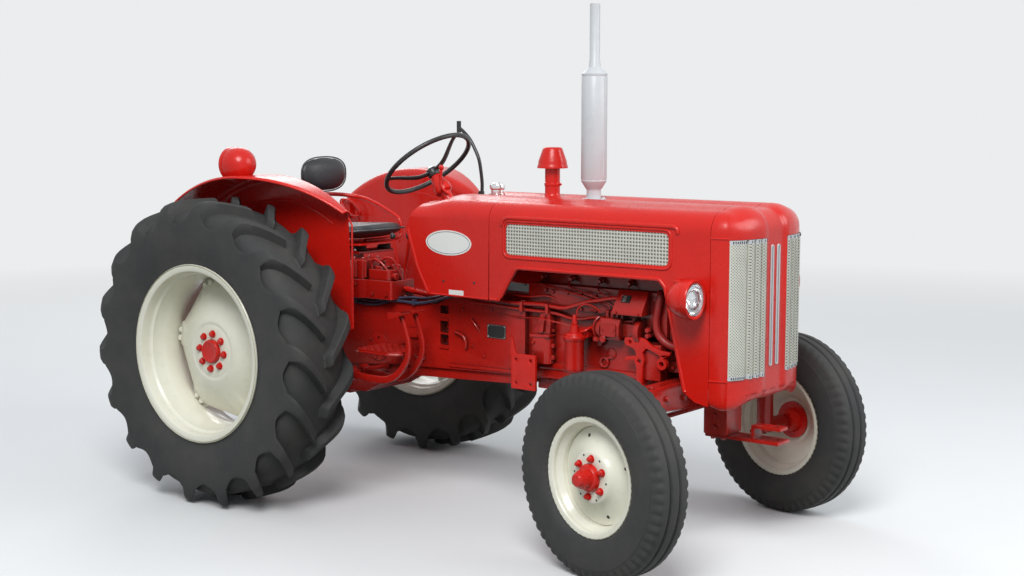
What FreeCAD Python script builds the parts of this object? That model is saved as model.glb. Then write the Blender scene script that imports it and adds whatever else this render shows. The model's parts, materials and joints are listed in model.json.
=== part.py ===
import FreeCAD, Part, Sketcher
import math
import os

# Farm tractor with four wheels, open engine, shell fenders and a rear three point linkage.
# Millimetres. X points forward, Y to the tractor's left, Z up from the ground.
# The origin is on the ground under the middle of the whole outline.

V = FreeCAD.Vector
doc = FreeCAD.newDocument("farm_tractor")
sheet = doc.addObject("Spreadsheet::Sheet", "sizes")

# name, millimetres (or degrees, or a count), what it is
SIZES = (
    # whole tractor
    ("rear_axle_x", -780, "rear axle line from the origin"),
    ("wheelbase", 1975, "rear axle to kingpins"),
    ("fit_gap", 0.3, "seating clearance between pieces on different bodies"),
    ("shaft_gap", 0.05, "radial clearance of a shaft in its bore"),
    # rear wheels
    ("rear_tyre_radius", 655, "to the lug tips"),
    ("rear_tyre_width", 345, "across the side walls"),
    ("rear_lug_height", 38, "lugs above the carcass"),
    ("rear_wheel_y", 705, "wheel's middle plane from the centre line"),
    ("rear_rim_radius", 381, "top of the rim flange"),
    ("rear_seat_radius", 356, "bead seat"),
    ("rear_rim_width", 305, "across the flanges"),
    ("rear_well_radius", 326, "drop centre of the rim"),
    ("rim_metal", 8, "rim thickness"),
    ("rear_disc_valley", 262, "edge of the dished centre between its six lobes"),
    ("rear_hub_face", 52, "stud face outward of the wheel's middle plane"),
    ("rear_disc_edge", -40, "edge of the dished centre from the middle plane"),
    ("disc_metal", 10, "wheel centre thickness"),
    ("rear_hub_radius", 100, "axle flange"),
    ("rear_cap_radius", 50, "hub centre that shows through the disc"),
    ("rear_shaft_radius", 42, "half shaft"),
    ("rear_lug_count", 18, "lugs on each side of the tread"),
    ("tyre_facets", 18, "flats round each tyre and rim"),
    # front wheels
    ("front_tyre_radius", 378, "tread radius"),
    ("front_tyre_width", 172, "across the side walls"),
    ("front_wheel_y", 650, "wheel's middle plane from the centre line when straight"),
    ("front_rim_radius", 222, "top of the rim flange"),
    ("front_seat_radius", 203, "bead seat"),
    ("front_rim_width", 127, "across the flanges"),
    ("front_well_radius", 184, "drop centre of the rim"),
    ("front_metal", 5, "front rim thickness"),
    ("front_disc_face", 54, "stud face outward of the wheel's middle plane"),
    ("front_hub_radius", 78, "front hub flange"),
    ("steer_angle", -13, "front wheels from straight ahead, left positive"),
    ("kingpin_y", 515, "kingpin from the centre line"),
    ("kingpin_radius", 17, "kingpin"),
    ("kingpin_top", 690, "top of the kingpin"),
    ("kingpin_bottom", 352, "bottom of the kingpin"),
    ("spindle_radius", 22, "front stub axle"),
    ("arm_length", 165, "steering arm from kingpin to rod end"),
    ("arm_z", 508, "middle of the steering arms"),
    # front axle
    ("beam_top", 662, "axle beam top"),
    ("beam_height", 112, "axle beam height at the pivot"),
    ("beam_end_height", 86, "axle beam height at its ends"),
    ("beam_depth", 84, "axle beam fore and aft"),
    ("beam_sleeve", 36, "kingpin sleeve outer radius"),
    ("pivot_radius", 20, "axle pivot pin"),
    # driveline castings
    ("gearbox_rear", -190, "rear cover from the rear axle"),
    ("gearbox_front", 825, "gearbox to clutch housing joint"),
    ("clutch_front", 1240, "clutch housing to engine joint"),
    ("gearbox_half", 165, "half width of the gearbox"),
    ("gearbox_bottom", 430, "bottom of the final drive casting"),
    ("clutch_bottom", 560, "bottom of the clutch housing"),
    ("deck_top", 862, "top face of the gearbox"),
    ("clutch_top", 905, "top of the clutch housing"),
    ("flange_proud", 14, "joint flanges beyond the castings"),
    ("flange_depth", 22, "joint flanges along the tractor"),
    ("lift_top", 985, "top of the lift housing"),
    ("lift_half", 115, "half width of the lift housing"),
    ("lift_front", 240, "front of the lift housing"),
    ("trumpet_radius", 78, "axle housing"),
    ("trumpet_end", 600, "axle housing end from the centre line"),
    ("trumpet_flange", 104, "axle housing flanges"),
    # engine
    ("engine_front", 1905, "front of the block"),
    ("engine_half", 150, "half width of the block"),
    ("engine_bottom", 600, "block to sump joint"),
    ("engine_top", 985, "top of the block"),
    ("head_top", 1075, "top of the cylinder head"),
    ("rocker_top", 1170, "top of the rocker cover"),
    ("filter_x", 1535, "fuel filter from the rear axle"),
    ("filter_y", 222, "fuel filter from the centre line"),
    ("pump_rear", 1590, "injection pump rear end from the rear axle"),
    ("pump_length", 200, "injection pump"),
    ("pump_low", 770, "underside of the injection pump"),
    ("pump_out", 215, "injection pump's outer face from the centre line"),
    ("plate_rear", 1227, "side mounting plates, rear edge from the rear axle"),
    ("plate_length", 122, "side mounting plates"),
    ("plate_low", 560, "side mounting plates, bottom edge"),
    ("plate_height", 144, "side mounting plates"),
    ("plate_y", 250, "side mounting plates, outer face from the centre line"),
    ("plate_metal", 14, "side mounting plates, thickness"),
    ("plate_bore", 8, "holes of the side mounting plates, radius"),
    ("sump_bottom", 545, "bottom of the sump"),
    # hood
    ("hood_half", 285, "half width of the hood"),
    ("hood_top", 1335, "top of the hood at its two crests"),
    ("hood_channel", 1324, "channel along the middle of the hood"),
    ("crest_y", 125, "crests of the hood from the centre line"),
    ("channel_half", 48, "half width of the channel"),
    ("hood_shoulder", 1318, "top of the hood where the corners start"),
    ("hood_corner", 82, "corner radius of the hood"),
    ("sheet_metal", 4, "sheet thickness"),
    ("cowl_rear_top", 742, "rear edge of the cowl at the top"),
    ("cowl_rear_waist", 694, "rear edge of the cowl at its rearmost"),
    ("cowl_rear_low", 809, "rear edge of the cowl at the bottom"),
    ("cowl_low", 918, "bottom edge of the cowl"),
    ("cowl_seam", 1141, "joint between cowl and bonnet"),
    ("seam_gap", 2, "gap at the sheet metal joints"),
    ("opening_rear", 1275, "rear of the engine opening"),
    ("opening_top", 1053, "top of the engine opening"),
    ("opening_slant", 95, "front edge of the engine opening, top corner behind its foot"),
    ("opening_foot", 100, "foot of the engine opening behind the nose joint"),
    ("nose_seam_run", 265, "joint between bonnet and nose, ahead of the block"),
    ("nose_side_run", 67, "outer edges of the grille ahead of the nose joint"),
    ("nose_run", 125, "front of the nose ahead of its joint"),
    ("nose_corner", 52, "upright corners of the nose"),
    ("nose_brow", 90, "top edge of the nose, radius"),
    ("nose_chin", 58, "bottom edge of the nose, radius"),
    ("nose_low", 585, "bottom of the nose"),
    ("column_deep", 9, "channel down the middle of the nose"),
    ("slot_inner", 17, "slots in the middle column, inner edge"),
    ("slot_outer", 29, "slots in the middle column, outer edge"),
    ("slot_inset", 34, "slots inside the grille's height at each end"),
    ("grille_half", 272, "half width across the grille"),
    ("grille_low", 700, "bottom of the grille"),
    ("grille_high", 1216, "top of the grille"),
    ("column_half", 76, "half width of the column between the grilles"),
    ("grille_deep", 14, "depth of the valleys between the grille's ribs"),
    ("grille_sheet", 5, "grille sheet behind the valleys"),
    ("vent_rear", 1226, "side vent rear end"),
    ("vent_ahead", 180, "side vent's front end behind the nose joint"),
    ("vent_low", 1107, "side vent bottom"),
    ("vent_high", 1230, "side vent top"),
    # radiator
    ("radiator_run", 105, "rear face of the radiator core ahead of the block"),
    ("radiator_top", 1255, "top of the radiator tank"),
    # exhaust, air cleaner and filler
    ("exhaust_x", 1456, "exhaust from the rear axle"),
    ("muffler_radius", 52.5, "muffler"),
    ("muffler_low", 1367, "muffler bottom"),
    ("muffler_high", 1853, "muffler top"),
    ("pipe_radius", 20.5, "exhaust pipe"),
    ("pipe_top", 2107, "exhaust outlet"),
    ("cleaner_x", 1249, "air pre-cleaner from the rear axle"),
    ("cleaner_pipe", 31, "air pipe radius"),
    ("cleaner_radius", 64, "pre-cleaner bowl radius"),
    ("cleaner_low", 1440, "pre-cleaner bowl bottom"),
    ("cleaner_high", 1532, "pre-cleaner top"),
    ("filler_x", 960, "fuel cap from the rear axle"),
    ("filler_radius", 32, "fuel cap"),
    # lamps
    ("lamp_run", 9, "headlamp glass behind the nose joint"),
    ("lamp_y", 370, "headlamp from the centre line"),
    ("lamp_z", 1003, "headlamp height"),
    ("lamp_radius", 74, "headlamp shell"),
    ("glass_radius", 59, "headlamp glass"),
    ("lamp_depth", 118, "headlamp shell fore and aft"),
    # fenders
    ("fender_x", 90, "centre of the fender's arc from the rear axle"),
    ("fender_z", 690, "centre of the fender's arc"),
    ("fender_radius", 715, "fender's top sheet"),
    ("fender_inner", 430, "fender's side sheet from the centre line"),
    ("fender_outer", 690, "fender's outer edge from the centre line"),
    ("fender_metal", 5, "fender sheet with its rolled edge"),
    ("fender_front", 520, "fender's front edge from the rear axle"),
    ("fender_shoulder", 36, "fender's rounded shoulders"),
    ("fender_edge", 14, "fender's rounded outer edge"),
    ("fender_lip", 8, "drop of the fender's outer edge"),
    ("fender_low", 760, "fender's bottom edge"),
    # driver's place
    ("seat_x", 150, "seat cushion centre from the rear axle"),
    ("seat_length", 370, "cushion fore and aft"),
    ("seat_width", 410, "cushion width"),
    ("seat_low", 1105, "underside of the cushion"),
    ("seat_thick", 72, "cushion thickness"),
    ("back_x", -62, "backrest from the rear axle"),
    ("back_width", 300, "backrest width"),
    ("back_height", 168, "backrest height"),
    ("back_thick", 78, "backrest thickness"),
    ("back_z", 1387, "backrest middle height"),
    ("rail_radius", 10, "seat rail"),
    ("rail_y", 240, "seat rail beside the cushion from the centre line"),
    ("mirror_radius", 8, "mirror arm"),
    ("mirror_y", 455, "mirror arm from the centre line"),
    ("control_rear", 300, "hydraulic control from the rear axle"),
    ("control_top", 1060, "top of the hydraulic control"),
    ("wheel_x", 572, "steering wheel centre from the rear axle"),
    ("wheel_z", 1448, "steering wheel centre height"),
    ("wheel_radius", 205, "steering wheel to the middle of its rim"),
    ("wheel_tube", 11, "steering wheel rim section radius"),
    ("wheel_dish", 50, "steering wheel boss below the rim"),
    ("wheel_tilt", 38.7, "steering column from upright"),
    ("step_low", 676, "underside of the foot plates"),
    ("step_rear", 545, "rear edge of the foot plates"),
    ("step_outer", 455, "outer edge of the foot plates"),
    # hitch
    ("link_pivot_x", -20, "lower link front pin from the rear axle"),
    ("link_pivot_y", 215, "lower link front pin from the centre line"),
    ("link_pivot_z", 450, "lower link front pin height"),
    ("link_end_x", -800, "lower link ball from the rear axle"),
    ("link_end_y", 341, "lower link ball from the centre line"),
    ("link_end_z", 416, "lower link ball height"),
    ("link_pin", 11, "lower link front pin radius"),
    ("link_bore", 11.2, "lower link ball bore radius"),
    ("link_thick", 18, "lower link bar thickness"),
    ("link_height", 50, "lower link bar height"),
    ("lift_x", -150, "lift shaft from the rear axle"),
    ("lift_z", 912, "lift shaft height"),
    ("lift_tip_x", -400, "lift arm pin from the rear axle"),
    ("lift_tip_y", 262, "lift arm from the centre line"),
    ("lift_tip_z", 870, "lift arm pin height"),
    ("rod_foot_x", -428, "lift rod foot from the rear axle"),
    ("rod_foot_z", 432, "lift rod foot height"),
    ("top_link_z", 790, "top link pin height"),
    ("top_link_run", 46, "top link pin behind the rear cover"),
    ("top_link_bore", 10, "top link pin hole radius"),
    ("top_link_gap", 54, "between the top link ears"),
    ("drawbar_z", 395, "middle height of the drawbar"),
    ("drawbar_width", 64, "drawbar width"),
    ("drawbar_thick", 26, "drawbar thickness"),
    ("drawbar_pin_x", -616, "drawbar pin hole from the rear axle"),
    ("drawbar_bore", 16, "drawbar pin hole radius"),
    ("pto_z", 610, "power take-off shaft height"),
    ("pto_radius", 17.5, "power take-off shaft radius"),
    ("pto_end", -260, "power take-off shaft end from the rear axle"),
    ("tow_z", 445, "underside of the front tow plate"),
    ("tow_front", 2334, "front of the tow plates"),
    ("tow_bore", 14, "front tow pin hole radius"),
    ("tow_gap", 38, "between the tow plates"),
    ("tow_plate", 13, "tow plate thickness"),
)


class Dim:
    """A size with its number and the expression that follows the sheet."""

    def __init__(self, value, text):
        self.value = float(value)
        self.text = text

    def joined(self, other, sign, value):
        return Dim(value, "(" + self.text + " " + sign + " " + words(other) + ")")

    def __add__(self, other):
        return self.joined(other, "+", self.value + number(other))

    def __sub__(self, other):
        return self.joined(other, "-", self.value - number(other))

    def __mul__(self, other):
        return self.joined(other, "*", self.value * number(other))

    def __truediv__(self, other):
        return self.joined(other, "/", self.value / number(other))

    def __radd__(self, other):
        return self + other

    def __rsub__(self, other):
        return Dim(number(other) - self.value, "(" + words(other) + " - " + self.text + ")")

    def __rmul__(self, other):
        return self * other

    def __neg__(self):
        return Dim(-self.value, "(-1 * " + self.text + ")")


def number(size):
    return size.value if isinstance(size, Dim) else float(size)


def words(size):
    return size.text if isinstance(size, Dim) else "(" + repr(float(size)) + ")"


def cosine(size):
    return Dim(math.cos(math.radians(number(size))), "cos(" + words(size) + ")")


def sine(size):
    return Dim(math.sin(math.radians(number(size))), "sin(" + words(size) + ")")


def arc_cosine(size):
    return Dim(math.degrees(math.acos(number(size))), "(acos(" + words(size) + ") / (1 deg))")


def root(size):
    return Dim(math.sqrt(number(size)), "sqrt(" + words(size) + ")")


class Sizes:
    pass


S = Sizes()
for row, (alias, value, note) in enumerate(SIZES, 1):
    sheet.set("A" + str(row), str(value))
    sheet.set("B" + str(row), note)
    sheet.setAlias("A" + str(row), alias)
    setattr(S, alias, Dim(value, "sizes." + alias))
doc.recompute()

S.nose_seam = S.engine_front + S.nose_seam_run
S.nose_edge = S.nose_seam + S.nose_side_run
S.nose_front = S.nose_seam + S.nose_run
S.opening_toe = S.nose_seam - S.opening_foot
S.opening_front = S.opening_toe - S.opening_slant
S.vent_front = S.nose_seam - S.vent_ahead
S.lamp_x = S.nose_seam - S.lamp_run
S.radiator_x = S.engine_front + S.radiator_run

nodes = []
BACK = S.rear_axle_x


def bind(item, prop, size):
    """Set a property and let it follow the sheet."""
    if isinstance(size, Dim):
        item.setExpression(prop, size.text)


def place(item, x=0, y=0, z=0, turn=None):
    """Put an object at x, y, z, with an optional fixed turn."""
    turn = turn or FreeCAD.Rotation()
    item.Placement = FreeCAD.Placement(V(number(x), number(y), number(z)), turn)
    for axis, size in (("x", x), ("y", y), ("z", z)):
        bind(item, "Placement.Base." + axis, size)
    return item


def box(name, x0, x1, y0, y1, z0, z1):
    """A block between two corners."""
    item = doc.addObject("Part::Box", name)
    for prop, low, high in (("Length", x0, x1), ("Width", y0, y1), ("Height", z0, z1)):
        extent = high - low
        setattr(item, prop, number(extent))
        bind(item, prop, extent)
    return place(item, x0, y0, z0)


TURNS = {
    "x": FreeCAD.Rotation(V(0, 1, 0), 90),
    "y": FreeCAD.Rotation(V(1, 0, 0), -90),
    "z": FreeCAD.Rotation(),
}


def rod(name, axis, radius, length, x, y, z):
    """A cylinder that starts at x, y, z and runs along a positive axis."""
    item = doc.addObject("Part::Cylinder", name)
    item.Radius = number(radius)
    item.Height = number(length)
    bind(item, "Radius", radius)
    bind(item, "Height", length)
    return place(item, x, y, z, TURNS[axis])


def boss(name, axis, radius, length, x, y, z, sides=10):
    """A many sided boss that starts at x, y, z and runs along a positive axis."""
    item = doc.addObject("Part::Prism", name)
    item.Polygon = sides
    item.Circumradius = number(radius)
    item.Height = number(length)
    bind(item, "Circumradius", radius)
    bind(item, "Height", length)
    return place(item, x, y, z, TURNS[axis])


def bore(name, axis, radius, length, x, y, z, sides=12):
    """A many sided hole whose flats clear the radius."""
    return boss(name, axis, radius / cosine(180 / sides), length, x, y, z, sides)


PLANES = {
    "xz": (FreeCAD.Rotation(V(1, 0, 0), 90), V(0, -1, 0)),
    "yz": (FreeCAD.Rotation(V(0, 1, 0), V(0, 0, 1), V(1, 0, 0)), V(1, 0, 0)),
    "xy": (FreeCAD.Rotation(), V(0, 0, 1)),
}


def arc_between(start, end, radius):
    """An arc from start to end, positive radius counter clockwise."""
    chord = V(end[0] - start[0], end[1] - start[1], 0)
    half = chord.Length / 2
    size = max(abs(radius), half * 1.0000001)
    side = V(-chord.y, chord.x, 0).normalize()
    rise = math.sqrt(size * size - half * half)
    middle = V((start[0] + end[0]) / 2, (start[1] + end[1]) / 2, 0)
    centre = middle + side * (rise if radius > 0 else -rise)
    first, last = (start, end) if radius > 0 else (end, start)
    angles = [math.atan2(point[1] - centre.y, point[0] - centre.x) for point in (first, last)]
    if angles[1] < angles[0]:
        angles[1] += 2 * math.pi
    return Part.ArcOfCircle(Part.Circle(centre, V(0, 0, 1), size), angles[0], angles[1])


def outline(name, plane, points, x=0, y=0, z=0):
    """A closed sketch through points (a, b) or (a, b, radius of the arc that arrives there)."""
    sketch = doc.addObject("Sketcher::SketchObject", name)
    count = len(points)
    flat = [(number(point[0]), number(point[1])) for point in points]
    for index in range(count):
        after = (index + 1) % count
        start, end, target = flat[index], flat[after], points[after]
        if len(target) > 2:
            sketch.addGeometry(arc_between(start, end, number(target[2])))
        else:
            sketch.addGeometry(Part.LineSegment(V(*start, 0), V(*end, 0)))
    turned = [len(points[(index + 1) % count]) > 2 and number(points[(index + 1) % count][2]) < 0
              for index in range(count)]
    for index in range(count):
        after = (index + 1) % count
        tail = 1 if turned[index] else 2
        head = 2 if turned[after] else 1
        sketch.addConstraint(Sketcher.Constraint("Coincident", index, tail, after, head))
        if len(points[after]) > 2:
            radius = points[after][2]
            size = -radius if number(radius) < 0 else radius
            spot = sketch.addConstraint(Sketcher.Constraint("Radius", index, number(size)))
            if isinstance(size, Dim):
                sketch.setExpression("Constraints[" + str(spot) + "]", size.text)
    for index in range(count):
        head = 2 if turned[index] else 1
        for kind, size in (("DistanceX", points[index][0]), ("DistanceY", points[index][1])):
            spot = sketch.addConstraint(Sketcher.Constraint(kind, -1, 1, index, head, number(size)))
            if isinstance(size, Dim):
                sketch.setExpression("Constraints[" + str(spot) + "]", size.text)
    return place(sketch, x, y, z, PLANES[plane][0])


def extrude(name, sketch, plane, length):
    """Give an outline thickness along its plane's positive axis."""
    item = doc.addObject("Part::Extrusion", name)
    item.Base = sketch
    item.DirMode = "Custom"
    item.Dir = V(abs(PLANES[plane][1].x), abs(PLANES[plane][1].y), abs(PLANES[plane][1].z))
    item.Solid = True
    item.LengthFwd = number(length)
    bind(item, "LengthFwd", length)
    return item


def slab(name, plane, points, start, length):
    """An outline drawn in a plane at start and extruded by length."""
    spot = {"xz": (0, start, 0), "yz": (start, 0, 0), "xy": (0, 0, start)}[plane]
    return extrude(name, outline(name + "_outline", plane, points, *spot), plane, length)


def bend(across, up, radius, first, last, steps):
    """Points of an arc about a centre, from the first angle to the last, in equal flats."""
    turns = [first + (last - first) * step / steps for step in range(steps + 1)]
    return [(across + radius * cosine(turn), up + radius * sine(turn)) for turn in turns]


def rounded_box(half_across, half_up, corner, steps):
    """A rectangle about the origin with round corners, in equal flats."""
    points = []
    for first, side, level in ((0, 1, 1), (90, -1, 1), (180, -1, -1), (270, 1, -1)):
        points += bend(side * (half_across - corner), level * (half_up - corner), corner,
                       first, first + 90, steps)
    return points


def fuse(name, *items):
    item = doc.addObject("Part::MultiFuse", name)
    item.Shapes = list(items)
    item.Refine = True
    return item


def common(name, *items):
    item = doc.addObject("Part::MultiCommon", name)
    item.Shapes = list(items)
    return item


def cut(name, base, *tools):
    item = doc.addObject("Part::Cut", name)
    item.Base = base
    item.Tool = tools[0] if len(tools) == 1 else fuse(name + "_tools", *tools)
    item.Refine = True
    return item


def together(name, *items):
    """Solids that share one node without touching."""
    item = doc.addObject("Part::Compound", name)
    item.Links = list(items)
    return item


def mirrored(name, source):
    """The same piece on the other side of the centre line."""
    item = doc.addObject("Part::Mirroring", name)
    item.Source = source
    item.Normal = V(0, 1, 0)
    item.Base = V(0, 0, 0)
    return item


def carried(name, source, x, y, z, turn=None):
    """A piece made at the origin, set at its place on the tractor."""
    return place(together(name, source), x, y, z, turn)


def node(item, label):
    item.Label = label
    nodes.append((label, item))
    return item


def shaped(name, shape):
    item = doc.addObject("Part::Feature", name)
    item.Shape = shape
    return item


def closed_solid(faces):
    solid = Part.Solid(Part.Shell(faces))
    if solid.Volume < 0:
        solid.reverse()
    return solid


def polygon(corners):
    return Part.Face(Part.makePolygon(list(corners) + [corners[0]]))


AROUND = {
    "x": lambda along, radius, angle: V(along, -radius * math.sin(angle), -radius * math.cos(angle)),
    "y": lambda along, radius, angle: V(radius * math.sin(angle), along, -radius * math.cos(angle)),
    "z": lambda along, radius, angle: V(radius * math.sin(angle), -radius * math.cos(angle), along),
}


def ring_shape(profile, count, axis="y"):
    """A turned form of flat facets through (along the axis, radius) points, flats at the radius."""
    spot = AROUND[axis]
    swell = 1 / math.cos(math.pi / count)
    angles = [2 * math.pi * (turn + 0.5) / count for turn in range(count)]
    flat = [(number(along), number(radius) * swell) for along, radius in profile]
    faces = []
    for (along, radius), (next_along, next_radius) in zip(flat, flat[1:] + flat[:1]):
        if radius == 0 and next_radius == 0:
            continue
        here = [spot(along, radius, angle) for angle in angles]
        there = [spot(next_along, next_radius, angle) for angle in angles]
        if along == next_along and min(radius, next_radius) == 0:
            faces.append(polygon(here if radius else there))
            continue
        for turn in range(count):
            after = (turn + 1) % count
            if radius == 0:
                faces.append(polygon([here[0], there[turn], there[after]]))
            elif next_radius == 0:
                faces.append(polygon([here[turn], there[0], here[after]]))
            else:
                faces.append(polygon([here[turn], there[turn], there[after], here[after]]))
    return closed_solid(faces)


def ring(name, profile, count, axis="y"):
    return shaped(name, ring_shape(profile, count, axis))


def bar_shape(points, radius, sides):
    """A bar with a regular section, mitred at each point of its route."""
    knots = [V(*[number(part) for part in point]) for point in points]
    radius = number(radius)
    runs = [(after - before).normalize() for before, after in zip(knots, knots[1:])]
    side = runs[0].cross(V(0, 0, 1) if abs(runs[0].z) < 0.9 else V(0, 1, 0)).normalize()
    rise = side.cross(runs[0])
    angles = [2 * math.pi * (turn + 0.5) / sides for turn in range(sides)]
    section = [knots[0] + side * (radius * math.cos(a)) + rise * (radius * math.sin(a)) for a in angles]
    sections = [section]
    for index, knot in enumerate(knots[1:], 1):
        run = runs[index - 1]
        plane = run if index == len(runs) else (run + runs[index]).normalize()
        section = [corner + run * ((knot - corner).dot(plane) / run.dot(plane)) for corner in section]
        sections.append(section)
    faces = [polygon(sections[0]), polygon(sections[-1])]
    for here, there in zip(sections, sections[1:]):
        for turn in range(sides):
            after = (turn + 1) % sides
            faces.append(polygon([here[turn], here[after], there[after], there[turn]]))
    return closed_solid(faces)


def sweep_shape(profile, first, last, steps):
    """A closed (y, radius) profile carried about the Y axis from one angle to another, in flats."""
    turns = [math.radians(first + (last - first) * step / steps) for step in range(steps + 1)]
    loops = [[V(radius * math.cos(turn), across, radius * math.sin(turn)) for across, radius in profile]
             for turn in turns]
    faces = [polygon(loops[0]), polygon(loops[-1])]
    for here, there in zip(loops, loops[1:]):
        for index in range(len(profile)):
            after = (index + 1) % len(profile)
            faces.append(polygon([here[index], here[after], there[after], there[index]]))
    return closed_solid(faces)


def eye_shape(middle, radius, width, sides=10):
    """A many sided eye across the tractor about a middle point."""
    rounded = ring_shape([(-width / 2, 0), (-width / 2, radius), (width / 2, radius), (width / 2, 0)], sides)
    rounded.translate(middle)
    return rounded


def bar(name, points, radius, sides=6):
    return shaped(name, bar_shape(points, radius, sides))


def hull_block(stations):
    """A closed bar through four cornered stations, in flat triangles."""
    faces = []
    for near, far in zip(stations, stations[1:]):
        for index in range(4):
            after = (index + 1) % 4
            faces.append(polygon([near[index], near[after], far[after]]))
            faces.append(polygon([near[index], far[after], far[index]]))
    for end in (stations[0], stations[-1]):
        faces.append(polygon([end[0], end[1], end[2]]))
        faces.append(polygon([end[0], end[2], end[3]]))
    return closed_solid(faces)


# rear tyres
def rear_tyre_shape():
    radius, width = number(S.rear_tyre_radius), number(S.rear_tyre_width)
    lug, seat, flange = number(S.rear_lug_height), number(S.rear_seat_radius), number(S.rear_rim_radius)
    half, bead = width / 2, number(S.rear_rim_width) / 2 - number(S.rim_metal) - 1
    crown = radius - lug
    wall = crown - flange
    side = [
        (bead, seat + number(S.fit_gap)),
        (bead, flange + 2),
        (half, flange + wall * 0.45),
        (half * 0.78, crown - 4),
    ]
    profile = side + [(-y, r) for y, r in reversed(side)]
    count = int(number(S.rear_lug_count))
    carcass = ring_shape(profile, int(number(S.tyre_facets)))
    step = 2 * math.pi / count
    # along the lug: share of half the width, angle behind the tip, top radius, base radius, half thickness
    stations = (
        (-0.06, 0.00, 0.0, 16.0, 20.0),
        (0.60, 0.50, 3.0, 18.0, 22.0),
        (0.99, 0.74, 46.0, 62.0, 27.0),
    )
    lugs = []
    for side_sign, shift in ((1, 0.0), (-1, 0.5)):
        for index in range(count):
            bars = []
            for share, lag, drop, sink, thick in stations:
                angle = step * (index + shift + lag)
                top, base = radius - drop, crown - sink
                y = side_sign * share * half
                corners = []
                for level, spread in ((base, 1.25), (top, 0.9)):
                    pair = [angle - thick * spread / level, angle + thick * spread / level]
                    if level == top:
                        pair.reverse()
                    corners += [V(level * math.sin(a), y, -level * math.cos(a)) for a in pair]
                bars.append(corners)
            lugs.append(hull_block(bars))
    return carcass.fuse(lugs)


rear_tyre = shaped("rear_tyre", rear_tyre_shape())
rear_tyre_mirror = mirrored("rear_tyre_mirror", rear_tyre)
rear_z = S.rear_tyre_radius
node(carried("tyre_rear_left", rear_tyre, BACK, S.rear_wheel_y, rear_z), "tyre_rear_left")
node(carried("tyre_rear_right", rear_tyre_mirror, BACK, -S.rear_wheel_y, rear_z), "tyre_rear_right")


# rims with their dished centres
def rim(name, flange, seat, well, width, metal, count):
    half = width / 2
    floor = well - metal
    points = [
        (-half, seat - metal), (-half, flange), (metal - half, seat), (-half * 0.36, well),
        (half * 0.36, well), (half - metal, seat), (half, flange), (half, seat - metal),
        (half * 0.36, floor), (-half * 0.36, floor),
    ]
    return ring(name, points, count)


rear_rim = rim("rear_rim", S.rear_rim_radius, S.rear_seat_radius, S.rear_well_radius,
               S.rear_rim_width, S.rim_metal, int(number(S.tyre_facets)))
face, edge = S.rear_hub_face, S.rear_disc_edge


def lobed_dish_shape(lobes):
    """The dished centre: six lobes reach the rim's well, with scallops between them."""
    outer, inner, metal = number(face), number(edge), number(S.disc_metal)
    count = 3 * lobes
    swell = 1 / math.cos(math.pi / count)
    hole, shoulder = number(S.rear_cap_radius) + 3, number(S.rear_hub_radius)
    tip, valley = number(S.rear_well_radius - S.rim_metal) + 3, number(S.rear_disc_valley)
    loops = []
    for along, radii in ((outer, (hole,)), (outer, (shoulder + 26,)), (inner, (tip, tip, valley)),
                         (inner - metal, (tip, tip, valley)), (outer - metal, (shoulder + 20,)),
                         (outer - metal, (hole,))):
        loops.append([AROUND["y"](along, radii[turn % len(radii)] * swell, 2 * math.pi * (turn + 0.5) / count)
                      for turn in range(count)])
    faces = []
    for here, there in zip(loops, loops[1:] + loops[:1]):
        for turn in range(count):
            after = (turn + 1) % count
            faces.append(polygon([here[turn], there[turn], there[after]]))
            faces.append(polygon([here[turn], there[after], here[after]]))
    return closed_solid(faces)


rear_disc = shaped("rear_disc", lobed_dish_shape(6))
rear_wheel = fuse("rear_wheel", rear_rim, rear_disc)
rear_wheel_mirror = mirrored("rear_wheel_mirror", rear_wheel)
node(carried("rim_rear_left", rear_wheel, BACK, S.rear_wheel_y, rear_z), "rim_rear_left")
node(carried("rim_rear_right", rear_wheel_mirror, BACK, -S.rear_wheel_y, rear_z), "rim_rear_right")

hub_back = face - S.disc_metal
shaft_start = S.trumpet_end - S.rear_wheel_y - 50
rear_hub = fuse(
    "rear_hub",
    rod("rear_half_shaft", "y", S.rear_shaft_radius, hub_back - 20 - shaft_start, 0, shaft_start, 0),
    ring("rear_hub_flange", [
        (hub_back - 21, 0), (hub_back - 21, S.rear_hub_radius), (hub_back, S.rear_hub_radius),
        (hub_back, S.rear_cap_radius), (face + 16, S.rear_cap_radius), (face + 20, S.rear_cap_radius - 8),
        (face + 20, 0),
    ], 12),
)
rear_hub_mirror = mirrored("rear_hub_mirror", rear_hub)
node(carried("hub_rear_left", rear_hub, BACK, S.rear_wheel_y, rear_z), "hub_rear_left")
node(carried("hub_rear_right", rear_hub_mirror, BACK, -S.rear_wheel_y, rear_z), "hub_rear_right")


# front tyres, rims and hubs
def front_tyre_shape():
    radius, half = number(S.front_tyre_radius), number(S.front_tyre_width) / 2
    seat, flange = number(S.front_seat_radius), number(S.front_rim_radius)
    bead = number(S.front_rim_width) / 2 - number(S.front_metal) - 1
    wall = radius - flange
    side = [
        (bead, seat + number(S.fit_gap)),
        (bead, flange + 2),
        (half, flange + wall * 0.45),
        (half * 0.80, radius - 10),
        (half * 0.36, radius - 3),
        (half * 0.27, radius - 13),
        (half * 0.18, radius),
    ]
    profile = side + [(-y, r) for y, r in reversed(side)]
    return ring_shape(profile, int(number(S.tyre_facets)))


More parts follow.
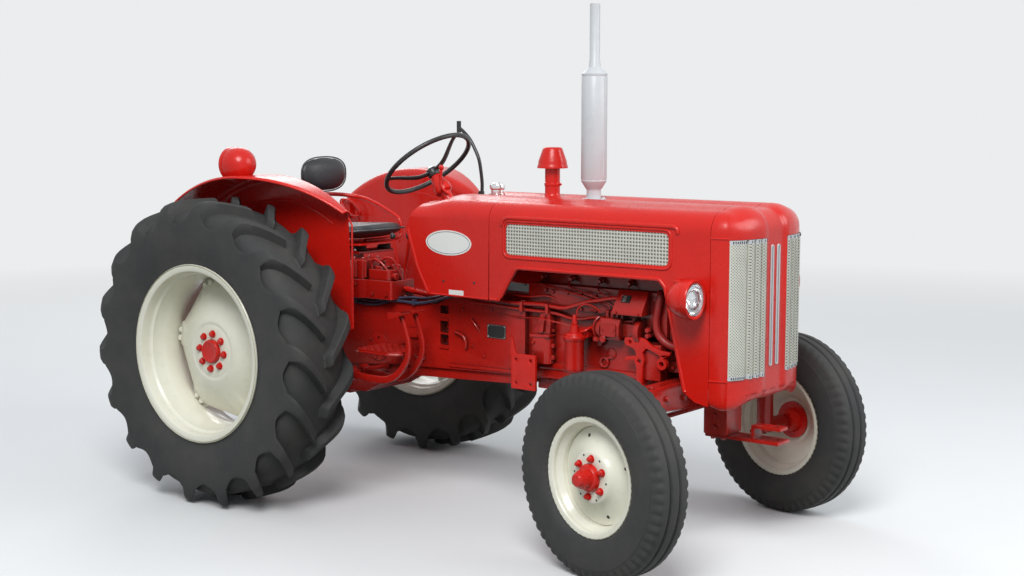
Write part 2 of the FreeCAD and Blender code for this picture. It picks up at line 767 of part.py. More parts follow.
front_tyre = shaped("front_tyre", front_tyre_shape())
front_rim = rim("front_rim", S.front_rim_radius, S.front_seat_radius, S.front_well_radius,
                S.front_rim_width, S.front_metal, int(number(S.tyre_facets)))
front_face = S.front_disc_face
front_disc = ring("front_disc", [
    (front_face, 34), (front_face, S.front_hub_radius + 8), (2, S.front_well_radius - 3),
    (-8, S.front_well_radius - 3), (front_face - 6, S.front_hub_radius + 5), (front_face - 6, 34),
], 18)
front_wheel = fuse("front_wheel", front_rim, front_disc)
front_hub_solid = ring("front_hub_solid", [
    (front_face - 66, 0), (front_face - 66, 44), (front_face - 16, 52),
    (front_face - 16, S.front_hub_radius), (front_face - 6, S.front_hub_radius), (front_face - 6, 31),
    (front_face + S.fit_gap, 31), (front_face + S.fit_gap, 50), (front_face + 24, 46),
    (front_face + 24, 36), (front_face + 64, 30), (front_face + 72, 0),
], 12)
front_hub = cut("front_hub", front_hub_solid,
                rod("front_hub_bore", "y", S.spindle_radius + S.shaft_gap, 68, 0, front_face - 66, 0))

AHEAD = BACK + S.wheelbase
front_z = S.front_tyre_radius
reach = S.front_wheel_y - S.kingpin_y
steer = S.steer_angle
turn_left = FreeCAD.Rotation(V(0, 0, 1), number(steer))
front_spots = {
    "left": (AHEAD - reach * sine(steer), S.kingpin_y + reach * cosine(steer)),
    "right": (AHEAD + reach * sine(steer), -S.kingpin_y - reach * cosine(steer)),
}
for side in ("left", "right"):
    spot_x, spot_y = front_spots[side]
    for piece, source in (("tyre", front_tyre), ("rim", front_wheel), ("hub", front_hub)):
        label = piece + "_front_" + side
        if side == "right":
            source = mirrored(label + "_source", source)
        node(carried(label, source, spot_x, spot_y, front_z, turn_left), label)

# steering knuckles, each made about its kingpin and then turned
arm_tip = S.arm_length
knuckle = fuse(
    "knuckle",
    rod("kingpin", "z", S.kingpin_radius, S.kingpin_top - S.kingpin_bottom, 0, 0, S.kingpin_bottom),
    boss("kingpin_cap", "z", 28, 14, 0, 0, S.kingpin_top - 14, 8),
    boss("knuckle_boss", "z", 34, S.arm_z + 18 - S.kingpin_bottom, 0, 0, S.kingpin_bottom, 8),
    boss("spindle", "y", S.spindle_radius, reach + front_face - 2, 0, 0, front_z, 12),
    boss("spindle_root", "y", 32, reach + front_face - 70, 0, 0, front_z, 8),
    box("steering_arm", -arm_tip, 0, -17, 17, S.arm_z - 9, S.arm_z + 9),
    boss("steering_arm_eye", "z", 24, 18, -arm_tip, 0, S.arm_z - 9, 8),
    boss("steering_arm_pin", "z", 9, 44, -arm_tip, 0, S.arm_z - 44, 8),
)
knuckle_mirror = mirrored("knuckle_mirror", knuckle)
node(carried("knuckle_left", knuckle, AHEAD, S.kingpin_y, 0, turn_left), "knuckle_left")
node(carried("knuckle_right", knuckle_mirror, AHEAD, -S.kingpin_y, 0, turn_left), "knuckle_right")

# tie rod between the steering arms
tie_x = AHEAD - arm_tip * cosine(steer)
tie_y = -arm_tip * sine(steer)
tie_z = S.arm_z - 30
tie_half = S.kingpin_y
tie_eyes = []
for side, sign in (("left", 1), ("right", -1)):
    tie_eyes.append(boss("tie_eye_" + side, "z", 20, 22, tie_x, sign * tie_half + tie_y, tie_z - 11, 8))
tie_bar = boss("tie_bar", "y", 12, 2 * tie_half, tie_x, tie_y - tie_half,
               tie_z, 6)
tie_bores = []
for side, sign in (("left", 1), ("right", -1)):
    make = rod if side == "left" else bore
    tie_bores.append(make("tie_bore_" + side, "z", 9 + S.shaft_gap, 60, tie_x,
                          sign * tie_half + tie_y, tie_z - 30))
node(cut("tie_rod", fuse("tie_rod_solid", tie_bar, *tie_eyes), *tie_bores), "tie_rod")

# front axle beam with kingpin sleeves and the centre pivot
beam_points = [
    (0, S.beam_top - S.beam_height), (S.kingpin_y - 20, S.beam_top - S.beam_end_height),
    (S.kingpin_y - 20, S.beam_top), (-S.kingpin_y + 20, S.beam_top),
    (-S.kingpin_y + 20, S.beam_top - S.beam_end_height),
]
beam_bar = slab("beam_bar", "yz", beam_points, AHEAD - S.beam_depth / 2, S.beam_depth)
beam_parts = [beam_bar]
beam_holes = [bore("beam_pivot_hole", "x", S.pivot_radius + S.fit_gap, S.beam_depth + 20,
                  AHEAD - S.beam_depth / 2 - 10, 0, S.beam_top - S.beam_height / 2)]
sleeve_low = S.arm_z + 18 + 2
for side, sign in (("left", 1), ("right", -1)):
    beam_parts.append(boss("beam_sleeve_" + side, "z", S.beam_sleeve, S.kingpin_top - 16 - sleeve_low,
                          AHEAD, sign * S.kingpin_y, sleeve_low))
    beam_holes.append(bore("beam_bore_" + side, "z", S.kingpin_radius + S.shaft_gap, 400,
                          AHEAD, sign * S.kingpin_y, 400))
node(cut("front_axle_beam", fuse("beam_solid", *beam_parts), *beam_holes), "front_axle_beam")

# front bolster that carries the radiator, the axle pivot and the tow plates
bolster_top = S.beam_top + 62
ear_gap = S.beam_depth / 2 + 2
bolster = fuse(
    "front_bolster",
    box("bolster_deck", BACK + S.engine_front, BACK + S.nose_seam + 45, -145, 145, S.beam_top + 22, bolster_top),
    box("bolster_rear_ear", BACK + S.engine_front, AHEAD - ear_gap, -75, 75,
        S.beam_top - S.beam_height - 10, S.beam_top + 24),
    box("bolster_column", AHEAD + ear_gap, AHEAD + ear_gap + 100, -60, 60, S.tow_z, S.beam_top + 24),
    boss("bolster_pin", "x", S.pivot_radius, 2 * ear_gap + 40, AHEAD - ear_gap - 20, 0,
         S.beam_top - S.beam_height / 2, 12),
)
node(bolster, "front_bolster")

tow_back = AHEAD + ear_gap
upper_low = S.tow_z + S.tow_gap
tow_solid = fuse(
    "tow_solid",
    box("tow_lower", tow_back, BACK + S.tow_front, -48, 48, S.tow_z - S.tow_plate, S.tow_z),
    box("tow_riser", BACK + S.tow_front - 125, BACK + S.tow_front - 110, -30, 30,
        S.tow_z - 1, upper_low + S.tow_plate),
    box("tow_upper", BACK + S.tow_front - 125, BACK + S.tow_front, -30, 30, upper_low,
        upper_low + S.tow_plate),
)
node(cut("front_tow_plates", tow_solid,
         rod("tow_hole", "z", S.tow_bore, 120, BACK + S.tow_front - 34, 0, S.tow_z - 40)),
     "front_tow_plates")

# gearbox, final drive and clutch housing
half = S.gearbox_half
gear_points = [
    (BACK + S.gearbox_rear, S.gearbox_bottom + 60), (BACK + S.gearbox_rear + 60, S.gearbox_bottom),
    (BACK + 330, S.gearbox_bottom), (BACK + 520, S.clutch_bottom - 30),
    (BACK + S.clutch_front, S.clutch_bottom), (BACK + S.clutch_front, S.clutch_top),
    (BACK + S.gearbox_front, S.clutch_top), (BACK + S.gearbox_front, S.deck_top),
    (BACK + S.gearbox_rear, S.deck_top),
]
gear_solid = slab("gear_solid", "xz", gear_points, -half, 2 * half)
proud, deep = S.flange_proud, S.flange_depth
gear_parts = [gear_solid]
for name, along, low, high in (
        ("gear_flange", S.gearbox_front, S.clutch_bottom, S.clutch_top),
        ("clutch_flange", S.clutch_front - deep / 2, S.clutch_bottom, S.clutch_top)):
    gear_parts.append(box(name, BACK + along - deep / 2, BACK + along + deep / 2,
                          -half - proud, half + proud, low - proud, high + proud))
gear_parts.append(box("lift_housing", BACK + S.gearbox_rear, BACK + S.lift_front,
                      -S.lift_half, S.lift_half, S.deck_top - 5, S.lift_top))
pockets = []
for index in range(3):
    for side, sign in (("left", 1), ("right", -1)):
        low = S.deck_top - 60 - 62 * index
        y_outer = sign * (half + 1)
        y_inner = sign * (half - 26)
        first, last = (y_inner, y_outer) if sign > 0 else (y_outer, y_inner)
        pockets.append(box("pocket_" + side + str(index), BACK + S.gearbox_front - 62,
                           BACK + S.gearbox_front - 20, first, last, low, low + 44))
pin_reach = S.link_pivot_y + 24 - half
for side, start in (("left", half), ("right", -half - pin_reach)):
    gear_parts.append(boss("link_pin_" + side, "y", S.link_pin, pin_reach, BACK + S.link_pivot_x,
                           start, S.link_pivot_z, 12))
gear_holes = [
    bore("lift_shaft_bore", "y", 24 + S.shaft_gap, 2 * S.lift_half + 20, BACK + S.lift_x,
        -S.lift_half - 10, S.lift_z),
]
node(cut("gearbox_housing", fuse("gearbox_body", *gear_parts), *pockets, *gear_holes), "gearbox_housing")

# top link bracket on the rear cover
ear_back = BACK + S.gearbox_rear - S.top_link_run
ear_half = S.top_link_gap / 2
bracket_parts = [box("top_link_base", BACK + S.gearbox_rear - 12, BACK + S.gearbox_rear, -70, 70,
                     S.top_link_z - 52, S.top_link_z + 52)]
for side, low in (("left", ear_half), ("right", -ear_half - 12)):
    ear_points = [(BACK + S.gearbox_rear - 11, S.top_link_z + 42)]
    ear_points += bend(ear_back, S.top_link_z, 22, 90, 270, 4)
    ear_points.append((BACK + S.gearbox_rear - 11, S.top_link_z - 42))
    bracket_parts.append(slab("top_link_ear_" + side, "xz", ear_points, low, 12))
node(cut("top_link_bracket", fuse("top_link_solid", *bracket_parts),
         rod("top_link_hole", "y", S.top_link_bore, S.top_link_gap + 60, ear_back, -ear_half - 30,
             S.top_link_z)),
     "top_link_bracket")

# hydraulic control with its hand lever beside the seat
control_x = BACK + S.control_rear
control = fuse(
    "hydraulic_control",
    box("control_base", control_x, control_x + 250, -235, -60, S.deck_top, S.deck_top + 120),
    box("control_tower", control_x + 40, control_x + 170, -225, -95, S.deck_top + 119, S.control_top),
    slab("control_quadrant", "xz", bend(control_x + 105, S.control_top, 64, 0, 180, 5), -190, 8),
    bar("control_lever", [(control_x + 105, -200, S.control_top - 6), (control_x + 128, -208, S.control_top + 70),
                          (control_x + 150, -226, S.control_top + 126)], 7, 6),
)
node(control, "hydraulic_control")

# side mounting plates at the joint between clutch housing and engine
plate_x = BACK + S.plate_rear
plate_holes = []
for name, part, level in (("rear_low", 0.2, 0.17), ("front_low", 0.8, 0.17), ("rear_high", 0.2, 0.83),
                          ("front_high", 0.8, 0.83)):
    plate_holes.append(boss("plate_hole_" + name, "y", S.plate_bore, 60, plate_x + S.plate_length * part,
                            S.plate_y - 40, S.plate_low + S.plate_height * level, 6))
side_plate = cut(
    "side_plate",
    fuse("side_plate_solid",
         box("plate_sheet", plate_x, plate_x + S.plate_length, S.plate_y - S.plate_metal, S.plate_y,
             S.plate_low, S.plate_low + S.plate_height),
         box("plate_arm", BACK + S.clutch_front + deep / 2 - 36, BACK + S.clutch_front + deep / 2,
             S.gearbox_half + proud, S.plate_y - S.plate_metal + 1, S.plate_low + 44,
             S.plate_low + S.plate_height - 44)),
    *plate_holes)
node(together("side_plates", side_plate, mirrored("side_plate_right", side_plate)), "side_plates")

# rear axle housings
trumpets = []
for side, sign in (("left", 1), ("right", -1)):
    inner = S.gearbox_half
    length = S.trumpet_end - inner
    start = inner if sign > 0 else -S.trumpet_end
    wide = boss("trumpet_flange_" + side, "y", S.trumpet_flange + 30, 24, BACK,
               inner if sign > 0 else -inner - 24, rear_z, 12)
    body_rod = boss("trumpet_tube_" + side, "y", S.trumpet_radius, length, BACK, start, rear_z, 12)
    end = boss("trumpet_end_" + side, "y", S.trumpet_flange, 26, BACK,
              S.trumpet_end - 26 if sign > 0 else -S.trumpet_end, rear_z, 12)
    seat = bore("trumpet_bore_" + side, "y", S.rear_shaft_radius + S.shaft_gap, 70, BACK,
                S.trumpet_end - 52 if sign > 0 else -S.trumpet_end - 18, rear_z, 14)
    trumpets.append(cut("trumpet_" + side, fuse("trumpet_solid_" + side, wide, body_rod, end), seat))
node(together("rear_axle_housings", *trumpets), "rear_axle_housings")

radiator_x = BACK + S.radiator_x

# engine: castings as blocks; names, then X from the block's rear, Y and Z
CASTINGS = (
    # name, rear, front, right, left, low, high
    ("sump", 20, 625, -110, 110, S.sump_bottom, S.engine_bottom + 1),
    ("cylinder_head", 30, 635, -105, 105, S.engine_top - 1, S.head_top),
    ("pushrod_cover", 120, 560, -162, -149, 890, 965),
    ("oil_gallery", 60, 600, -158, -149, 640, 668),
    ("pump_mount", 350, 380, -176, -149, 760, 880),
    ("bracket_foot", 575, 660, -186, -149, 650, 790),
)
block_rear = BACK + S.clutch_front
block_parts = [box("block", block_rear, BACK + S.engine_front, -S.engine_half, S.engine_half,
                   S.engine_bottom, S.engine_top)]
for name, rear, front, right, left, low, high in CASTINGS:
    block_parts.append(box(name, block_rear + rear, block_rear + front, right, left, low, high))
rocker_points = [(-70, S.head_top - 1), (70, S.head_top - 1)]
rocker_points += bend(38, S.rocker_top - 32, 32, 0, 90, 3) + bend(-38, S.rocker_top - 32, 32, 90, 180, 3)
block_parts.append(slab("rocker_cover", "yz", rocker_points, block_rear + 60,
                        S.engine_front - S.clutch_front - 120))
cover_low = bolster_top + S.fit_gap
front_cover = [(-120, cover_low), (120, cover_low), (128, 860), (60, S.engine_top - 6),
               (-60, S.engine_top - 6), (-128, 860)]
block_parts.append(slab("front_cover", "yz", front_cover, BACK + S.engine_front - 1, 22))
node(fuse("engine_block", *block_parts), "engine_block")

filter_x = BACK + S.filter_x
node(fuse("fuel_filter",
          boss("filter_bowl", "z", 40, 190, filter_x, -S.filter_y, 660),
          boss("filter_head", "z", 48, 36, filter_x, -S.filter_y, 848),
          box("filter_arm", filter_x - 26, filter_x + 26, -S.filter_y, -S.engine_half, 855, 880)),
     "fuel_filter")

# injection pump with four pipes up to the head
pump_x, pump_out = BACK + S.pump_rear, S.pump_out
pump_section = [
    (-pump_out, S.pump_low + 24), (-pump_out + 18, S.pump_low), (-S.engine_half - 30, S.pump_low),
    (-S.engine_half - 30, S.pump_low + 130), (-pump_out, S.pump_low + 86),
]
pump_parts = [
    slab("pump_body", "yz", pump_section, pump_x, S.pump_length),
    box("pump_seat", pump_x + 30, pump_x + 90, -S.engine_half - 31, -S.engine_half - S.fit_gap,
        S.pump_low + 20, S.pump_low + 66),
    boss("pump_drive", "x", 34, 24, pump_x + S.pump_length - 1, -S.engine_half - 36, S.pump_low + 46, 10),
]
for index in range(4):
    pipe_x = pump_x + 24 + 46 * index
    pump_parts.append(bar("pump_pipe" + str(index), [
        (pipe_x, -pump_out + 30, S.pump_low + 90), (pipe_x, -pump_out + 30, S.pump_low + 190),
        (pipe_x - 10, -S.engine_half - 16, S.engine_top + 18), (pipe_x - 10, -S.engine_half + 30, S.engine_top + 30),
    ], 5, 4))
node(fuse("injection_pump", *pump_parts), "injection_pump")

# inlet and exhaust manifold on the left
manifold_y = S.engine_half - 45 + S.fit_gap
manifold_parts = [box("manifold_log", block_rear + 110, block_rear + 560, manifold_y + 40, manifold_y + 95, 990, 1045)]
for index in range(4):
    runner_x = block_rear + 120 + 130 * index
    manifold_parts.append(box("manifold_runner" + str(index), runner_x, runner_x + 40, manifold_y,
                              manifold_y + 41, 1000, 1035))
node(fuse("manifold", *manifold_parts), "manifold")

# lower coolant hose
hose_start = BACK + S.engine_front + 21 + S.fit_gap
hose_end = radiator_x - S.fit_gap
hose = bar("coolant_hose", [
    (hose_start, -98, 850), (hose_start + 22, -98, 850), (hose_start + 42, -136, 806),
    (hose_end - 20, -142, 796), (hose_end, -142, 796),
], 17, 8)
node(hose, "coolant_hose")

# radiator
node(fuse("radiator",
          box("radiator_core", radiator_x, radiator_x + 60, -225, 225, bolster_top,
              S.radiator_top - 75),
          box("radiator_tank", radiator_x - 10, radiator_x + 80, -230, 230, S.radiator_top - 77,
              S.radiator_top)),
     "radiator")


# hood sheet metal
def hood_section(inset, low):
    """The hood across: upright sides, round corners and two crests with a channel between."""
    right = [(S.hood_half - inset, low)]
    right += bend(S.hood_half - S.hood_corner, S.hood_shoulder - S.hood_corner, S.hood_corner - inset, 0, 90, 4)
    right += [(S.crest_y, S.hood_top - inset), (S.channel_half, S.hood_channel - inset)]
    return right + [(-across, up) for across, up in reversed(right)]


def hood_length(name, start, end, low):
    """A length of the hood as a hollow skin, open at its ends and bottom."""
    outer = slab(name + "_outer", "yz", hood_section(0, low), start, end - start)
    inner = slab(name + "_inner", "yz", hood_section(S.sheet_metal, low - 10), start - 5,
                 end - start + 10)
    return cut(name + "_skin", outer, inner)


width = S.hood_half + 10
bonnet_start = BACK + S.cowl_seam + S.seam_gap / 2
bonnet_end = BACK + S.nose_seam - S.seam_gap / 2
bonnet_skin = hood_length("bonnet", bonnet_start, bonnet_end, S.nose_low + 28)
opening_points = [
    (BACK + S.cowl_seam - 40, S.nose_low - 20), (BACK + S.opening_toe, S.nose_low - 20),
    (BACK + S.opening_toe, S.nose_low + 56), (BACK + S.opening_front + 14, S.opening_top - 40),
    (BACK + S.opening_front - 26, S.opening_top, 34), (BACK + S.opening_rear, S.opening_top),
    (BACK + S.opening_rear - 90, S.cowl_low), (BACK + S.cowl_seam - 40, S.cowl_low),
]
engine_opening = slab("engine_opening", "xz", opening_points, -width, 2 * width)
vent_holes = box("vent_holes", BACK + S.vent_rear, BACK + S.vent_front, -width, width,
                 S.vent_low, S.vent_high)
hood_holes = [
    boss("exhaust_hole", "z", S.pipe_radius + 9, 100, BACK + S.exhaust_x, 0, S.hood_top - 60),
    boss("cleaner_hole", "z", S.cleaner_pipe + 4, 100, BACK + S.cleaner_x, 0, S.hood_top - 60),
]
bonnet_cut = cut("bonnet_cut", bonnet_skin, engine_opening, vent_holes, *hood_holes)
bonnet_brace = box("bonnet_brace", BACK + S.radiator_x + 20, BACK + S.radiator_x + 50,
                   -S.hood_half + 2, S.hood_half - 2, S.radiator_top, S.radiator_top + 6)
node(fuse("bonnet", bonnet_cut, bonnet_brace), "bonnet")

# side vents: louvred panels, nine ribs from bottom to top
vent_ribs = 9
vent_low = S.vent_low + S.fit_gap
vent_tall = S.vent_high - S.fit_gap - vent_low
louvres = [(S.hood_half - 5, vent_low)]
for index in range(vent_ribs):
    for share, out in ((0.0, 3), (0.25, 1), (0.75, 1), (1.0, 3)):
        if share < 1 or index == vent_ribs - 1:
            louvres.append((S.hood_half - out, vent_low + vent_tall * ((index + share) / vent_ribs)))
louvres.append((S.hood_half - 5, vent_low + vent_tall))
vent = slab("vent_left", "yz", louvres, BACK + S.vent_rear + S.fit_gap,
            S.vent_front - S.vent_rear - 2 * S.fit_gap)
node(together("side_vents", vent, mirrored("vent_right", vent)), "side_vents")

cowl_skin = hood_length("cowl", BACK + S.cowl_rear_waist - 20, BACK + S.cowl_seam - S.seam_gap / 2,
                        S.cowl_low)
cowl_cut_points = [
    (BACK + 600, S.cowl_low - 20), (BACK + S.cowl_rear_low, S.cowl_low - 20),
    (BACK + S.cowl_rear_low, S.cowl_low), (BACK + S.cowl_rear_waist + 55, S.cowl_low + 107),
    (BACK + S.cowl_rear_waist, S.cowl_low + 265), (BACK + S.cowl_rear_top, S.hood_top - 32),
    (BACK + S.cowl_rear_top + 6, S.hood_top + 20), (BACK + 600, S.hood_top + 20),
]
cowl_cutter = slab("cowl_cutter", "xz", cowl_cut_points, -width, 2 * width)
dash_x = BACK + S.gearbox_front + S.flange_depth / 2 + 1
dash_wall = slab("dash_wall", "yz", hood_section(S.sheet_metal - 0.5, S.cowl_low), dash_x, 6)
dash_foot = box("dash_foot", dash_x, dash_x + 6, -S.gearbox_half + 10, S.gearbox_half - 10,
                S.clutch_top, S.cowl_low + 2)
filler_hole = boss("filler_hole", "z", S.filler_radius - 4, 100, BACK + S.filler_x, 0, S.hood_top - 60)
cowl_solid = fuse("cowl_solid", cut("cowl_trimmed", cowl_skin, cowl_cutter), dash_wall, dash_foot)
node(cut("rear_cowl", cowl_solid, filler_hole), "rear_cowl")


# nose: what a plan outline, a side outline and the hood's section share, made hollow
def nose_line(across, inset):
    """How far forward the nose reaches at a distance from the centre line."""
    share = across / S.grille_half
    return BACK + S.nose_front - inset - (S.nose_front - S.nose_edge) * share * share


def nose_block(name, inset, start):
    corner = bend(BACK + S.nose_edge - 40, S.nose_corner - S.hood_half, S.nose_corner - inset, -90, -15, 3)
    front = [(nose_line(S.grille_half * share, inset), S.grille_half * share)
             for share in (-0.66, -0.33, 0, 0.33, 0.66)]
    plan = [(BACK + start, inset - S.hood_half)] + corner + front
    plan += [(along, -across) for along, across in reversed(corner)] + [(BACK + start, S.hood_half - inset)]
    plan_slab = slab(name + "_plan", "xy", plan, S.nose_low - 10, S.hood_top - S.nose_low + 40)
    profile = [
        (BACK + start, S.nose_low + 30 + inset), (BACK + S.nose_seam - 20, S.nose_low + 24 + inset),
    ]
    profile += bend(BACK + S.nose_front - S.nose_chin, S.nose_low + S.nose_chin, S.nose_chin - inset, -90, 0, 3)
    profile += bend(BACK + S.nose_front - S.nose_brow, S.hood_top - S.nose_brow, S.nose_brow - inset, 0, 90, 4)
    profile.append((BACK + start, S.hood_top - inset))
    side_slab = slab(name + "_side", "xz", profile, -width, 2 * width)
    section = slab(name + "_section", "yz", hood_section(inset, S.nose_low - 10), BACK + start,
                   S.nose_front - start + 40)
    half_strip = S.channel_half + 12 + inset
    strip = box(name + "_strip", BACK + S.nose_front - S.column_deep - inset, BACK + S.nose_front + 40,
                -half_strip, half_strip, S.nose_low + S.nose_chin - inset, S.hood_top - S.nose_brow + 40 + inset)
    return cut(name, common(name + "_whole", plan_slab, side_slab, section), strip)


nose_start = S.nose_seam + S.seam_gap / 2
nose_outer = nose_block("nose_outer", 0 * S.sheet_metal, nose_start)
nose_inner = nose_block("nose_inner", 1 * S.sheet_metal, nose_start - 20)
grille_hole_left = box("grille_hole_left", BACK + S.nose_edge - 30, BACK + S.nose_front + 20,
                       S.column_half, S.grille_half - 4, S.grille_low, S.grille_high)
slot_left = box("slot_left", BACK + S.nose_front - 40, BACK + S.nose_front + 20, S.slot_inner, S.slot_outer,
                S.grille_low + S.slot_inset, S.grille_high - S.slot_inset)
nose_skin = cut("nose_skin", nose_outer, nose_inner, grille_hole_left, mirrored("grille_hole_right", grille_hole_left),
                slot_left, mirrored("slot_right", slot_left))
nose_brace = box("nose_brace", BACK + S.nose_seam + 15, BACK + S.nose_seam + 40, -S.hood_half + 2,
                 S.hood_half - 2, bolster_top, bolster_top + 6)
node(fuse("nose_cowl", nose_skin, nose_brace), "nose_cowl")

# grille banks: three narrow ribs and one broad one outside, bent to the nose's front
# rib start, rib end, both as shares of the bank from the middle column outward
RIBS = (
    (0.03, 0.13),
    (0.20, 0.30),
    (0.37, 0.47),
    (0.54, 1.00),
)
bank_start = S.column_half + S.fit_gap
bank = S.grille_half - 4 - S.fit_gap - bank_start
ribbed = []
for begin, end in RIBS:
    first, last = bank_start + bank * begin, bank_start + bank * end
    ribbed += [(nose_line(first, S.grille_deep), first), (nose_line(first + 4, 1), first + 4)]
    if end == 1.0:
        ribbed += [(nose_line(first + (last - first) * share, 1), first + (last - first) * share)
                   for share in (0.35, 0.7, 1.0)]
    else:
        ribbed += [(nose_line(last - 4, 1), last - 4), (nose_line(last, S.grille_deep), last)]
for share in (1.0, 0.75, 0.5, 0.25, 0.0):
    across = bank_start + bank * share
    ribbed.append((nose_line(across, S.grille_deep + S.grille_sheet), across))
grille_bank = slab("grille_bank", "xy", ribbed, S.grille_low + S.fit_gap,
                   S.grille_high - S.grille_low - 2 * S.fit_gap)
node(carried("grille_left", grille_bank, 0, 0, 0), "grille_left")
node(mirrored("grille_right", grille_bank), "grille_right")

# exhaust, air pre-cleaner and fuel cap, each standing on the hood
stand = S.hood_channel + S.fit_gap
exhaust = ring("exhaust_turned", [
    (S.rocker_top, 0), (S.rocker_top, S.pipe_radius + 4), (S.muffler_low, S.pipe_radius + 4),
    (S.muffler_low + 14, S.muffler_radius), (S.muffler_high - 14, S.muffler_radius),
    (S.muffler_high, S.pipe_radius), (S.pipe_top, S.pipe_radius), (S.pipe_top, S.pipe_radius - 3),
    (S.muffler_high, S.pipe_radius - 3), (S.muffler_high, 0),
], 12, "z")
node(carried("exhaust", exhaust, BACK + S.exhaust_x, 0, 0), "exhaust")
cleaner = ring("cleaner_turned", [
    (stand - 60, 0), (stand - 60, S.cleaner_pipe), (stand, S.cleaner_pipe),
    (stand, S.cleaner_pipe + 12), (stand + 6, S.cleaner_pipe + 12), (stand + 6, S.cleaner_pipe),
    (S.cleaner_low, S.cleaner_pipe),
    (S.cleaner_low + 6, S.cleaner_radius), (S.cleaner_low + 34, S.cleaner_radius),
    (S.cleaner_high, 14), (S.cleaner_high, 0),
], 12, "z")
node(carried("air_precleaner", cleaner, BACK + S.cleaner_x, 0, 0), "air_precleaner")
cap = ring("cap_turned", [
    (stand - 30, 0), (stand - 30, S.filler_radius - 6), (stand, S.filler_radius - 6),
    (stand, S.filler_radius + 6), (stand + 5, S.filler_radius + 6), (stand + 5, S.filler_radius - 6),
    (stand + 29, S.filler_radius - 6), (stand + 29, S.filler_radius), (stand + 47, S.filler_radius),
    (stand + 55, S.filler_radius - 8), (stand + 55, 0),
], 10, "z")
node(carried("fuel_cap", cap, BACK + S.filler_x, 0, 0), "fuel_cap")

# headlamps
shell_points = [
    (0, S.glass_radius + 1), (0, S.lamp_radius), (-26, S.lamp_radius),
    (-S.lamp_depth + 30, S.lamp_radius - 12), (-S.lamp_depth, 24), (-S.lamp_depth, 0),
    (-S.lamp_depth + 5, 0), (-S.lamp_depth + 34, S.lamp_radius - 18), (-10, S.lamp_radius - 8),
    (-10, S.glass_radius + 1),
]
shell = ring("lamp_shell", shell_points, 12, "x")
glass = ring("lamp_glass", [
    (-9, 0), (-9, S.glass_radius), (-2, S.glass_radius), (4, S.glass_radius * 0.6), (4, 0),
], 12, "x")
stay = box("lamp_stay", -64, -40, -(S.lamp_y - S.hood_half), -S.lamp_radius + 16, -16, 16)
lamp = fuse("lamp", shell, stay)
left_lamp = carried("headlamp_left", lamp, BACK + S.lamp_x, S.lamp_y, S.lamp_z)
node(together("headlamps", left_lamp, mirrored("headlamp_right", left_lamp)), "headlamps")
left_glass = carried("glass_left", glass, BACK + S.lamp_x, S.lamp_y, S.lamp_z)
node(together("headlamp_glasses", left_glass, mirrored("glass_right", left_glass)), "headlamp_glasses")


# fenders: a flat inner sheet and a top sheet with a round shoulder and an outer lip
fender_angle = arc_cosine((S.fender_front - S.fender_x) / S.fender_radius)
fender_rear_angle = 135
fender_flats = 8


def fender_sheet(outer, thick):
    """The top sheet about its arc's centre: across, then how far inside the fender's radius."""
    inner_y, outer_y = number(S.fender_inner), number(S.fender_outer)
    shoulder, edge_wide, lip = number(S.fender_shoulder), number(S.fender_edge), number(S.fender_lip)
    line = [
        (inner_y, shoulder), (inner_y + 0.3 * shoulder, 0.3 * shoulder), (inner_y + shoulder, 0),
        (outer_y - edge_wide, 0), (outer_y, lip), (outer_y, lip + thick), (outer_y - edge_wide, thick),
        (inner_y + shoulder, thick), (inner_y + 0.3 * shoulder + 0.7 * thick, 0.3 * shoulder + 0.7 * thick),
        (inner_y + thick, shoulder),
    ]
    profile = [(across, outer - deep) for across, deep in line]
    return sweep_shape(profile, number(fender_angle), fender_rear_angle, fender_flats)


fender_centre = V(number(BACK + S.fender_x), 0, number(S.fender_z))
fender_top = shaped("fender_top", fender_sheet(number(S.fender_radius), number(S.fender_metal)))
fender_top.Placement = FreeCAD.Placement(fender_centre, FreeCAD.Rotation())
sheet_radius = S.fender_radius - S.fender_shoulder + 1.5
side_points = [(BACK + S.fender_front, S.fender_low)]
side_points += bend(BACK + S.fender_x, S.fender_z, sheet_radius, fender_angle, fender_rear_angle, fender_flats)
side_points += [(BACK + S.fender_x - S.fender_radius * 0.62, S.fender_low + 60),
                (BACK + S.fender_x - S.fender_radius * 0.54, S.fender_low)]
fender_side = slab("fender_side", "xz", side_points, S.fender_inner, S.fender_metal)
taper_low, taper_tall = S.fender_low, S.fender_radius + S.fender_z
fender_front_cut = slab("fender_taper", "xy", [
    (BACK + S.fender_x, S.fender_outer), (BACK + S.fender_front + 60, S.fender_inner + 24),
    (BACK + S.fender_front + 60, S.fender_outer + 60), (BACK + S.fender_x, S.fender_outer + 60),
], taper_low, taper_tall)
fender_stay = box("fender_stay", BACK - 60, BACK + 60, S.fender_inner - 20, S.fender_inner + 1,
                  rear_z, S.fender_low + 60)
fender_saddle = boss("fender_saddle", "y", S.trumpet_radius + S.fit_gap, 60, BACK,
                     S.fender_inner - 40, rear_z, 12)
fender = cut("fender", fuse("fender_solid", cut("fender_trimmed", fender_top, fender_front_cut), fender_side,
                            fender_stay), fender_saddle)
node(carried("fender_left", fender, 0, 0, 0), "fender_left")
node(mirrored("fender_right", fender), "fender_right")


def fender_seat(name, middle, wide):
    """What stands on a fender is trimmed to a fitted clearance above its top sheet."""
    reach_out = number(S.fender_radius + S.fit_gap)
    flat = [(middle - wide, 0), (middle - wide, reach_out), (middle + wide, reach_out), (middle + wide, 0)]
    item = shaped(name, sweep_shape(flat, number(fender_angle), fender_rear_angle, fender_flats))
    item.Placement = FreeCAD.Placement(fender_centre, FreeCAD.Rotation())
    return item


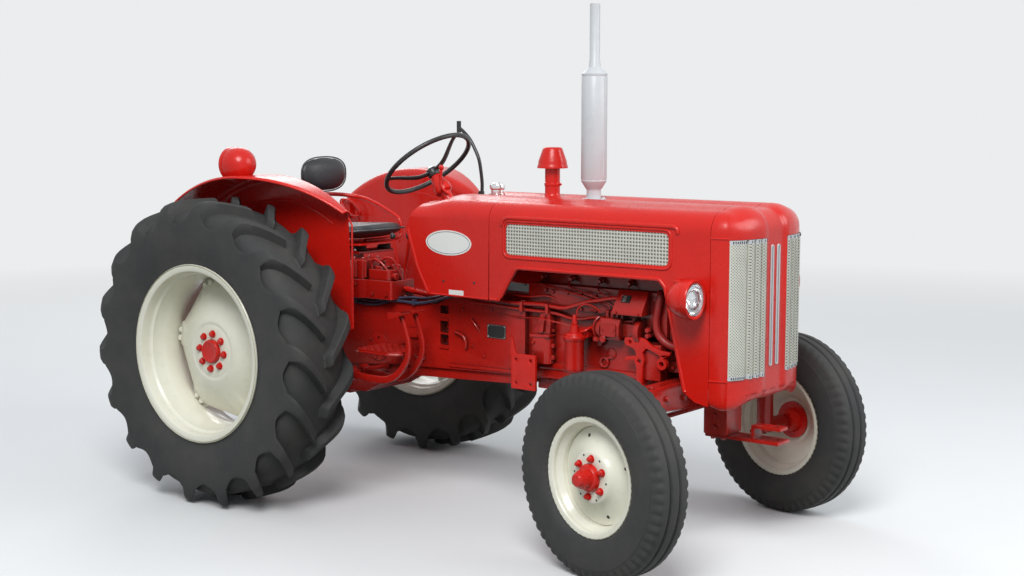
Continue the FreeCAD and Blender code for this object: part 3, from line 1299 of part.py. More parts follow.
# work lamp on the right fender
work_lamp_x, work_lamp_y = BACK + 19, -600
work_top = S.fender_z + S.fender_radius
work = ring("work_lamp_turned", [
    (-16, 0), (-16, 18), (34, 18), (40, 62), (78, 74), (84, 60), (112, 40), (120, 0),
], 12, "z")
work_solid = carried("work_lamp_solid", work, work_lamp_x, work_lamp_y, work_top)
node(cut("work_lamp", work_solid, fender_seat("work_lamp_seat", work_lamp_y, 100)), "work_lamp")

# mirror arm on the left fender
mirror_x = BACK + S.fender_front - 24
mirror_foot = S.mirror_y + 14
mirror_solid = fuse(
    "mirror_solid",
    bar("mirror_bar", [
        (mirror_x, mirror_foot, 1264), (mirror_x + 5, mirror_foot, 1340), (mirror_x, S.mirror_y, 1452),
        (mirror_x - 52, S.mirror_y, 1544), (mirror_x - 119, S.mirror_y, 1599),
    ], S.mirror_radius, 8),
    boss("mirror_socket", "z", 15, 44, mirror_x, mirror_foot, 1266, 8),
)
node(cut("mirror_arm", mirror_solid, fender_seat("mirror_seat", number(mirror_foot), 60)), "mirror_arm")

# seat
seat_x = BACK + S.seat_x
cushion = slab("cushion_slab", "xy", rounded_box(S.seat_length / 2, S.seat_width / 2, 90, 4), 0, S.seat_thick)
node(carried("seat_cushion", cushion, seat_x, 0, S.seat_low), "seat_cushion")
backrest = slab("backrest_slab", "yz", rounded_box(S.back_width / 2, S.back_height / 2, 60, 3), 0, S.back_thick)
node(carried("seat_backrest", backrest, BACK + S.back_x - S.back_thick / 2, 0, S.back_z), "seat_backrest")
hoop_x = BACK + S.back_x - S.back_thick / 2 - 14
rail_low = S.seat_low - S.rail_radius - 6
seat_rail = [(seat_x + 40, 140, rail_low), (seat_x + 46, S.rail_y, rail_low), (seat_x + 40, S.rail_y, S.seat_low + 66),
             (seat_x - 170, S.rail_y, 1260), (seat_x - 320, S.rail_y / 2, 1285)]
seat_rail += [(along, -across, up) for along, across, up in reversed(seat_rail)]
seat_frame = fuse(
    "seat_frame",
    bar("seat_rail", seat_rail, S.rail_radius, 6),
    box("seat_pan", seat_x - 150, seat_x + 150, -150, 150, S.seat_low - 24, S.seat_low - S.fit_gap),
    box("seat_post", seat_x - 90, seat_x - 20, -60, 60, S.lift_top, S.seat_low - 9),
    box("back_bar", hoop_x - 8, hoop_x + 13.7, -25, 25, S.seat_low - 8, S.back_z + 20),
    box("back_foot", hoop_x - 8, seat_x - 100, -25, 25, S.seat_low - 10, S.seat_low - S.fit_gap),
)
node(seat_frame, "seat_frame")

# steering column and wheel, made upright at the origin and tilted about Y
tilt = FreeCAD.Rotation(V(0, 1, 0), -number(S.wheel_tilt))
boss_low = -S.wheel_dish - 16
column = ring("column_turned", [
    (-600, 0), (-600, 24), (-150, 24), (-150, 40), (-120, 40), (boss_low - S.fit_gap, 26),
    (boss_low - S.fit_gap, 0),
], 14, "z")
column_solid = carried("column_solid", column, BACK + S.wheel_x, 0, S.wheel_z, tilt)
column_end = box("column_end", dash_x, dash_x + 500, -100, 100, S.clutch_top - 300, S.hood_top)
node(cut("steering_column", column_solid, column_end), "steering_column")
grip = [(along, S.wheel_radius + out) for along, out in bend(0, 0, S.wheel_tube, 0, 288, 4)]
wheel_parts = [
    ring("steering_rim", grip, 20, "z"),
    rod("steering_boss", "z", 28, 40, 0, 0, boss_low),
]
for index in range(3):
    spoke = bar("steering_spoke" + str(index), [(10, 0, -S.wheel_dish), (90, 0, -S.wheel_dish),
                                                (S.wheel_radius, 0, 0)], 8, 4)
    turned_spoke = doc.addObject("Part::Compound", "steering_spoke_turned" + str(index))
    turned_spoke.Links = [spoke]
    turned_spoke.Placement = FreeCAD.Placement(V(0, 0, 0), FreeCAD.Rotation(V(0, 0, 1), 120 * index))
    wheel_parts.append(turned_spoke)
steering = fuse("steering_fused", *wheel_parts)
node(carried("steering_wheel", steering, BACK + S.wheel_x, 0, S.wheel_z, tilt), "steering_wheel")

# foot plates
plate_front = BACK + S.gearbox_front - deep / 2 - S.fit_gap
left_plate = box("foot_plate", BACK + S.step_rear, plate_front, half, S.step_outer,
                 S.step_low, S.step_low + 8)
plates = [left_plate, mirrored("foot_plate_right", left_plate)]
node(together("foot_plates", *plates), "foot_plates")

# pedals: two brakes on the right, the clutch on the left
pedal_parts = []
for name, pedal_y in (("clutch", 330), ("brake_inner", -320), ("brake_outer", -400)):
    arm_points = [(BACK + 470, pedal_y, 560), (BACK + 700, pedal_y, 545), (BACK + 850, pedal_y, 640),
                  (BACK + 850, pedal_y, 800)]
    pedal_arm = bar(name + "_arm", arm_points, 11, 4)
    pad = box(name + "_pad", BACK + 835, BACK + 851, pedal_y - 32, pedal_y + 32, 790, 850)
    pedal_parts.append(fuse(name + "_pedal", pedal_arm, pad))
left_shaft = boss("pedal_shaft_left", "y", 15, 350 - half, BACK + 470, half, 560)
right_shaft = boss("pedal_shaft_right", "y", 15, 420 - half, BACK + 470, -420, 560)
clutch_pedal = fuse("clutch_pedal", pedal_parts[0], left_shaft)
brake_pedals = fuse("brake_pedals", pedal_parts[1], pedal_parts[2], right_shaft)
node(together("pedals", clutch_pedal, brake_pedals), "pedals")

# gear levers
lever_boot = ring_shape([(0, 0), (0, 45), (60, 16), (60, 0)], 12, "z")
lever_bar = bar_shape([(0, 0, 10), (0, 0, 98), (70, -40, 268)], 9, 6)
lever_knob = ring_shape([(-16, 0), (-8, 18), (8, 18), (18, 0)], 10, "z")
lever_knob.translate(V(70, -40, 273))
lever = shaped("gear_lever_shape", lever_boot.fuse([lever_bar, lever_knob]))
node(carried("gear_lever", lever, BACK + 430, 0, S.deck_top), "gear_lever")

# rear linkage
lift_shaft = rod("lift_shaft", "y", 24, 2 * S.lift_tip_y + 24, BACK + S.lift_x, -S.lift_tip_y - 12, S.lift_z)
arm_shapes = []
for side, sign in (("left", 1), ("right", -1)):
    arm_outline = bend(BACK + S.lift_tip_x, S.lift_tip_z, 24, 90, 270, 4)
    arm_outline += bend(BACK + S.lift_x, S.lift_z, 38, -90, 90, 4)
    arm_shapes.append(slab("lift_arm_" + side, "xz", arm_outline, sign * S.lift_tip_y - 12, 24))
pin_holes = [bore("lift_pin_holes", "y", 11 + S.shaft_gap, 2 * S.lift_tip_y + 80, BACK + S.lift_tip_x,
                 -S.lift_tip_y - 40, S.lift_tip_z)]
node(cut("lift_arms", fuse("lift_arms_solid", lift_shaft, *arm_shapes), *pin_holes), "lift_arms")

rod_y = S.lift_tip_y + 12 + 6
along = (S.link_pivot_x - S.rod_foot_x) / (S.link_pivot_x - S.link_end_x)
foot_y = S.link_pivot_y + (S.link_end_y - S.link_pivot_y) * along + S.link_thick / 2 + 19
for side, sign in (("left", 1), ("right", -1)):
    top = V(number(BACK + S.lift_tip_x), sign * number(rod_y + 9), number(S.lift_tip_z))
    foot = V(number(BACK + S.rod_foot_x), sign * number(foot_y), number(S.rod_foot_z))
    stem = bar_shape([top, foot], 13, 6)
    eye = eye_shape(top, 24, 18, 8)
    pin = Part.makeCylinder(11, 44, V(top.x, sign * number(S.lift_tip_y) - 22 + sign * 8, top.z), V(0, 1, 0))
    foot_eye = eye_shape(foot, 26, 16, 8)
    solid = stem.fuse([eye, pin, foot_eye]).removeSplitter()
    node(shaped("lift_rod_" + side, solid), "lift_rod_" + side)

for side, sign in (("left", 1), ("right", -1)):
    front = V(number(BACK + S.link_pivot_x), sign * number(S.link_pivot_y), number(S.link_pivot_z))
    rear = V(number(BACK + S.link_end_x), sign * number(S.link_end_y), number(S.link_end_z))
    thick, tall = number(S.link_thick), number(S.link_height)
    low_points = []
    for point in (front, rear):
        low_points.append([point + V(0, -thick / 2, -tall / 2), point + V(0, thick / 2, -tall / 2),
                           point + V(0, thick / 2, tall / 2), point + V(0, -thick / 2, tall / 2)])
    blade = hull_block(low_points)
    ball = eye_shape(rear, 30, 45, 8)
    front_eye = eye_shape(front, 32, 30, 8)
    hole = Part.makeCylinder(number(S.link_bore), 60, rear - V(0, 30, 0), V(0, 1, 0))
    pin_hole = Part.makeCylinder(number(S.link_pin + S.shaft_gap), 60, front - V(0, 30, 0), V(0, 1, 0))
    solid = blade.fuse([ball, front_eye]).cut([hole, pin_hole])
    node(shaped("lower_link_" + side, solid), "lower_link_" + side)

# drawbar and power take-off under the final drive
drawbar_solid = box("drawbar_bar", BACK + S.drawbar_pin_x - 40, BACK + 120, -S.drawbar_width / 2,
                    S.drawbar_width / 2, S.drawbar_z - S.drawbar_thick / 2,
                    S.drawbar_z + S.drawbar_thick / 2)
drawbar_hanger = box("drawbar_hanger", BACK - 130, BACK - 90, -90, 90,
                     S.drawbar_z + S.drawbar_thick / 2 - 1, S.gearbox_bottom)
drawbar_post = box("drawbar_post", BACK + 70, BACK + 120, -40, 40,
                   S.drawbar_z + S.drawbar_thick / 2 - 1, S.gearbox_bottom)
node(cut("drawbar", fuse("drawbar_solid", drawbar_solid, drawbar_hanger, drawbar_post),
         rod("drawbar_hole", "z", S.drawbar_bore, 80, BACK + S.drawbar_pin_x, 0, S.drawbar_z - 40)),
     "drawbar")
pto = fuse("pto_shaft",
           rod("pto_bar", "x", S.pto_radius, S.gearbox_rear - S.pto_end, BACK + S.pto_end, 0, S.pto_z),
           boss("pto_collar", "x", 50, 16, BACK + S.gearbox_rear - 16, 0, S.pto_z))
node(pto, "pto_shaft")

doc.recompute()

for item in doc.Objects:
    if "Invalid" in item.State or "Error" in item.State:
        raise SystemExit("failed object " + item.Name)
os.makedirs("parts", exist_ok=True)
for label, item in nodes:
    shape = item.Shape
    if shape.isNull() or not shape.isValid() or not shape.Solids:
        raise SystemExit("bad shape " + label)
    shape.exportStep("parts/" + label + ".step")
    box_now = shape.BoundBox
    print(f"{label:22s} solids {len(shape.Solids)} X {box_now.XMin:.0f} {box_now.XMax:.0f} "
          f"Y {box_now.YMin:.0f} {box_now.YMax:.0f} Z {box_now.ZMin:.1f} {box_now.ZMax:.0f}")
print(len(nodes), "nodes")
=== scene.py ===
import bpy
import bmesh
import json
import math
from mathutils import Matrix, Vector, noise

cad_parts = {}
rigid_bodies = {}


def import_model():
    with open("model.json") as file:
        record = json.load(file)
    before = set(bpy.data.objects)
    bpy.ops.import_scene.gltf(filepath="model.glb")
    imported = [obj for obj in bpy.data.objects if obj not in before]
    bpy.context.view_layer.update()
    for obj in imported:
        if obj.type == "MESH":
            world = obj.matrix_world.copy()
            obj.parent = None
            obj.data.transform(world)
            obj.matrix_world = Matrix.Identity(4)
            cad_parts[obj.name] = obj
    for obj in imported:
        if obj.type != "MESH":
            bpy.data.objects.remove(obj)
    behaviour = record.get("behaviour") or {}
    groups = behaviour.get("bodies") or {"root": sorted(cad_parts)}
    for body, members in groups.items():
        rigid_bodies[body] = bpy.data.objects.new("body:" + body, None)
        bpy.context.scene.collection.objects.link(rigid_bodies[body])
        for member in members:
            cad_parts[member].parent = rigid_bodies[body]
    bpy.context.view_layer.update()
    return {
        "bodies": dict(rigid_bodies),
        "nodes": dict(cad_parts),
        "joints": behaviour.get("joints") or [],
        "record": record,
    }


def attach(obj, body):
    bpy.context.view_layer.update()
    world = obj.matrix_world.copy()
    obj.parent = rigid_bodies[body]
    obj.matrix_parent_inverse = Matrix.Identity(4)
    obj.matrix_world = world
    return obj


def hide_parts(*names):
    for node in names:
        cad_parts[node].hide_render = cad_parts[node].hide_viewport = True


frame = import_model()
scene = bpy.context.scene
scene.view_settings.view_transform = "Standard"

# All lengths are metres. X points forward, Y to the tractor's left, Z up.
# Driving places, taken from the frame's own boxes where it has them.
AXLE_X = -0.780
REAR_Z = 0.655


# camera at the photograph's viewing angle
CAMERA_AT = Vector((4.242, -5.165, 1.687))
CAMERA_YAW = math.radians(127.64)
CAMERA_PITCH = math.radians(-6.59)
CAMERA_ROLL = math.radians(0.066)
CAMERA_LENS = 54.42


def add_camera():
    data = bpy.data.cameras.new("photo_camera")
    data.lens = CAMERA_LENS
    data.sensor_width = 36.0
    data.clip_end = 100.0
    camera = bpy.data.objects.new("photo_camera", data)
    scene.collection.objects.link(camera)
    level = math.cos(CAMERA_PITCH)
    look = Vector((level * math.cos(CAMERA_YAW), level * math.sin(CAMERA_YAW), math.sin(CAMERA_PITCH)))
    right = look.cross(Vector((0, 0, 1))).normalized()
    up = right.cross(look)
    turned_right = math.cos(CAMERA_ROLL) * right + math.sin(CAMERA_ROLL) * up
    turned_up = -math.sin(CAMERA_ROLL) * right + math.cos(CAMERA_ROLL) * up
    basis = Matrix((turned_right, turned_up, -look)).transposed().to_4x4()
    camera.matrix_world = Matrix.Translation(CAMERA_AT) @ basis
    scene.camera = camera


# studio: a pale floor, a pale world and three soft lamps
def add_lamp(name, place, target, size, power):
    data = bpy.data.lights.new(name, "AREA")
    data.shape = "DISK"
    data.size = size
    data.energy = power
    lamp = bpy.data.objects.new(name, data)
    scene.collection.objects.link(lamp)
    lamp.location = place
    lamp.rotation_euler = (Vector(target) - Vector(place)).to_track_quat("-Z", "Y").to_euler()


def add_studio():
    add_camera()
    centre = (0.2, 0.0, 0.8)
    add_lamp("key_lamp", (3.5, -5.5, 6.5), centre, 4.0, 560)
    add_lamp("fill_lamp", (6.5, 3.0, 4.0), centre, 4.0, 190)
    add_lamp("rim_lamp", (-6.0, 4.5, 5.0), centre, 4.0, 130)
    world = bpy.data.worlds.new("studio_world")
    world.use_nodes = True
    nodes, links = world.node_tree.nodes, world.node_tree.links
    nodes.clear()
    out = nodes.new("ShaderNodeOutputWorld")
    light = nodes.new("ShaderNodeBackground")
    light.inputs["Color"].default_value = (0.86, 0.93, 1.0, 1)
    light.inputs["Strength"].default_value = 0.55
    seen = nodes.new("ShaderNodeBackground")
    seen.inputs["Color"].default_value = (0.93, 0.94, 0.95, 1)
    seen.inputs["Strength"].default_value = 0.9
    mix = nodes.new("ShaderNodeMixShader")
    path = nodes.new("ShaderNodeLightPath")
    either = nodes.new("ShaderNodeMath")
    either.operation = "MAXIMUM"
    links.new(path.outputs["Is Camera Ray"], either.inputs[0])
    links.new(path.outputs["Is Glossy Ray"], either.inputs[1])
    links.new(either.outputs[0], mix.inputs["Fac"])
    links.new(light.outputs[0], mix.inputs[1])
    links.new(seen.outputs[0], mix.inputs[2])
    links.new(mix.outputs[0], out.inputs["Surface"])
    scene.world = world
    bpy.ops.mesh.primitive_plane_add(size=60, location=(0, 0, 0))
    floor = bpy.context.object
    floor.name = "studio_floor"
    floor.data.materials.append(floor_material())


# materials
def new_material(name):
    material = bpy.data.materials.new(name)
    material.use_nodes = True
    tree = material.node_tree
    shader = tree.nodes["Principled BSDF"]
    return material, tree, shader


def add_noise(tree, scale, detail=4.0, roughness=0.6, stretch=None):
    coords = tree.nodes.new("ShaderNodeTexCoord")
    texture = tree.nodes.new("ShaderNodeTexNoise")
    texture.inputs["Scale"].default_value = scale
    texture.inputs["Detail"].default_value = detail
    texture.inputs["Roughness"].default_value = roughness
    if stretch:
        mapping = tree.nodes.new("ShaderNodeMapping")
        mapping.inputs["Scale"].default_value = stretch
        tree.links.new(coords.outputs["Object"], mapping.inputs["Vector"])
        tree.links.new(mapping.outputs["Vector"], texture.inputs["Vector"])
    else:
        tree.links.new(coords.outputs["Object"], texture.inputs["Vector"])
    return texture


def add_ramp(tree, source, stops):
    ramp = tree.nodes.new("ShaderNodeValToRGB")
    ramp.color_ramp.elements[0].position = stops[0][0]
    ramp.color_ramp.elements[0].color = (*stops[0][1], 1)
    ramp.color_ramp.elements[1].position = stops[-1][0]
    ramp.color_ramp.elements[1].color = (*stops[-1][1], 1)
    for position, colour in stops[1:-1]:
        element = ramp.color_ramp.elements.new(position)
        element.color = (*colour, 1)
    tree.links.new(source, ramp.inputs["Fac"])
    return ramp.outputs["Color"]


def mix_colours(tree, factor, low, high):
    mix = tree.nodes.new("ShaderNodeMix")
    mix.data_type = "RGBA"
    tree.links.new(factor, mix.inputs["Factor"])
    for socket, colour in ((mix.inputs["A"], low), (mix.inputs["B"], high)):
        if isinstance(colour, tuple):
            socket.default_value = (*colour, 1)
        else:
            tree.links.new(colour, socket)
    return mix.outputs["Result"]


def add_bump(tree, shader, height, strength, distance):
    bump = tree.nodes.new("ShaderNodeBump")
    bump.inputs["Strength"].default_value = strength
    bump.inputs["Distance"].default_value = distance
    tree.links.new(height, bump.inputs["Height"])
    tree.links.new(bump.outputs["Normal"], shader.inputs["Normal"])


def range_of(tree, source, low, high, to_low, to_high):
    node = tree.nodes.new("ShaderNodeMapRange")
    for name, value in (("From Min", low), ("From Max", high), ("To Min", to_low), ("To Max", to_high)):
        node.inputs[name].default_value = value
    tree.links.new(source, node.inputs["Value"])
    return node.outputs["Result"]


def paint_material(name, colour, shade, grime_and_shade, roughness=0.24, coat=0.5, grain=0.12, corners=0.0):
    """Enamel with slow colour change, faint grime, painted shade darkening its corners and creases, and an orange peel
    surface.
    """
    material, tree, shader = new_material(name)
    cloud = add_noise(tree, 2.2, 5.0)
    tint = mix_colours(tree, range_of(tree, cloud.outputs["Fac"], 0.35, 0.7, 0, 1), colour, shade)
    speck = add_noise(tree, 28.0, 6.0, 0.7)
    dirt = range_of(tree, speck.outputs["Fac"], 0.54, 0.84, 0.0, 0.28)
    painted = mix_colours(tree, dirt, tint, grime_and_shade)
    # painted shade: ambient occlusion pulls the colour of corners and creases towards a dark tone made from the grime
    # colour
    if corners:
        open_sky = tree.nodes.new("ShaderNodeAmbientOcclusion")
        open_sky.samples = 6
        open_sky.inputs["Distance"].default_value = corners
        painted_corner_shade = range_of(tree, open_sky.outputs["AO"], 0.30, 0.92, 0.85, 0.0)
        painted = mix_colours(tree, painted_corner_shade, painted, tuple(part * 0.4 for part in grime_and_shade))
    tree.links.new(painted, shader.inputs["Base Color"])
    tree.links.new(range_of(tree, speck.outputs["Fac"], 0.3, 0.8, roughness - 0.05, roughness + 0.16),
                   shader.inputs["Roughness"])
    peel = add_noise(tree, 240.0, 2.0)
    add_bump(tree, shader, peel.outputs["Fac"], grain, 0.0006)
    shader.inputs["Specular IOR Level"].default_value = 0.32
    shader.inputs["Coat Weight"].default_value = coat
    shader.inputs["Coat Roughness"].default_value = 0.12
    return material


def rubber_material(name, colour, dust):
    """Weathered rubber: dull, with dry dust in patches and fine scuffs."""
    material, tree, shader = new_material(name)
    patch = add_noise(tree, 5.0, 6.0, 0.65)
    fine = add_noise(tree, 60.0, 5.0, 0.7)
    amount = range_of(tree, patch.outputs["Fac"], 0.40, 0.80, 0.10, 0.5)
    base = mix_colours(tree, range_of(tree, fine.outputs["Fac"], 0.3, 0.75, 0, 1), colour,
                       tuple(part * 1.5 for part in colour))
    tree.links.new(mix_colours(tree, amount, base, dust), shader.inputs["Base Color"])
    tree.links.new(range_of(tree, fine.outputs["Fac"], 0.3, 0.8, 0.62, 0.85), shader.inputs["Roughness"])
    add_bump(tree, shader, fine.outputs["Fac"], 0.35, 0.0015)
    shader.inputs["Specular IOR Level"].default_value = 0.35
    return material


def metal_material(name, colour, roughness, streak=(1, 1, 1)):
    """Bare or plated metal with fine streaks in its gloss."""
    material, tree, shader = new_material(name)
    shader.inputs["Metallic"].default_value = 1.0
    fine = add_noise(tree, 45.0, 5.0, 0.6, streak)
    dull = tuple(part * 0.72 for part in colour)
    tree.links.new(mix_colours(tree, range_of(tree, fine.outputs["Fac"], 0.35, 0.75, 0, 1), colour, dull),
                   shader.inputs["Base Color"])
    tree.links.new(range_of(tree, fine.outputs["Fac"], 0.3, 0.8, roughness, roughness + 0.18),
                   shader.inputs["Roughness"])
    add_bump(tree, shader, fine.outputs["Fac"], 0.12, 0.0008)
    return material


def plain_material(name, colour, roughness, grain_scale=120.0, grain=0.2):
    """Moulded or covered surface with a fine grain."""
    material, tree, shader = new_material(name)
    fine = add_noise(tree, grain_scale, 4.0, 0.6)
    bright = tuple(min(1.0, part * 1.35 + 0.004) for part in colour)
    tree.links.new(mix_colours(tree, range_of(tree, fine.outputs["Fac"], 0.35, 0.7, 0, 1), colour, bright),
                   shader.inputs["Base Color"])
    tree.links.new(range_of(tree, fine.outputs["Fac"], 0.3, 0.8, roughness - 0.06, roughness + 0.1),
                   shader.inputs["Roughness"])
    add_bump(tree, shader, fine.outputs["Fac"], grain, 0.0008)
    return material


def mesh_material(name, colour, hole, per_metre, size, turned=45, facing=(0.02, 1, 1)):
    """Perforated sheet: rows of small holes in painted metal, painted as dark spots of painted shade rather than cut.
    """
    material, tree, shader = new_material(name)
    coords = tree.nodes.new("ShaderNodeTexCoord")
    turn = tree.nodes.new("ShaderNodeMapping")
    turn.inputs["Rotation"].default_value = (math.radians(turned), 0, 0)
    turn.inputs["Scale"].default_value = facing
    tree.links.new(coords.outputs["Object"], turn.inputs["Vector"])
    cells = tree.nodes.new("ShaderNodeTexVoronoi")
    cells.inputs["Scale"].default_value = per_metre
    cells.inputs["Randomness"].default_value = 0.0
    tree.links.new(turn.outputs["Vector"], cells.inputs["Vector"])
    metal = range_of(tree, cells.outputs["Distance"], size - 0.05, size + 0.05, 0, 1)
    cloud = add_noise(tree, 9.0, 4.0)
    faded = tuple(part * 0.86 for part in colour)
    paint = mix_colours(tree, range_of(tree, cloud.outputs["Fac"], 0.35, 0.7, 0, 1), colour, faded)
    # the holes are painted shade: the hole colour is laid where the cells' centres are, and the metal is not cut
    tree.links.new(mix_colours(tree, metal, hole, paint), shader.inputs["Base Color"])
    add_bump(tree, shader, metal, 0.6, 0.002)
    shader.inputs["Roughness"].default_value = 0.42
    shader.inputs["Metallic"].default_value = 0.15
    return material


def glass_material(name):
    material, tree, shader = new_material(name)
    ribs = tree.nodes.new("ShaderNodeTexWave")
    coords = tree.nodes.new("ShaderNodeTexCoord")
    ribs.bands_direction = "Y"
    ribs.inputs["Scale"].default_value = 32.0
    tree.links.new(coords.outputs["Object"], ribs.inputs["Vector"])
    add_bump(tree, shader, ribs.outputs["Fac"], 0.08, 0.0005)
    shader.inputs["Base Color"].default_value = (0.92, 0.95, 0.96, 1)
    shader.inputs["Roughness"].default_value = 0.04
    shader.inputs["Transmission Weight"].default_value = 0.92
    return material


def floor_material():
    """Pale, fading into the backdrop; to diffuse light it is as dark as grass."""
    material, tree, shader = new_material("studio_floor")
    cloud = add_noise(tree, 1.4, 3.0)
    path = tree.nodes.new("ShaderNodeLightPath")
    seen_by = path.outputs["Is Camera Ray"]
    for ray in ("Is Glossy Ray", "Is Transmission Ray"):
        either = tree.nodes.new("ShaderNodeMath")
        either.operation = "MAXIMUM"
        tree.links.new(seen_by, either.inputs[0])
        tree.links.new(path.outputs[ray], either.inputs[1])
        seen_by = either.outputs[0]
    pale = mix_colours(tree, cloud.outputs["Fac"], (0.76, 0.77, 0.77), (0.80, 0.80, 0.80))
    tree.links.new(mix_colours(tree, seen_by, (0.16, 0.17, 0.14), pale), shader.inputs["Base Color"])
    shader.inputs["Roughness"].default_value = 0.85
    coords = tree.nodes.new("ShaderNodeTexCoord")
    away = tree.nodes.new("ShaderNodeVectorMath")
    away.operation = "LENGTH"
    tree.links.new(coords.outputs["Object"], away.inputs[0])
    fade = range_of(tree, away.outputs["Value"], 3.2, 11.0, 0.0, 1.0)
    seen = tree.nodes.new("ShaderNodeMath")
    seen.operation = "MULTIPLY"
    tree.links.new(fade, seen.inputs[0])
    tree.links.new(seen_by, seen.inputs[1])
    glow = tree.nodes.new("ShaderNodeEmission")
    glow.inputs["Color"].default_value = (0.93, 0.94, 0.95, 1)
    glow.inputs["Strength"].default_value = 0.9
    mix = tree.nodes.new("ShaderNodeMixShader")
    tree.links.new(seen.outputs[0], mix.inputs["Fac"])
    tree.links.new(shader.outputs[0], mix.inputs[1])
    tree.links.new(glow.outputs[0], mix.inputs[2])
    tree.links.new(mix.outputs[0], tree.nodes["Material Output"].inputs["Surface"])
    return material


RED = (0.62, 0.0120, 0.0060)
MATERIALS = {
    "red_paint": paint_material("red_paint", RED, (0.52, 0.010, 0.006), (0.24, 0.022, 0.014), 0.27, 0.12),
    # red_casting's last number turns on painted shade in its corners and creases
    "red_casting": paint_material("red_casting", (0.50, 0.012, 0.007), (0.34, 0.009, 0.006),
                                  (0.07, 0.018, 0.012), 0.27, 0.22, 0.5, 0.09),
    "cream_paint": paint_material("cream_paint", (0.80, 0.785, 0.68), (0.73, 0.71, 0.59), (0.42, 0.38, 0.28),
                                  0.3, 0.35),
    "silver_paint": paint_material("silver_paint", (0.56, 0.58, 0.60), (0.49, 0.51, 0.53),
                                   (0.35, 0.34, 0.32), 0.34, 0.1),
    # each mesh's dark hole colour is painted shade standing in for its openings
    "silver_mesh": mesh_material("silver_mesh", (0.62, 0.62, 0.55), (0.10, 0.095, 0.08), 128, 0.34),
    "vent_mesh": mesh_material("vent_mesh", (0.60, 0.60, 0.54), (0.16, 0.15, 0.12), 74, 0.33, 0, (1, 0, 1)),
    "white_enamel": paint_material("white_enamel", (0.80, 0.80, 0.78), (0.72, 0.72, 0.70),
                                   (0.55, 0.54, 0.5), 0.22, 0.4),
    "black_paint": paint_material("black_paint", (0.02, 0.02, 0.02), (0.03, 0.03, 0.03),
                                  (0.08, 0.07, 0.06), 0.3, 0.3),
    "tyre": rubber_material("tyre", (0.023, 0.024, 0.025), (0.085, 0.079, 0.070)),
    "steel": metal_material("steel", (0.55, 0.54, 0.52), 0.28),
    "chrome": metal_material("chrome", (0.85, 0.86, 0.87), 0.07),
    "black_plastic": plain_material("black_plastic", (0.018, 0.018, 0.019), 0.35),
    "seat_cover": plain_material("seat_cover", (0.017, 0.018, 0.021), 0.42, 260.0, 0.35),
    "rubber": plain_material("rubber", (0.03, 0.03, 0.03), 0.6),
    "seat_piping": plain_material("seat_piping", (0.035, 0.036, 0.04), 0.32),
    "loom": plain_material("loom", (0.030, 0.040, 0.075), 0.42),
    "hose_red": plain_material("hose_red", (0.30, 0.014, 0.012), 0.42),
    "dash_black": plain_material("dash_black", (0.012, 0.012, 0.013), 0.5, 300.0, 0.3),
    "lens": glass_material("lens"),
    # painted shade for openings that are not cut: flat dark patches in the front wheel discs and at the grille's rib
    # ends
    "painted_hole_shade": plain_material("painted_hole_shade", (0.02, 0.018, 0.016), 0.8),
}



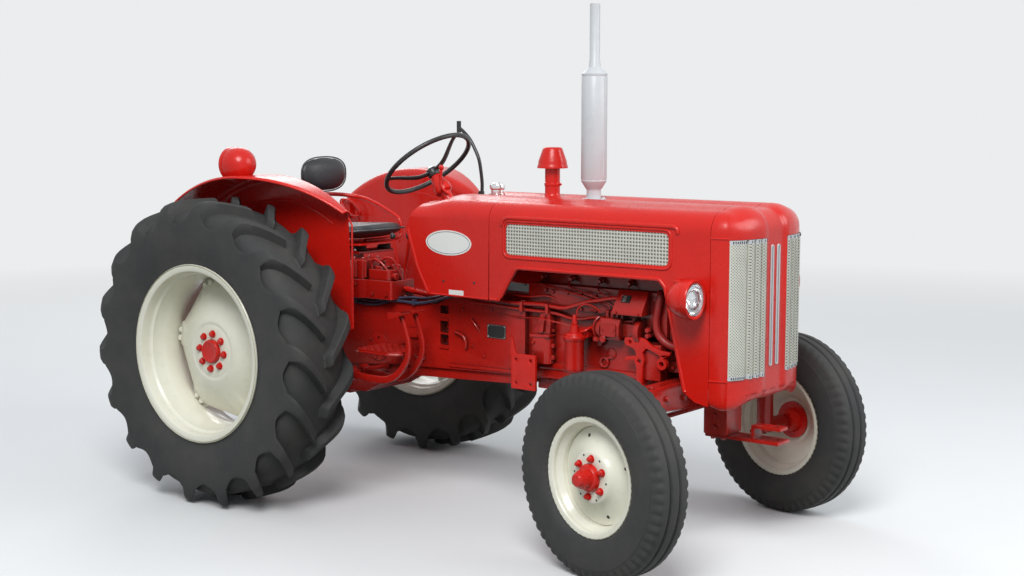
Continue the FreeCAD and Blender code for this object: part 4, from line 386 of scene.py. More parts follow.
# mesh making: a Shape gathers faces of several materials, and becomes one piece
class Shape:
    def __init__(self):
        self.bm = bmesh.new()
        self.materials = []
        self.index = 0

    def use(self, material):
        """Faces made from now on have this material."""
        if material not in self.materials:
            self.materials.append(material)
        self.index = self.materials.index(material)
        return self

    def face(self, corners):
        face = self.bm.faces.new(corners)
        face.material_index = self.index
        face.smooth = True
        return face

    def grid(self, rows, close_rows=False, close_columns=False):
        """Quads over rows of points; each row has as many points."""
        made = [[self.bm.verts.new(point) for point in row] for row in rows]
        row_count, column_count = len(made), len(made[0])
        for r in range(row_count if close_rows else row_count - 1):
            for c in range(column_count if close_columns else column_count - 1):
                after, beside = (r + 1) % row_count, (c + 1) % column_count
                self.face((made[r][c], made[r][beside], made[after][beside], made[after][c]))
        return made

    def lathe(self, profile, steps, axis="y", centre=(0, 0, 0), closed=False, start=0.0):
        """Turns (along the axis, radius) points about an axis through the centre."""
        rows = []
        for step in range(steps):
            angle = start + 2 * math.pi * step / steps
            row = []
            for along, radius in profile:
                a, b = radius * math.cos(angle), radius * math.sin(angle)
                point = {"x": (along, a, b), "y": (b, along, a), "z": (a, b, along)}[axis]
                row.append(Vector(point) + Vector(centre))
            rows.append(row)
        self.grid(rows, close_rows=True, close_columns=closed)
        return self

    def prism(self, points, plane, low, high, holes=()):
        """A flat outline, with holes, pushed along the axis that its plane lacks."""
        lay = {"xz": lambda a, b, c: (a, c, b), "yz": lambda a, b, c: (c, a, b),
               "xy": lambda a, b, c: (a, b, c)}[plane]
        edges, loops = [], []
        for loop in (points, *holes):
            ring = [self.bm.verts.new(lay(a, b, low)) for a, b in loop]
            loops.append(ring)
            edges += [self.bm.edges.new((ring[i], ring[(i + 1) % len(ring)])) for i in range(len(ring))]
        filled = bmesh.ops.triangle_fill(self.bm, use_beauty=True, edges=edges)
        faces = [item for item in filled["geom"] if isinstance(item, bmesh.types.BMFace)]
        for face in faces:
            face.material_index = self.index
            face.smooth = True
        pushed = bmesh.ops.extrude_face_region(self.bm, geom=faces, use_keep_orig=True)
        shift = Vector(lay(0, 0, high - low))
        moved = [item for item in pushed["geom"] if isinstance(item, bmesh.types.BMVert)]
        bmesh.ops.translate(self.bm, verts=moved, vec=shift)
        for item in pushed["geom"]:
            if isinstance(item, bmesh.types.BMFace):
                item.material_index = self.index
                item.smooth = True
        for vertex in moved:
            for face in vertex.link_faces:
                face.material_index = self.index
                face.smooth = True
        return self

    def plate(self, points, plane, at, holes=()):
        """A flat outline with holes, one face thick."""
        lay = {"xz": lambda a, b: (a, at, b), "yz": lambda a, b: (at, a, b), "xy": lambda a, b: (a, b, at)}[plane]
        edges = []
        for loop in (points, *holes):
            ring = [self.bm.verts.new(lay(a, b)) for a, b in loop]
            edges += [self.bm.edges.new((ring[i], ring[(i + 1) % len(ring)])) for i in range(len(ring))]
        filled = bmesh.ops.triangle_fill(self.bm, use_beauty=True, edges=edges)
        for item in filled["geom"]:
            if isinstance(item, bmesh.types.BMFace):
                item.material_index = self.index
                item.smooth = True
        return self

    def block(self, low, high):
        (x0, y0, z0), (x1, y1, z1) = low, high
        return self.prism([(x0, y0), (x1, y0), (x1, y1), (x0, y1)], "xy", z0, z1)

    def tube(self, points, radius, sides=10, closed=False, caps=True):
        """A round bar along a path, its section kept square to the path."""
        path = [Vector(point) for point in points]
        count = len(path)
        radii = radius if isinstance(radius, (list, tuple)) else [radius] * count
        side = None
        rows = []
        for i, point in enumerate(path):
            ahead = path[(i + 1) % count] if closed or i + 1 < count else point
            behind = path[i - 1] if closed or i else point
            along = (ahead - behind).normalized()
            if side is None:
                side = along.orthogonal().normalized()
            side = (side - along * side.dot(along)).normalized()
            other = along.cross(side)
            rows.append([point + radii[i] * (math.cos(a) * side + math.sin(a) * other)
                         for a in (2 * math.pi * k / sides for k in range(sides))])
        made = self.grid(rows, close_rows=closed, close_columns=True)
        if caps and not closed:
            self.face(list(reversed(made[0])))
            self.face(made[-1])
        return self

    def rod(self, start, end, radius, sides=20, lip=0.0):
        """A straight round bar with its end edges eased."""
        start, end = Vector(start), Vector(end)
        lip = min(lip, radius * 0.45, (end - start).length * 0.3)
        along = (end - start).normalized()
        if lip <= 0:
            return self.tube([start, end], radius, sides)
        stops = [start, start + along * lip, end - along * lip, end]
        return self.tube(stops, [radius - lip, radius, radius, radius - lip], sides)

    def nut(self, centre, axis, across, thick, sides=6, turn=0.0):
        """A bolt head or nut with a low crown, seated at the centre and pointing along the axis."""
        centre, axis = Vector(centre), Vector(axis).normalized()
        side = axis.orthogonal().normalized()
        other = axis.cross(side)
        rows = []
        for height, reach in ((0.0, 1.0), (thick * 0.75, 1.0), (thick, 0.80)):
            rows.append([centre + axis * height + across / 2 * reach * (math.cos(a) * side + math.sin(a) * other)
                         for a in (turn + 2 * math.pi * k / sides for k in range(sides))])
        made = self.grid(rows, close_columns=True)
        self.face(made[-1])
        return self

    def ball(self, centre, radius, squash_z=1.0, rings=10, sides=20):
        rows = []
        for ring in range(rings + 1):
            polar = math.pi * (ring + 0.001) / (rings + 0.002)
            rows.append([Vector(centre) + Vector((radius * math.sin(polar) * math.cos(a),
                                                  radius * math.sin(polar) * math.sin(a),
                                                  radius * math.cos(polar) * squash_z))
                         for a in (2 * math.pi * k / sides for k in range(sides))])
        self.grid(rows, close_columns=True)
        return self

    def ease(self, width, angle=35, segments=2):
        """Rounds the edges made so far that turn by more than the angle."""
        sharp = [edge for edge in self.bm.edges if len(edge.link_faces) == 2
                 and edge.calc_face_angle(0.0) > math.radians(angle)]
        bmesh.ops.bevel(self.bm, geom=sharp, offset=width, segments=segments, profile=0.7, affect="EDGES",
                        clamp_overlap=False, material=-1)
        for face in self.bm.faces:
            face.smooth = True
        return self

    def mirror(self):
        """Adds the same faces on the other side of the centre line."""
        geometry = list(self.bm.verts) + list(self.bm.edges) + list(self.bm.faces)
        copied = bmesh.ops.duplicate(self.bm, geom=geometry)["geom"]
        vertices = [item for item in copied if isinstance(item, bmesh.types.BMVert)]
        for vertex in vertices:
            vertex.co.y = -vertex.co.y
        bmesh.ops.reverse_faces(self.bm, faces=[item for item in copied if isinstance(item, bmesh.types.BMFace)])
        return self

    def piece(self, name, body, nodes=(), bevel=0.0, segments=2, crease=32, subdivide=0, matrix=None,
              slot=None, weld=0.0, clean=True, thick=0.0):
        """Turns the faces into a piece that rides on a body and stands for the CAD nodes given."""
        if weld:
            bmesh.ops.remove_doubles(self.bm, verts=self.bm.verts, dist=weld)
        if clean:
            bmesh.ops.recalc_face_normals(self.bm, faces=self.bm.faces)
        mesh = bpy.data.meshes.new(name)
        self.bm.to_mesh(mesh)
        self.bm.free()
        for material in self.materials:
            mesh.materials.append(MATERIALS[material])
        thing = bpy.data.objects.new(name, mesh)
        scene.collection.objects.link(thing)
        if thick:
            modifier = thing.modifiers.new("sheet", "SOLIDIFY")
            modifier.thickness = thick
            modifier.offset = -1.0
        if bevel:
            modifier = thing.modifiers.new("edges", "BEVEL")
            modifier.width = bevel
            modifier.segments = segments
            modifier.limit_method = "ANGLE"
            modifier.angle_limit = math.radians(crease)
        if subdivide:
            modifier = thing.modifiers.new("smooth", "SUBSURF")
            modifier.levels = modifier.render_levels = subdivide
        if thing.modifiers:
            bpy.context.view_layer.update()
            depsgraph = bpy.context.evaluated_depsgraph_get()
            final = bpy.data.meshes.new_from_object(thing.evaluated_get(depsgraph), depsgraph=depsgraph)
            final.name = name
            thing.modifiers.clear()
            thing.data = final
        thing.data.polygons.foreach_set("use_smooth", [True] * len(thing.data.polygons))
        thing.data.set_sharp_from_angle(angle=math.radians(crease))
        if matrix is not None:
            thing.data.transform(matrix)
            if matrix.determinant() < 0:
                thing.data.flip_normals()
        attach(thing, body)
        if nodes:
            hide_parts(*nodes)
        return thing


def arc(centre, radius, first, last, steps):
    """Points on an arc, angles in degrees."""
    return [(centre[0] + radius * math.cos(math.radians(first + (last - first) * i / steps)),
             centre[1] + radius * math.sin(math.radians(first + (last - first) * i / steps)))
            for i in range(steps + 1)]


def rounded(points, radius, steps=6):
    """The outline with each corner rounded; a point may carry its own radius as a third number."""
    result = []
    count = len(points)
    for i, point in enumerate(points):
        here = Vector(point[:2])
        size = point[2] if len(point) > 2 else radius
        before, after = Vector(points[i - 1][:2]), Vector(points[(i + 1) % count][:2])
        a, b = (before - here), (after - here)
        size = min(size, 0.49 * a.length / 1.0, 0.49 * b.length / 1.0)
        a.normalize()
        b.normalize()
        half = math.acos(max(-1, min(1, a.dot(b)))) / 2
        if size <= 0 or half > math.radians(88):
            result.append(tuple(here))
            continue
        back = min(size / math.tan(half), 0.49 * (before - here).length, 0.49 * (after - here).length)
        for k in range(steps + 1):
            s = k / steps
            first, last = here + a * back, here + b * back
            result.append(tuple((1 - s) ** 2 * first + 2 * s * (1 - s) * here + s ** 2 * last))
    return result


def curve_points(points, steps=8):
    """A smooth path through the points given."""
    path = [Vector(point) for point in points]
    result = []
    for i in range(len(path) - 1):
        p0 = path[max(i - 1, 0)]
        p1, p2 = path[i], path[i + 1]
        p3 = path[min(i + 2, len(path) - 1)]
        for k in range(steps):
            s = k / steps
            result.append(0.5 * ((2 * p1) + (p2 - p0) * s + (2 * p0 - 5 * p1 + 4 * p2 - p3) * s ** 2
                                 + (3 * p1 - p0 - 3 * p2 + p3) * s ** 3))
    result.append(path[-1])
    return result


def smooth_step(value, low, high):
    s = max(0.0, min(1.0, (value - low) / (high - low)))
    return s * s * (3 - 2 * s)


NODE_FINISH = {
    "tyre": "tyre", "rim": "cream_paint", "hub": "red_paint", "knuckle": "red_casting",
    "lower_link": "red_casting", "lift_rod": "red_casting", "grille": "silver_mesh",
    "bonnet": "red_paint", "rear_cowl": "red_paint", "nose_cowl": "red_paint", "fender": "red_paint",
    "steering_column": "red_paint", "steering_wheel": "black_plastic", "front": "red_casting",
    "gearbox_housing": "red_casting", "rear_axle": "red_casting", "engine_block": "red_casting",
    "fuel_filter": "red_casting", "radiator": "black_paint", "side_vents": "silver_mesh",
    "exhaust": "silver_paint", "air_precleaner": "red_paint", "fuel_cap": "steel",
    "headlamps": "red_paint", "headlamp_glasses": "lens", "work_lamp": "red_paint",
    "seat_cushion": "seat_cover", "seat_backrest": "seat_cover", "seat_frame": "red_paint",
    "foot_plates": "red_casting", "pedals": "red_casting", "gear_lever": "black_plastic",
    "drawbar": "red_casting", "pto_shaft": "steel", "lift_arms": "red_casting", "tie_rod": "red_casting",
    "top_link": "red_casting", "hydraulic_control": "red_casting", "side_plates": "red_paint",
    "injection_pump": "red_casting", "manifold": "red_casting", "coolant_hose": "rubber", "mirror_arm": "black_paint",
}


def finish_of(node):
    """The finish whose key is the longest start of the node's name."""
    keys = [key for key in NODE_FINISH if node.startswith(key)]
    return NODE_FINISH[max(keys, key=len)]


def dress_nodes():
    for name, node in frame["nodes"].items():
        node.data.materials.clear()
        node.data.materials.append(MATERIALS[finish_of(name)])
        node.data.polygons.foreach_set("material_index", [0] * len(node.data.polygons))



# wheels, each made about its own centre with its axle along Y and its outer side at +Y
REAR_Y = 0.705
FRONT_REACH = 0.135
KINGPIN = Vector((AXLE_X + 1.975, 0.515, 0.378))
STEERED = math.radians(-13)
REAR_LUGS = 18
LUG_LAG = math.radians(16.5)


def wheel_matrix(end, side):
    """Where a wheel made about the origin goes; the right side is the left one mirrored and then placed."""
    flip = Matrix.Diagonal((1, 1 if side == "left" else -1, 1, 1))
    sign = 1 if side == "left" else -1
    if end == "rear":
        return Matrix.Translation((AXLE_X, sign * REAR_Y, REAR_Z)) @ flip
    turn = Matrix.Rotation(STEERED, 4, "Z")
    pin = Vector((KINGPIN.x, sign * KINGPIN.y, KINGPIN.z))
    return Matrix.Translation(pin) @ turn @ Matrix.Translation((0, sign * FRONT_REACH, 0)) @ flip


def between(table, s):
    """Linear reading of a table of rows, each row starting with the value that is looked up."""
    if s <= table[0][0]:
        return table[0][1:]
    for low, high in zip(table, table[1:]):
        if s <= high[0]:
            share = (s - low[0]) / (high[0] - low[0])
            return [a + (b - a) * share for a, b in zip(low[1:], high[1:])]
    return table[-1][1:]


# share of the way from the centre to the lug's shoulder end, y and radius of the lug tops and side wall
REAR_TOP = (
    (0.00, 0.000, 0.655), (0.25, 0.045, 0.655), (0.50, 0.092, 0.655), (0.66, 0.122, 0.6535),
    (0.80, 0.145, 0.645), (0.92, 0.163, 0.623), (1.00, 0.1695, 0.588), (1.12, 0.1722, 0.552),
    (1.30, 0.1725, 0.505), (1.50, 0.1680, 0.462), (1.70, 0.158, 0.426), (1.85, 0.149, 0.401),
    (1.93, 0.1445, 0.388), (2.00, 0.1415, 0.366),
)
# the same share, y and radius of the floor between the lugs
REAR_FLOOR = (
    (0.00, 0.000, 0.617), (0.25, 0.045, 0.6165), (0.50, 0.088, 0.613), (0.66, 0.115, 0.605),
    (0.80, 0.136, 0.590), (0.92, 0.151, 0.568), (1.00, 0.158, 0.548), (1.12, 0.164, 0.520),
)
# the same share, half the lug's width as a share of the pitch
LUG_WIDTH = ((0.0, 0.098), (0.12, 0.088), (0.5, 0.092), (0.75, 0.105), (0.92, 0.135), (1.0, 0.17), (1.12, 0.20))


def rear_tyre(side):
    shape = Shape().use("tyre")
    # columns over one pitch: place between lugs (-1 to 1) or over the lug's top, and share of full height
    columns = [("gap", k / 6, 0.0) for k in range(-6, 7)]
    columns += [("wall", 0.35, 0.35), ("wall", 0.8, 0.93), ("lug", -0.86, 1.0), ("lug", -0.4, 1.02),
                ("lug", 0.0, 1.025), ("lug", 0.4, 1.02), ("lug", 0.86, 1.0), ("wall", -0.8, 0.93),
                ("wall", -0.35, 0.35)]
    pitch = 2 * math.pi / REAR_LUGS
    flare = 0.035
    for half in (1, -1):
        shift = 0.0 if half > 0 else 0.5
        rows = []
        for lug in range(REAR_LUGS):
            for kind, place, height in columns:
                column = []
                reach = 1.09 - 0.10 * place * place if kind == "gap" else 0.99
                stops = [0.0, 0.035, 0.065, 0.09, 0.2, 0.32, 0.45, 0.58, 0.70, 0.80, 0.88]
                stops = [s * reach for s in stops] + [reach - 0.035, reach - 0.012, reach + 0.008, reach + 0.035]
                stops += [reach + (2.0 - reach) * k / 11 for k in (1, 2, 3, 4, 5, 6, 7, 8, 9, 10, 11)]
                ending = len(stops) - 11
                for number, s in enumerate(stops):
                    width = between(LUG_WIDTH, s)[0]
                    if kind == "gap":
                        phase = 0.5 - (0.5 - width - flare) * -place
                    elif kind == "wall":
                        edge = width + flare * (1 - abs(place))
                        phase = 1.0 - edge if place > 0 else 1.0 + edge
                    else:
                        phase = 1.0 + width * place
                    lift = height
                    if s < 0.09 * reach:
                        lift = height * (0.0, 0.12, 0.86)[min(number, 2)]
                    if number >= ending - 4:
                        lift = max(lift, (0.0, 0.25, 0.9, 1.0)[min(number - ending + 4, 3)])
                    top, floor = between(REAR_TOP, s), between(REAR_FLOOR, s)
                    if number >= ending:
                        lift, floor = 1.0, top
                    y = floor[0] + (top[0] - floor[0]) * lift
                    radius = min(floor[1] + (top[1] - floor[1]) * lift, 0.655)
                    along = min(s, 1.0)
                    lag = LUG_LAG * (1 - (1 - along) ** 1.25)
                    angle = pitch * (lug + phase - 1.0 + shift) + lag
                    column.append((radius * math.sin(angle), half * y, -radius * math.cos(angle)))
                rows.append(column)
        shape.grid(rows, close_rows=True)
    shape.piece("tyre_tread_rear_" + side, "wheel_rear_" + side, ["tyre_rear_" + side],
                matrix=wheel_matrix("rear", side), crease=38, weld=0.0004)


# y and radius of the front tyre's half section, from the centre rib to the bead
FRONT_SECTION = (
    (0.0, 0.3778), (0.008, 0.3778), (0.0145, 0.3774), (0.0168, 0.3755), (0.0205, 0.3665), (0.0245, 0.3662),
    (0.0288, 0.3748), (0.031, 0.3766), (0.042, 0.3762), (0.055, 0.3748), (0.0625, 0.3728), (0.0668, 0.3695),
    (0.0715, 0.3612), (0.0755, 0.350), (0.0792, 0.3375), (0.0803, 0.3330), (0.0825, 0.3318), (0.0848, 0.318),
    (0.0860, 0.300), (0.0856, 0.280), (0.0835, 0.262), (0.0795, 0.247), (0.0745, 0.2362), (0.0722, 0.2335),
    (0.0690, 0.2285), (0.0640, 0.2245), (0.0590, 0.2232), (0.0575, 0.2215), (0.0572, 0.2050),
)
NOTCHES = 60


def front_tyre(side):
    shape = Shape().use("tyre")
    steps = NOTCHES * 5
    section = list(FRONT_SECTION)[::-1] + [(-y, r) for y, r in FRONT_SECTION[1:]]
    rows = []
    for step in range(steps):
        angle = 2 * math.pi * step / steps
        inside = step % 5 in (1, 2)
        row = []
        for y, radius in section:
            if inside and 0.060 < abs(y) < 0.0760:
                radius -= 0.0045
                y *= 0.965
            row.append((radius * math.sin(angle), y, -radius * math.cos(angle)))
        rows.append(row)
    shape.grid(rows, close_rows=True)
    shape.piece("tyre_tread_front_" + side, "wheel_front_" + side, ["tyre_front_" + side],
                matrix=wheel_matrix("front", side), crease=34)


def mirrored_section(half):
    return list(half) + [(-y, r) for y, r in reversed(half)]


def rear_wheel(side):
    shape = Shape().use("cream_paint")
    face = [(0.1525, 0.3800), (0.1500, 0.3818), (0.1460, 0.3800), (0.1445, 0.3740), (0.1440, 0.3600)]
    back = [(0.1525, 0.3740), (0.1515, 0.3600), (0.1480, 0.3520), (0.1400, 0.3480), (0.1120, 0.3465),
            (0.1060, 0.3450), (0.1000, 0.3400), (0.0960, 0.3360), (0.0700, 0.3330), (0.0450, 0.3240),
            (0.0250, 0.3190), (0.0, 0.3185)]
    outer = [(0.0, 0.3245), (0.0300, 0.3255), (0.0600, 0.3320), (0.0950, 0.3400), (0.1100, 0.3520),
             (0.1400, 0.3550)]
    ring = mirrored_section(outer + face[::-1][0:5])
    inner = [(y, r) for y, r in back]
    loop = ring + [(-y, r) for y, r in inner] + inner[::-1][1:]
    shape.lathe(loop, 96, closed=True)
    lobes = [math.radians(52 + 60 * k) for k in range(6)]
    # share of the way out, y of the outer face; the last rows are the edge
    profile = ((0.051, 0.0500), (0.056, 0.0520), (0.105, 0.0520), (0.112, 0.0500), (0.118, 0.0495),
               (0.124, 0.0515), (0.130, 0.0510), (0.150, 0.0450), (0.190, 0.0290), (0.240, 0.0060),
               (0.285, -0.0190), (0.304, -0.0310), (0.318, -0.0390))
    steps = 144
    rows = []
    for step in range(steps):
        angle = 2 * math.pi * step / steps
        turn = (math.degrees(angle) - 52 + 30) % 60 - 30
        chord = 0.281 / math.cos(math.radians(min(30, 30 - abs(turn))))
        edge = 0.318 if abs(turn) < 9 else max(chord, 0.318 - 0.014 * (abs(turn) - 9))
        row = []
        for radius, y in profile:
            reach = radius if radius < 0.2 else 0.2 + (radius - 0.2) * (edge - 0.2) / 0.118
            sunk = y - (0.010 if radius > 0.3 and abs(turn) < 9 else 0.0)
            row.append((reach * math.cos(angle), sunk, reach * math.sin(angle)))
        for radius, y in reversed(profile):
            reach = radius if radius < 0.2 else 0.2 + (radius - 0.2) * (edge - 0.2) / 0.118
            sunk = y - (0.010 if radius > 0.3 and abs(turn) < 9 else 0.0)
            row.append((reach * math.cos(angle), sunk - 0.008, reach * math.sin(angle)))
        rows.append(row)
    shape.grid(rows, close_rows=True, close_columns=True)
    for angle in lobes:
        out = Vector((math.cos(angle), 0, math.sin(angle)))
        across = Vector((-out.z, 0, out.x))
        for shift in (-0.018, 0.018):
            centre = out * 0.298 + across * shift + Vector((0, -0.036, 0))
            shape.nut(centre, (0, 1, 0), 0.026, 0.012, turn=angle)
        corners = [out * 0.292 + across * 0.034, out * 0.323 + across * 0.040,
                   out * 0.323 - across * 0.040, out * 0.292 - across * 0.034]
        shape.prism([(c.x, c.z) for c in corners], "xz", -0.066, -0.050)
        shape.rod(out * 0.298 + Vector((0, -0.080, 0)), out * 0.298 + Vector((0, -0.048, 0)), 0.014, 10)
    shape.piece("wheel_disc_rear_" + side, "wheel_rear_" + side, ["rim_rear_" + side],
                matrix=wheel_matrix("rear", side), crease=30)
    hub = Shape().use("red_paint")
    hub.lathe([(-0.155, 0.0001), (-0.155, 0.042), (0.021, 0.042), (0.021, 0.100), (0.041, 0.100),
               (0.0415, 0.0500), (0.0640, 0.0500), (0.0690, 0.0470), (0.0700, 0.0420), (0.0675, 0.0360),
               (0.0668, 0.0200), (0.0665, 0.0001)], 40)
    for k in range(8):
        angle = math.radians(84 + 45 * k)
        spot = Vector((0.076 * math.cos(angle), 0.052, 0.076 * math.sin(angle)))
        hub.lathe([(0.0, 0.0001), (0.0, 0.0165), (0.003, 0.0165), (0.0035, 0.0125), (0.0035, 0.0001)], 16,
                  centre=spot)
        hub.nut(spot + Vector((0, 0.003, 0)), (0, 1, 0), 0.0235, 0.013, sides=6, turn=angle)
    hub.piece("wheel_hub_rear_" + side, "wheel_rear_" + side, ["hub_rear_" + side],
              matrix=wheel_matrix("rear", side), crease=30, weld=0.00005)


def front_wheel(side):
    shape = Shape().use("cream_paint")
    outer = [(0.0, 0.1860), (0.0200, 0.1865), (0.0340, 0.1960), (0.0400, 0.2020), (0.0560, 0.2030),
             (0.0570, 0.2060), (0.0580, 0.2160), (0.0600, 0.2200), (0.0625, 0.2215)]
    inner = [(0.0632, 0.2190), (0.0628, 0.2100), (0.0605, 0.2020), (0.0560, 0.1985), (0.0430, 0.1975),
             (0.0370, 0.1925), (0.0240, 0.1820), (0.0, 0.1812)]
    loop = mirrored_section(outer) + [(-y, r) for y, r in inner] + inner[::-1][1:]
    shape.lathe(loop, 84, closed=True)
    profile = [(0.0540, 0.0330), (0.0540, 0.0480), (0.0550, 0.0500), (0.0550, 0.0880), (0.0530, 0.0940),
               (0.0480, 0.0990), (0.0400, 0.1050), (0.0300, 0.1180), (0.0180, 0.1380), (0.0090, 0.1580),
               (0.0060, 0.1700), (0.0050, 0.1790), (0.0000, 0.1815)]
    loop = profile + [(y - 0.005, r) for y, r in reversed(profile)]
    shape.lathe(loop, 84, closed=True)
    # painted shade: the wheel disc's holes are drawn as thin dark discs on its face
    shape.use("painted_hole_shade")
    for k in range(4):
        angle = math.radians(20 + 90 * k)
        spot = Vector((0.150 * math.cos(angle), 0.0125, 0.150 * math.sin(angle)))
        lean = Vector((0.45 * math.cos(angle), 1, 0.45 * math.sin(angle)))
        shape.nut(spot, lean, 0.014, 0.0012, sides=14)
    for k in range(6):
        angle = math.radians(54 + 60 * k)
        spot = Vector((0.084 * math.cos(angle), 0.0548, 0.084 * math.sin(angle)))
        shape.nut(spot, (0, 1, 0), 0.0085, 0.0008, sides=12)
    shape.piece("wheel_disc_front_" + side, "wheel_front_" + side, ["rim_front_" + side],
                matrix=wheel_matrix("front", side), crease=30)
    hub = Shape().use("red_paint")
    hub.lathe([(-0.0120, 0.0001), (-0.0120, 0.0440), (0.0380, 0.0520), (0.0380, 0.0775), (0.0470, 0.0780),
               (0.0480, 0.0320), (0.0560, 0.0320), (0.0560, 0.0520), (0.0600, 0.0520), (0.0700, 0.0490),
               (0.0760, 0.0450), (0.0775, 0.0400), (0.0780, 0.0365), (0.0960, 0.0350), (0.1030, 0.0330),
               (0.1040, 0.0290), (0.1160, 0.0270), (0.1235, 0.0220), (0.1255, 0.0150), (0.1258, 0.0001)], 36)
    for k in range(6):
        angle = math.radians(24 + 60 * k)
        spot = Vector((0.070 * math.cos(angle), 0.0548, 0.070 * math.sin(angle)))
        hub.lathe([(0.0, 0.0001), (0.0, 0.0150), (0.003, 0.0150), (0.0035, 0.0110), (0.0035, 0.0001)], 16,
                  centre=spot)
        hub.nut(spot + Vector((0, 0.003, 0)), (0, 1, 0), 0.0225, 0.012, sides=6, turn=angle)
        hub.rod(spot + Vector((0, 0.012, 0)), spot + Vector((0, 0.022, 0)), 0.0065, 10, lip=0.002)
    hub.piece("wheel_hub_front_" + side, "wheel_front_" + side, ["hub_front_" + side],
              matrix=wheel_matrix("front", side), crease=30, weld=0.00005)



# hood: x forward from the rear axle
HOOD_HALF = 0.285
HOOD_CORNER = 0.078
SIDE_TOP = 1.240
PLATE_TOP = 1.236
COWL_SEAM = 1.141
NOSE_SEAM = 2.170
GRILLE_LOW, GRILLE_HIGH = 0.700, 1.216
GRILLE_OUTER, GRILLE_INNER = 0.270, 0.078
# y and height of the hood's top: a shallow channel between two lobes
TOP_LINE = ((0.0, 1.3195), (0.045, 1.3200), (0.060, 1.3225), (0.078, 1.3285), (0.098, 1.3325), (0.120, 1.3335),
            (0.150, 1.3310), (0.180, 1.3255), (0.207, 1.3180))


def at_axle(points):
    """Points with x from the rear axle, put in the row frame."""
    return [(AXLE_X + point[0], *point[1:]) for point in points]


def top_height(y):
    return between(TOP_LINE, abs(y))[0]


def hood_section():
    """(y, z) from the right side over the top to the left side."""
    right = [(-HOOD_HALF, PLATE_TOP), (-HOOD_HALF, SIDE_TOP)]
    centre = HOOD_HALF - HOOD_CORNER
    for k in range(1, 9):
        angle = math.radians(90 * k / 8)
        right.append((-centre - HOOD_CORNER * math.cos(angle), SIDE_TOP + HOOD_CORNER * math.sin(angle)))
    right += [(-y, z) for y, z in reversed(TOP_LINE[1:-1])]
    return right + [(0.0, TOP_LINE[0][1])] + [(-y, z) for y, z in reversed(right)]


def cowl_rear(z):
    """The cowl's rear edge from the axle, at a height above the plate's top."""
    return 0.7152 + (0.742 - 0.7152) * min(1.0, (z - PLATE_TOP) / (1.303 - PLATE_TOP))


def cowl_drop(x, z):
    """The cowl's top falls away towards the driver."""
    share = smooth_step(0.90 - x, 0.0, 0.158)
    return SIDE_TOP + (z - SIDE_TOP) * (1 - 0.33 * share) if z > SIDE_TOP else z


def bead(shape, points, radius, closed=False, sides=8):
    """A rolled ridge half sunk in the hood's side, on both sides of the tractor."""
    for sign in (-1, 1):
        path = [(AXLE_X + x, sign * (HOOD_HALF - 0.2 * radius), z) for x, z in points]
        shape.tube(path, radius, sides, closed=closed)


BONNET_STATIONS = [1.142 + (2.169 - 1.142) * k / 10 for k in range(11)]
OPENING = [(2.111, 0.610), (2.066, 0.640, 0.015), (1.981, 1.022, 0.03), (1.954, 1.053, 0.03), (1.275, 1.053, 0.03),
           (1.192, 0.915, 0.02)]
VENT = [(1.226, 1.108), (1.990, 1.108), (1.990, 1.231), (1.226, 1.231)]


def bonnet():
    shape = Shape().use("red_paint")
    section = hood_section()
    shape.grid([[(AXLE_X + x, y, z) for y, z in section] for x in BONNET_STATIONS])
    vent = rounded(VENT, 0.024)
    lower = [(2.169, 0.598)] + OPENING + [(1.142, 0.915)]
    outline = [(x, PLATE_TOP) for x in BONNET_STATIONS]
    lower = rounded(lower + [(1.142, 1.1, 0.0), (2.169, 1.1, 0.0)], 0.004)
    outline += [point for point in lower if point[1] < 1.0999]
    for sign in (-1, 1):
        shape.plate(at_axle(outline), "xz", sign * HOOD_HALF, [at_axle(vent)])
    shape.piece("bonnet_skin", "chassis", ["bonnet"], thick=0.003, weld=0.0006, crease=30)
    trim = Shape().use("red_paint")
    edge = rounded([(2.111, 0.610, 0.02), (2.066, 0.640, 0.02), (1.978, 1.020, 0.04), (1.952, 1.050, 0.03),
                    (1.277, 1.050, 0.03), (1.194, 0.918, 0.02), (1.142, 0.915, 0.0)], 0.02)
    lifted = [(x, z + 0.007) for x, z in edge[7:-7]]
    bead(trim, lifted, 0.0085)
    bead(trim, [(1.146, 0.922), (1.185, 0.922)], 0.006)
    frame = rounded([(1.214, 1.096), (2.002, 1.096), (2.002, 1.243), (1.214, 1.243)], 0.034, 8)
    bead(trim, frame, 0.006, closed=True)
    brow = rounded([(1.204, 1.150, 0.0), (1.204, 1.256, 0.04), (2.030, 1.256, 0.035), (2.030, 1.205, 0.0)], 0.035, 8)
    brow = [point for point in brow if point[1] > 1.19]
    bead(trim, brow[1:-1], 0.0095)
    trim.piece("bonnet_beads", "chassis", crease=50)
    mesh = Shape().use("vent_mesh")
    for sign in (-1, 1):
        mesh.prism(at_axle(rounded([(1.222, 1.104), (1.994, 1.104), (1.994, 1.235), (1.222, 1.235)], 0.026)), "xz",
                   sign * 0.2795, sign * 0.2815)
    mesh.piece("vent_mesh", "chassis", ["side_vents"], slot="silver_mesh")


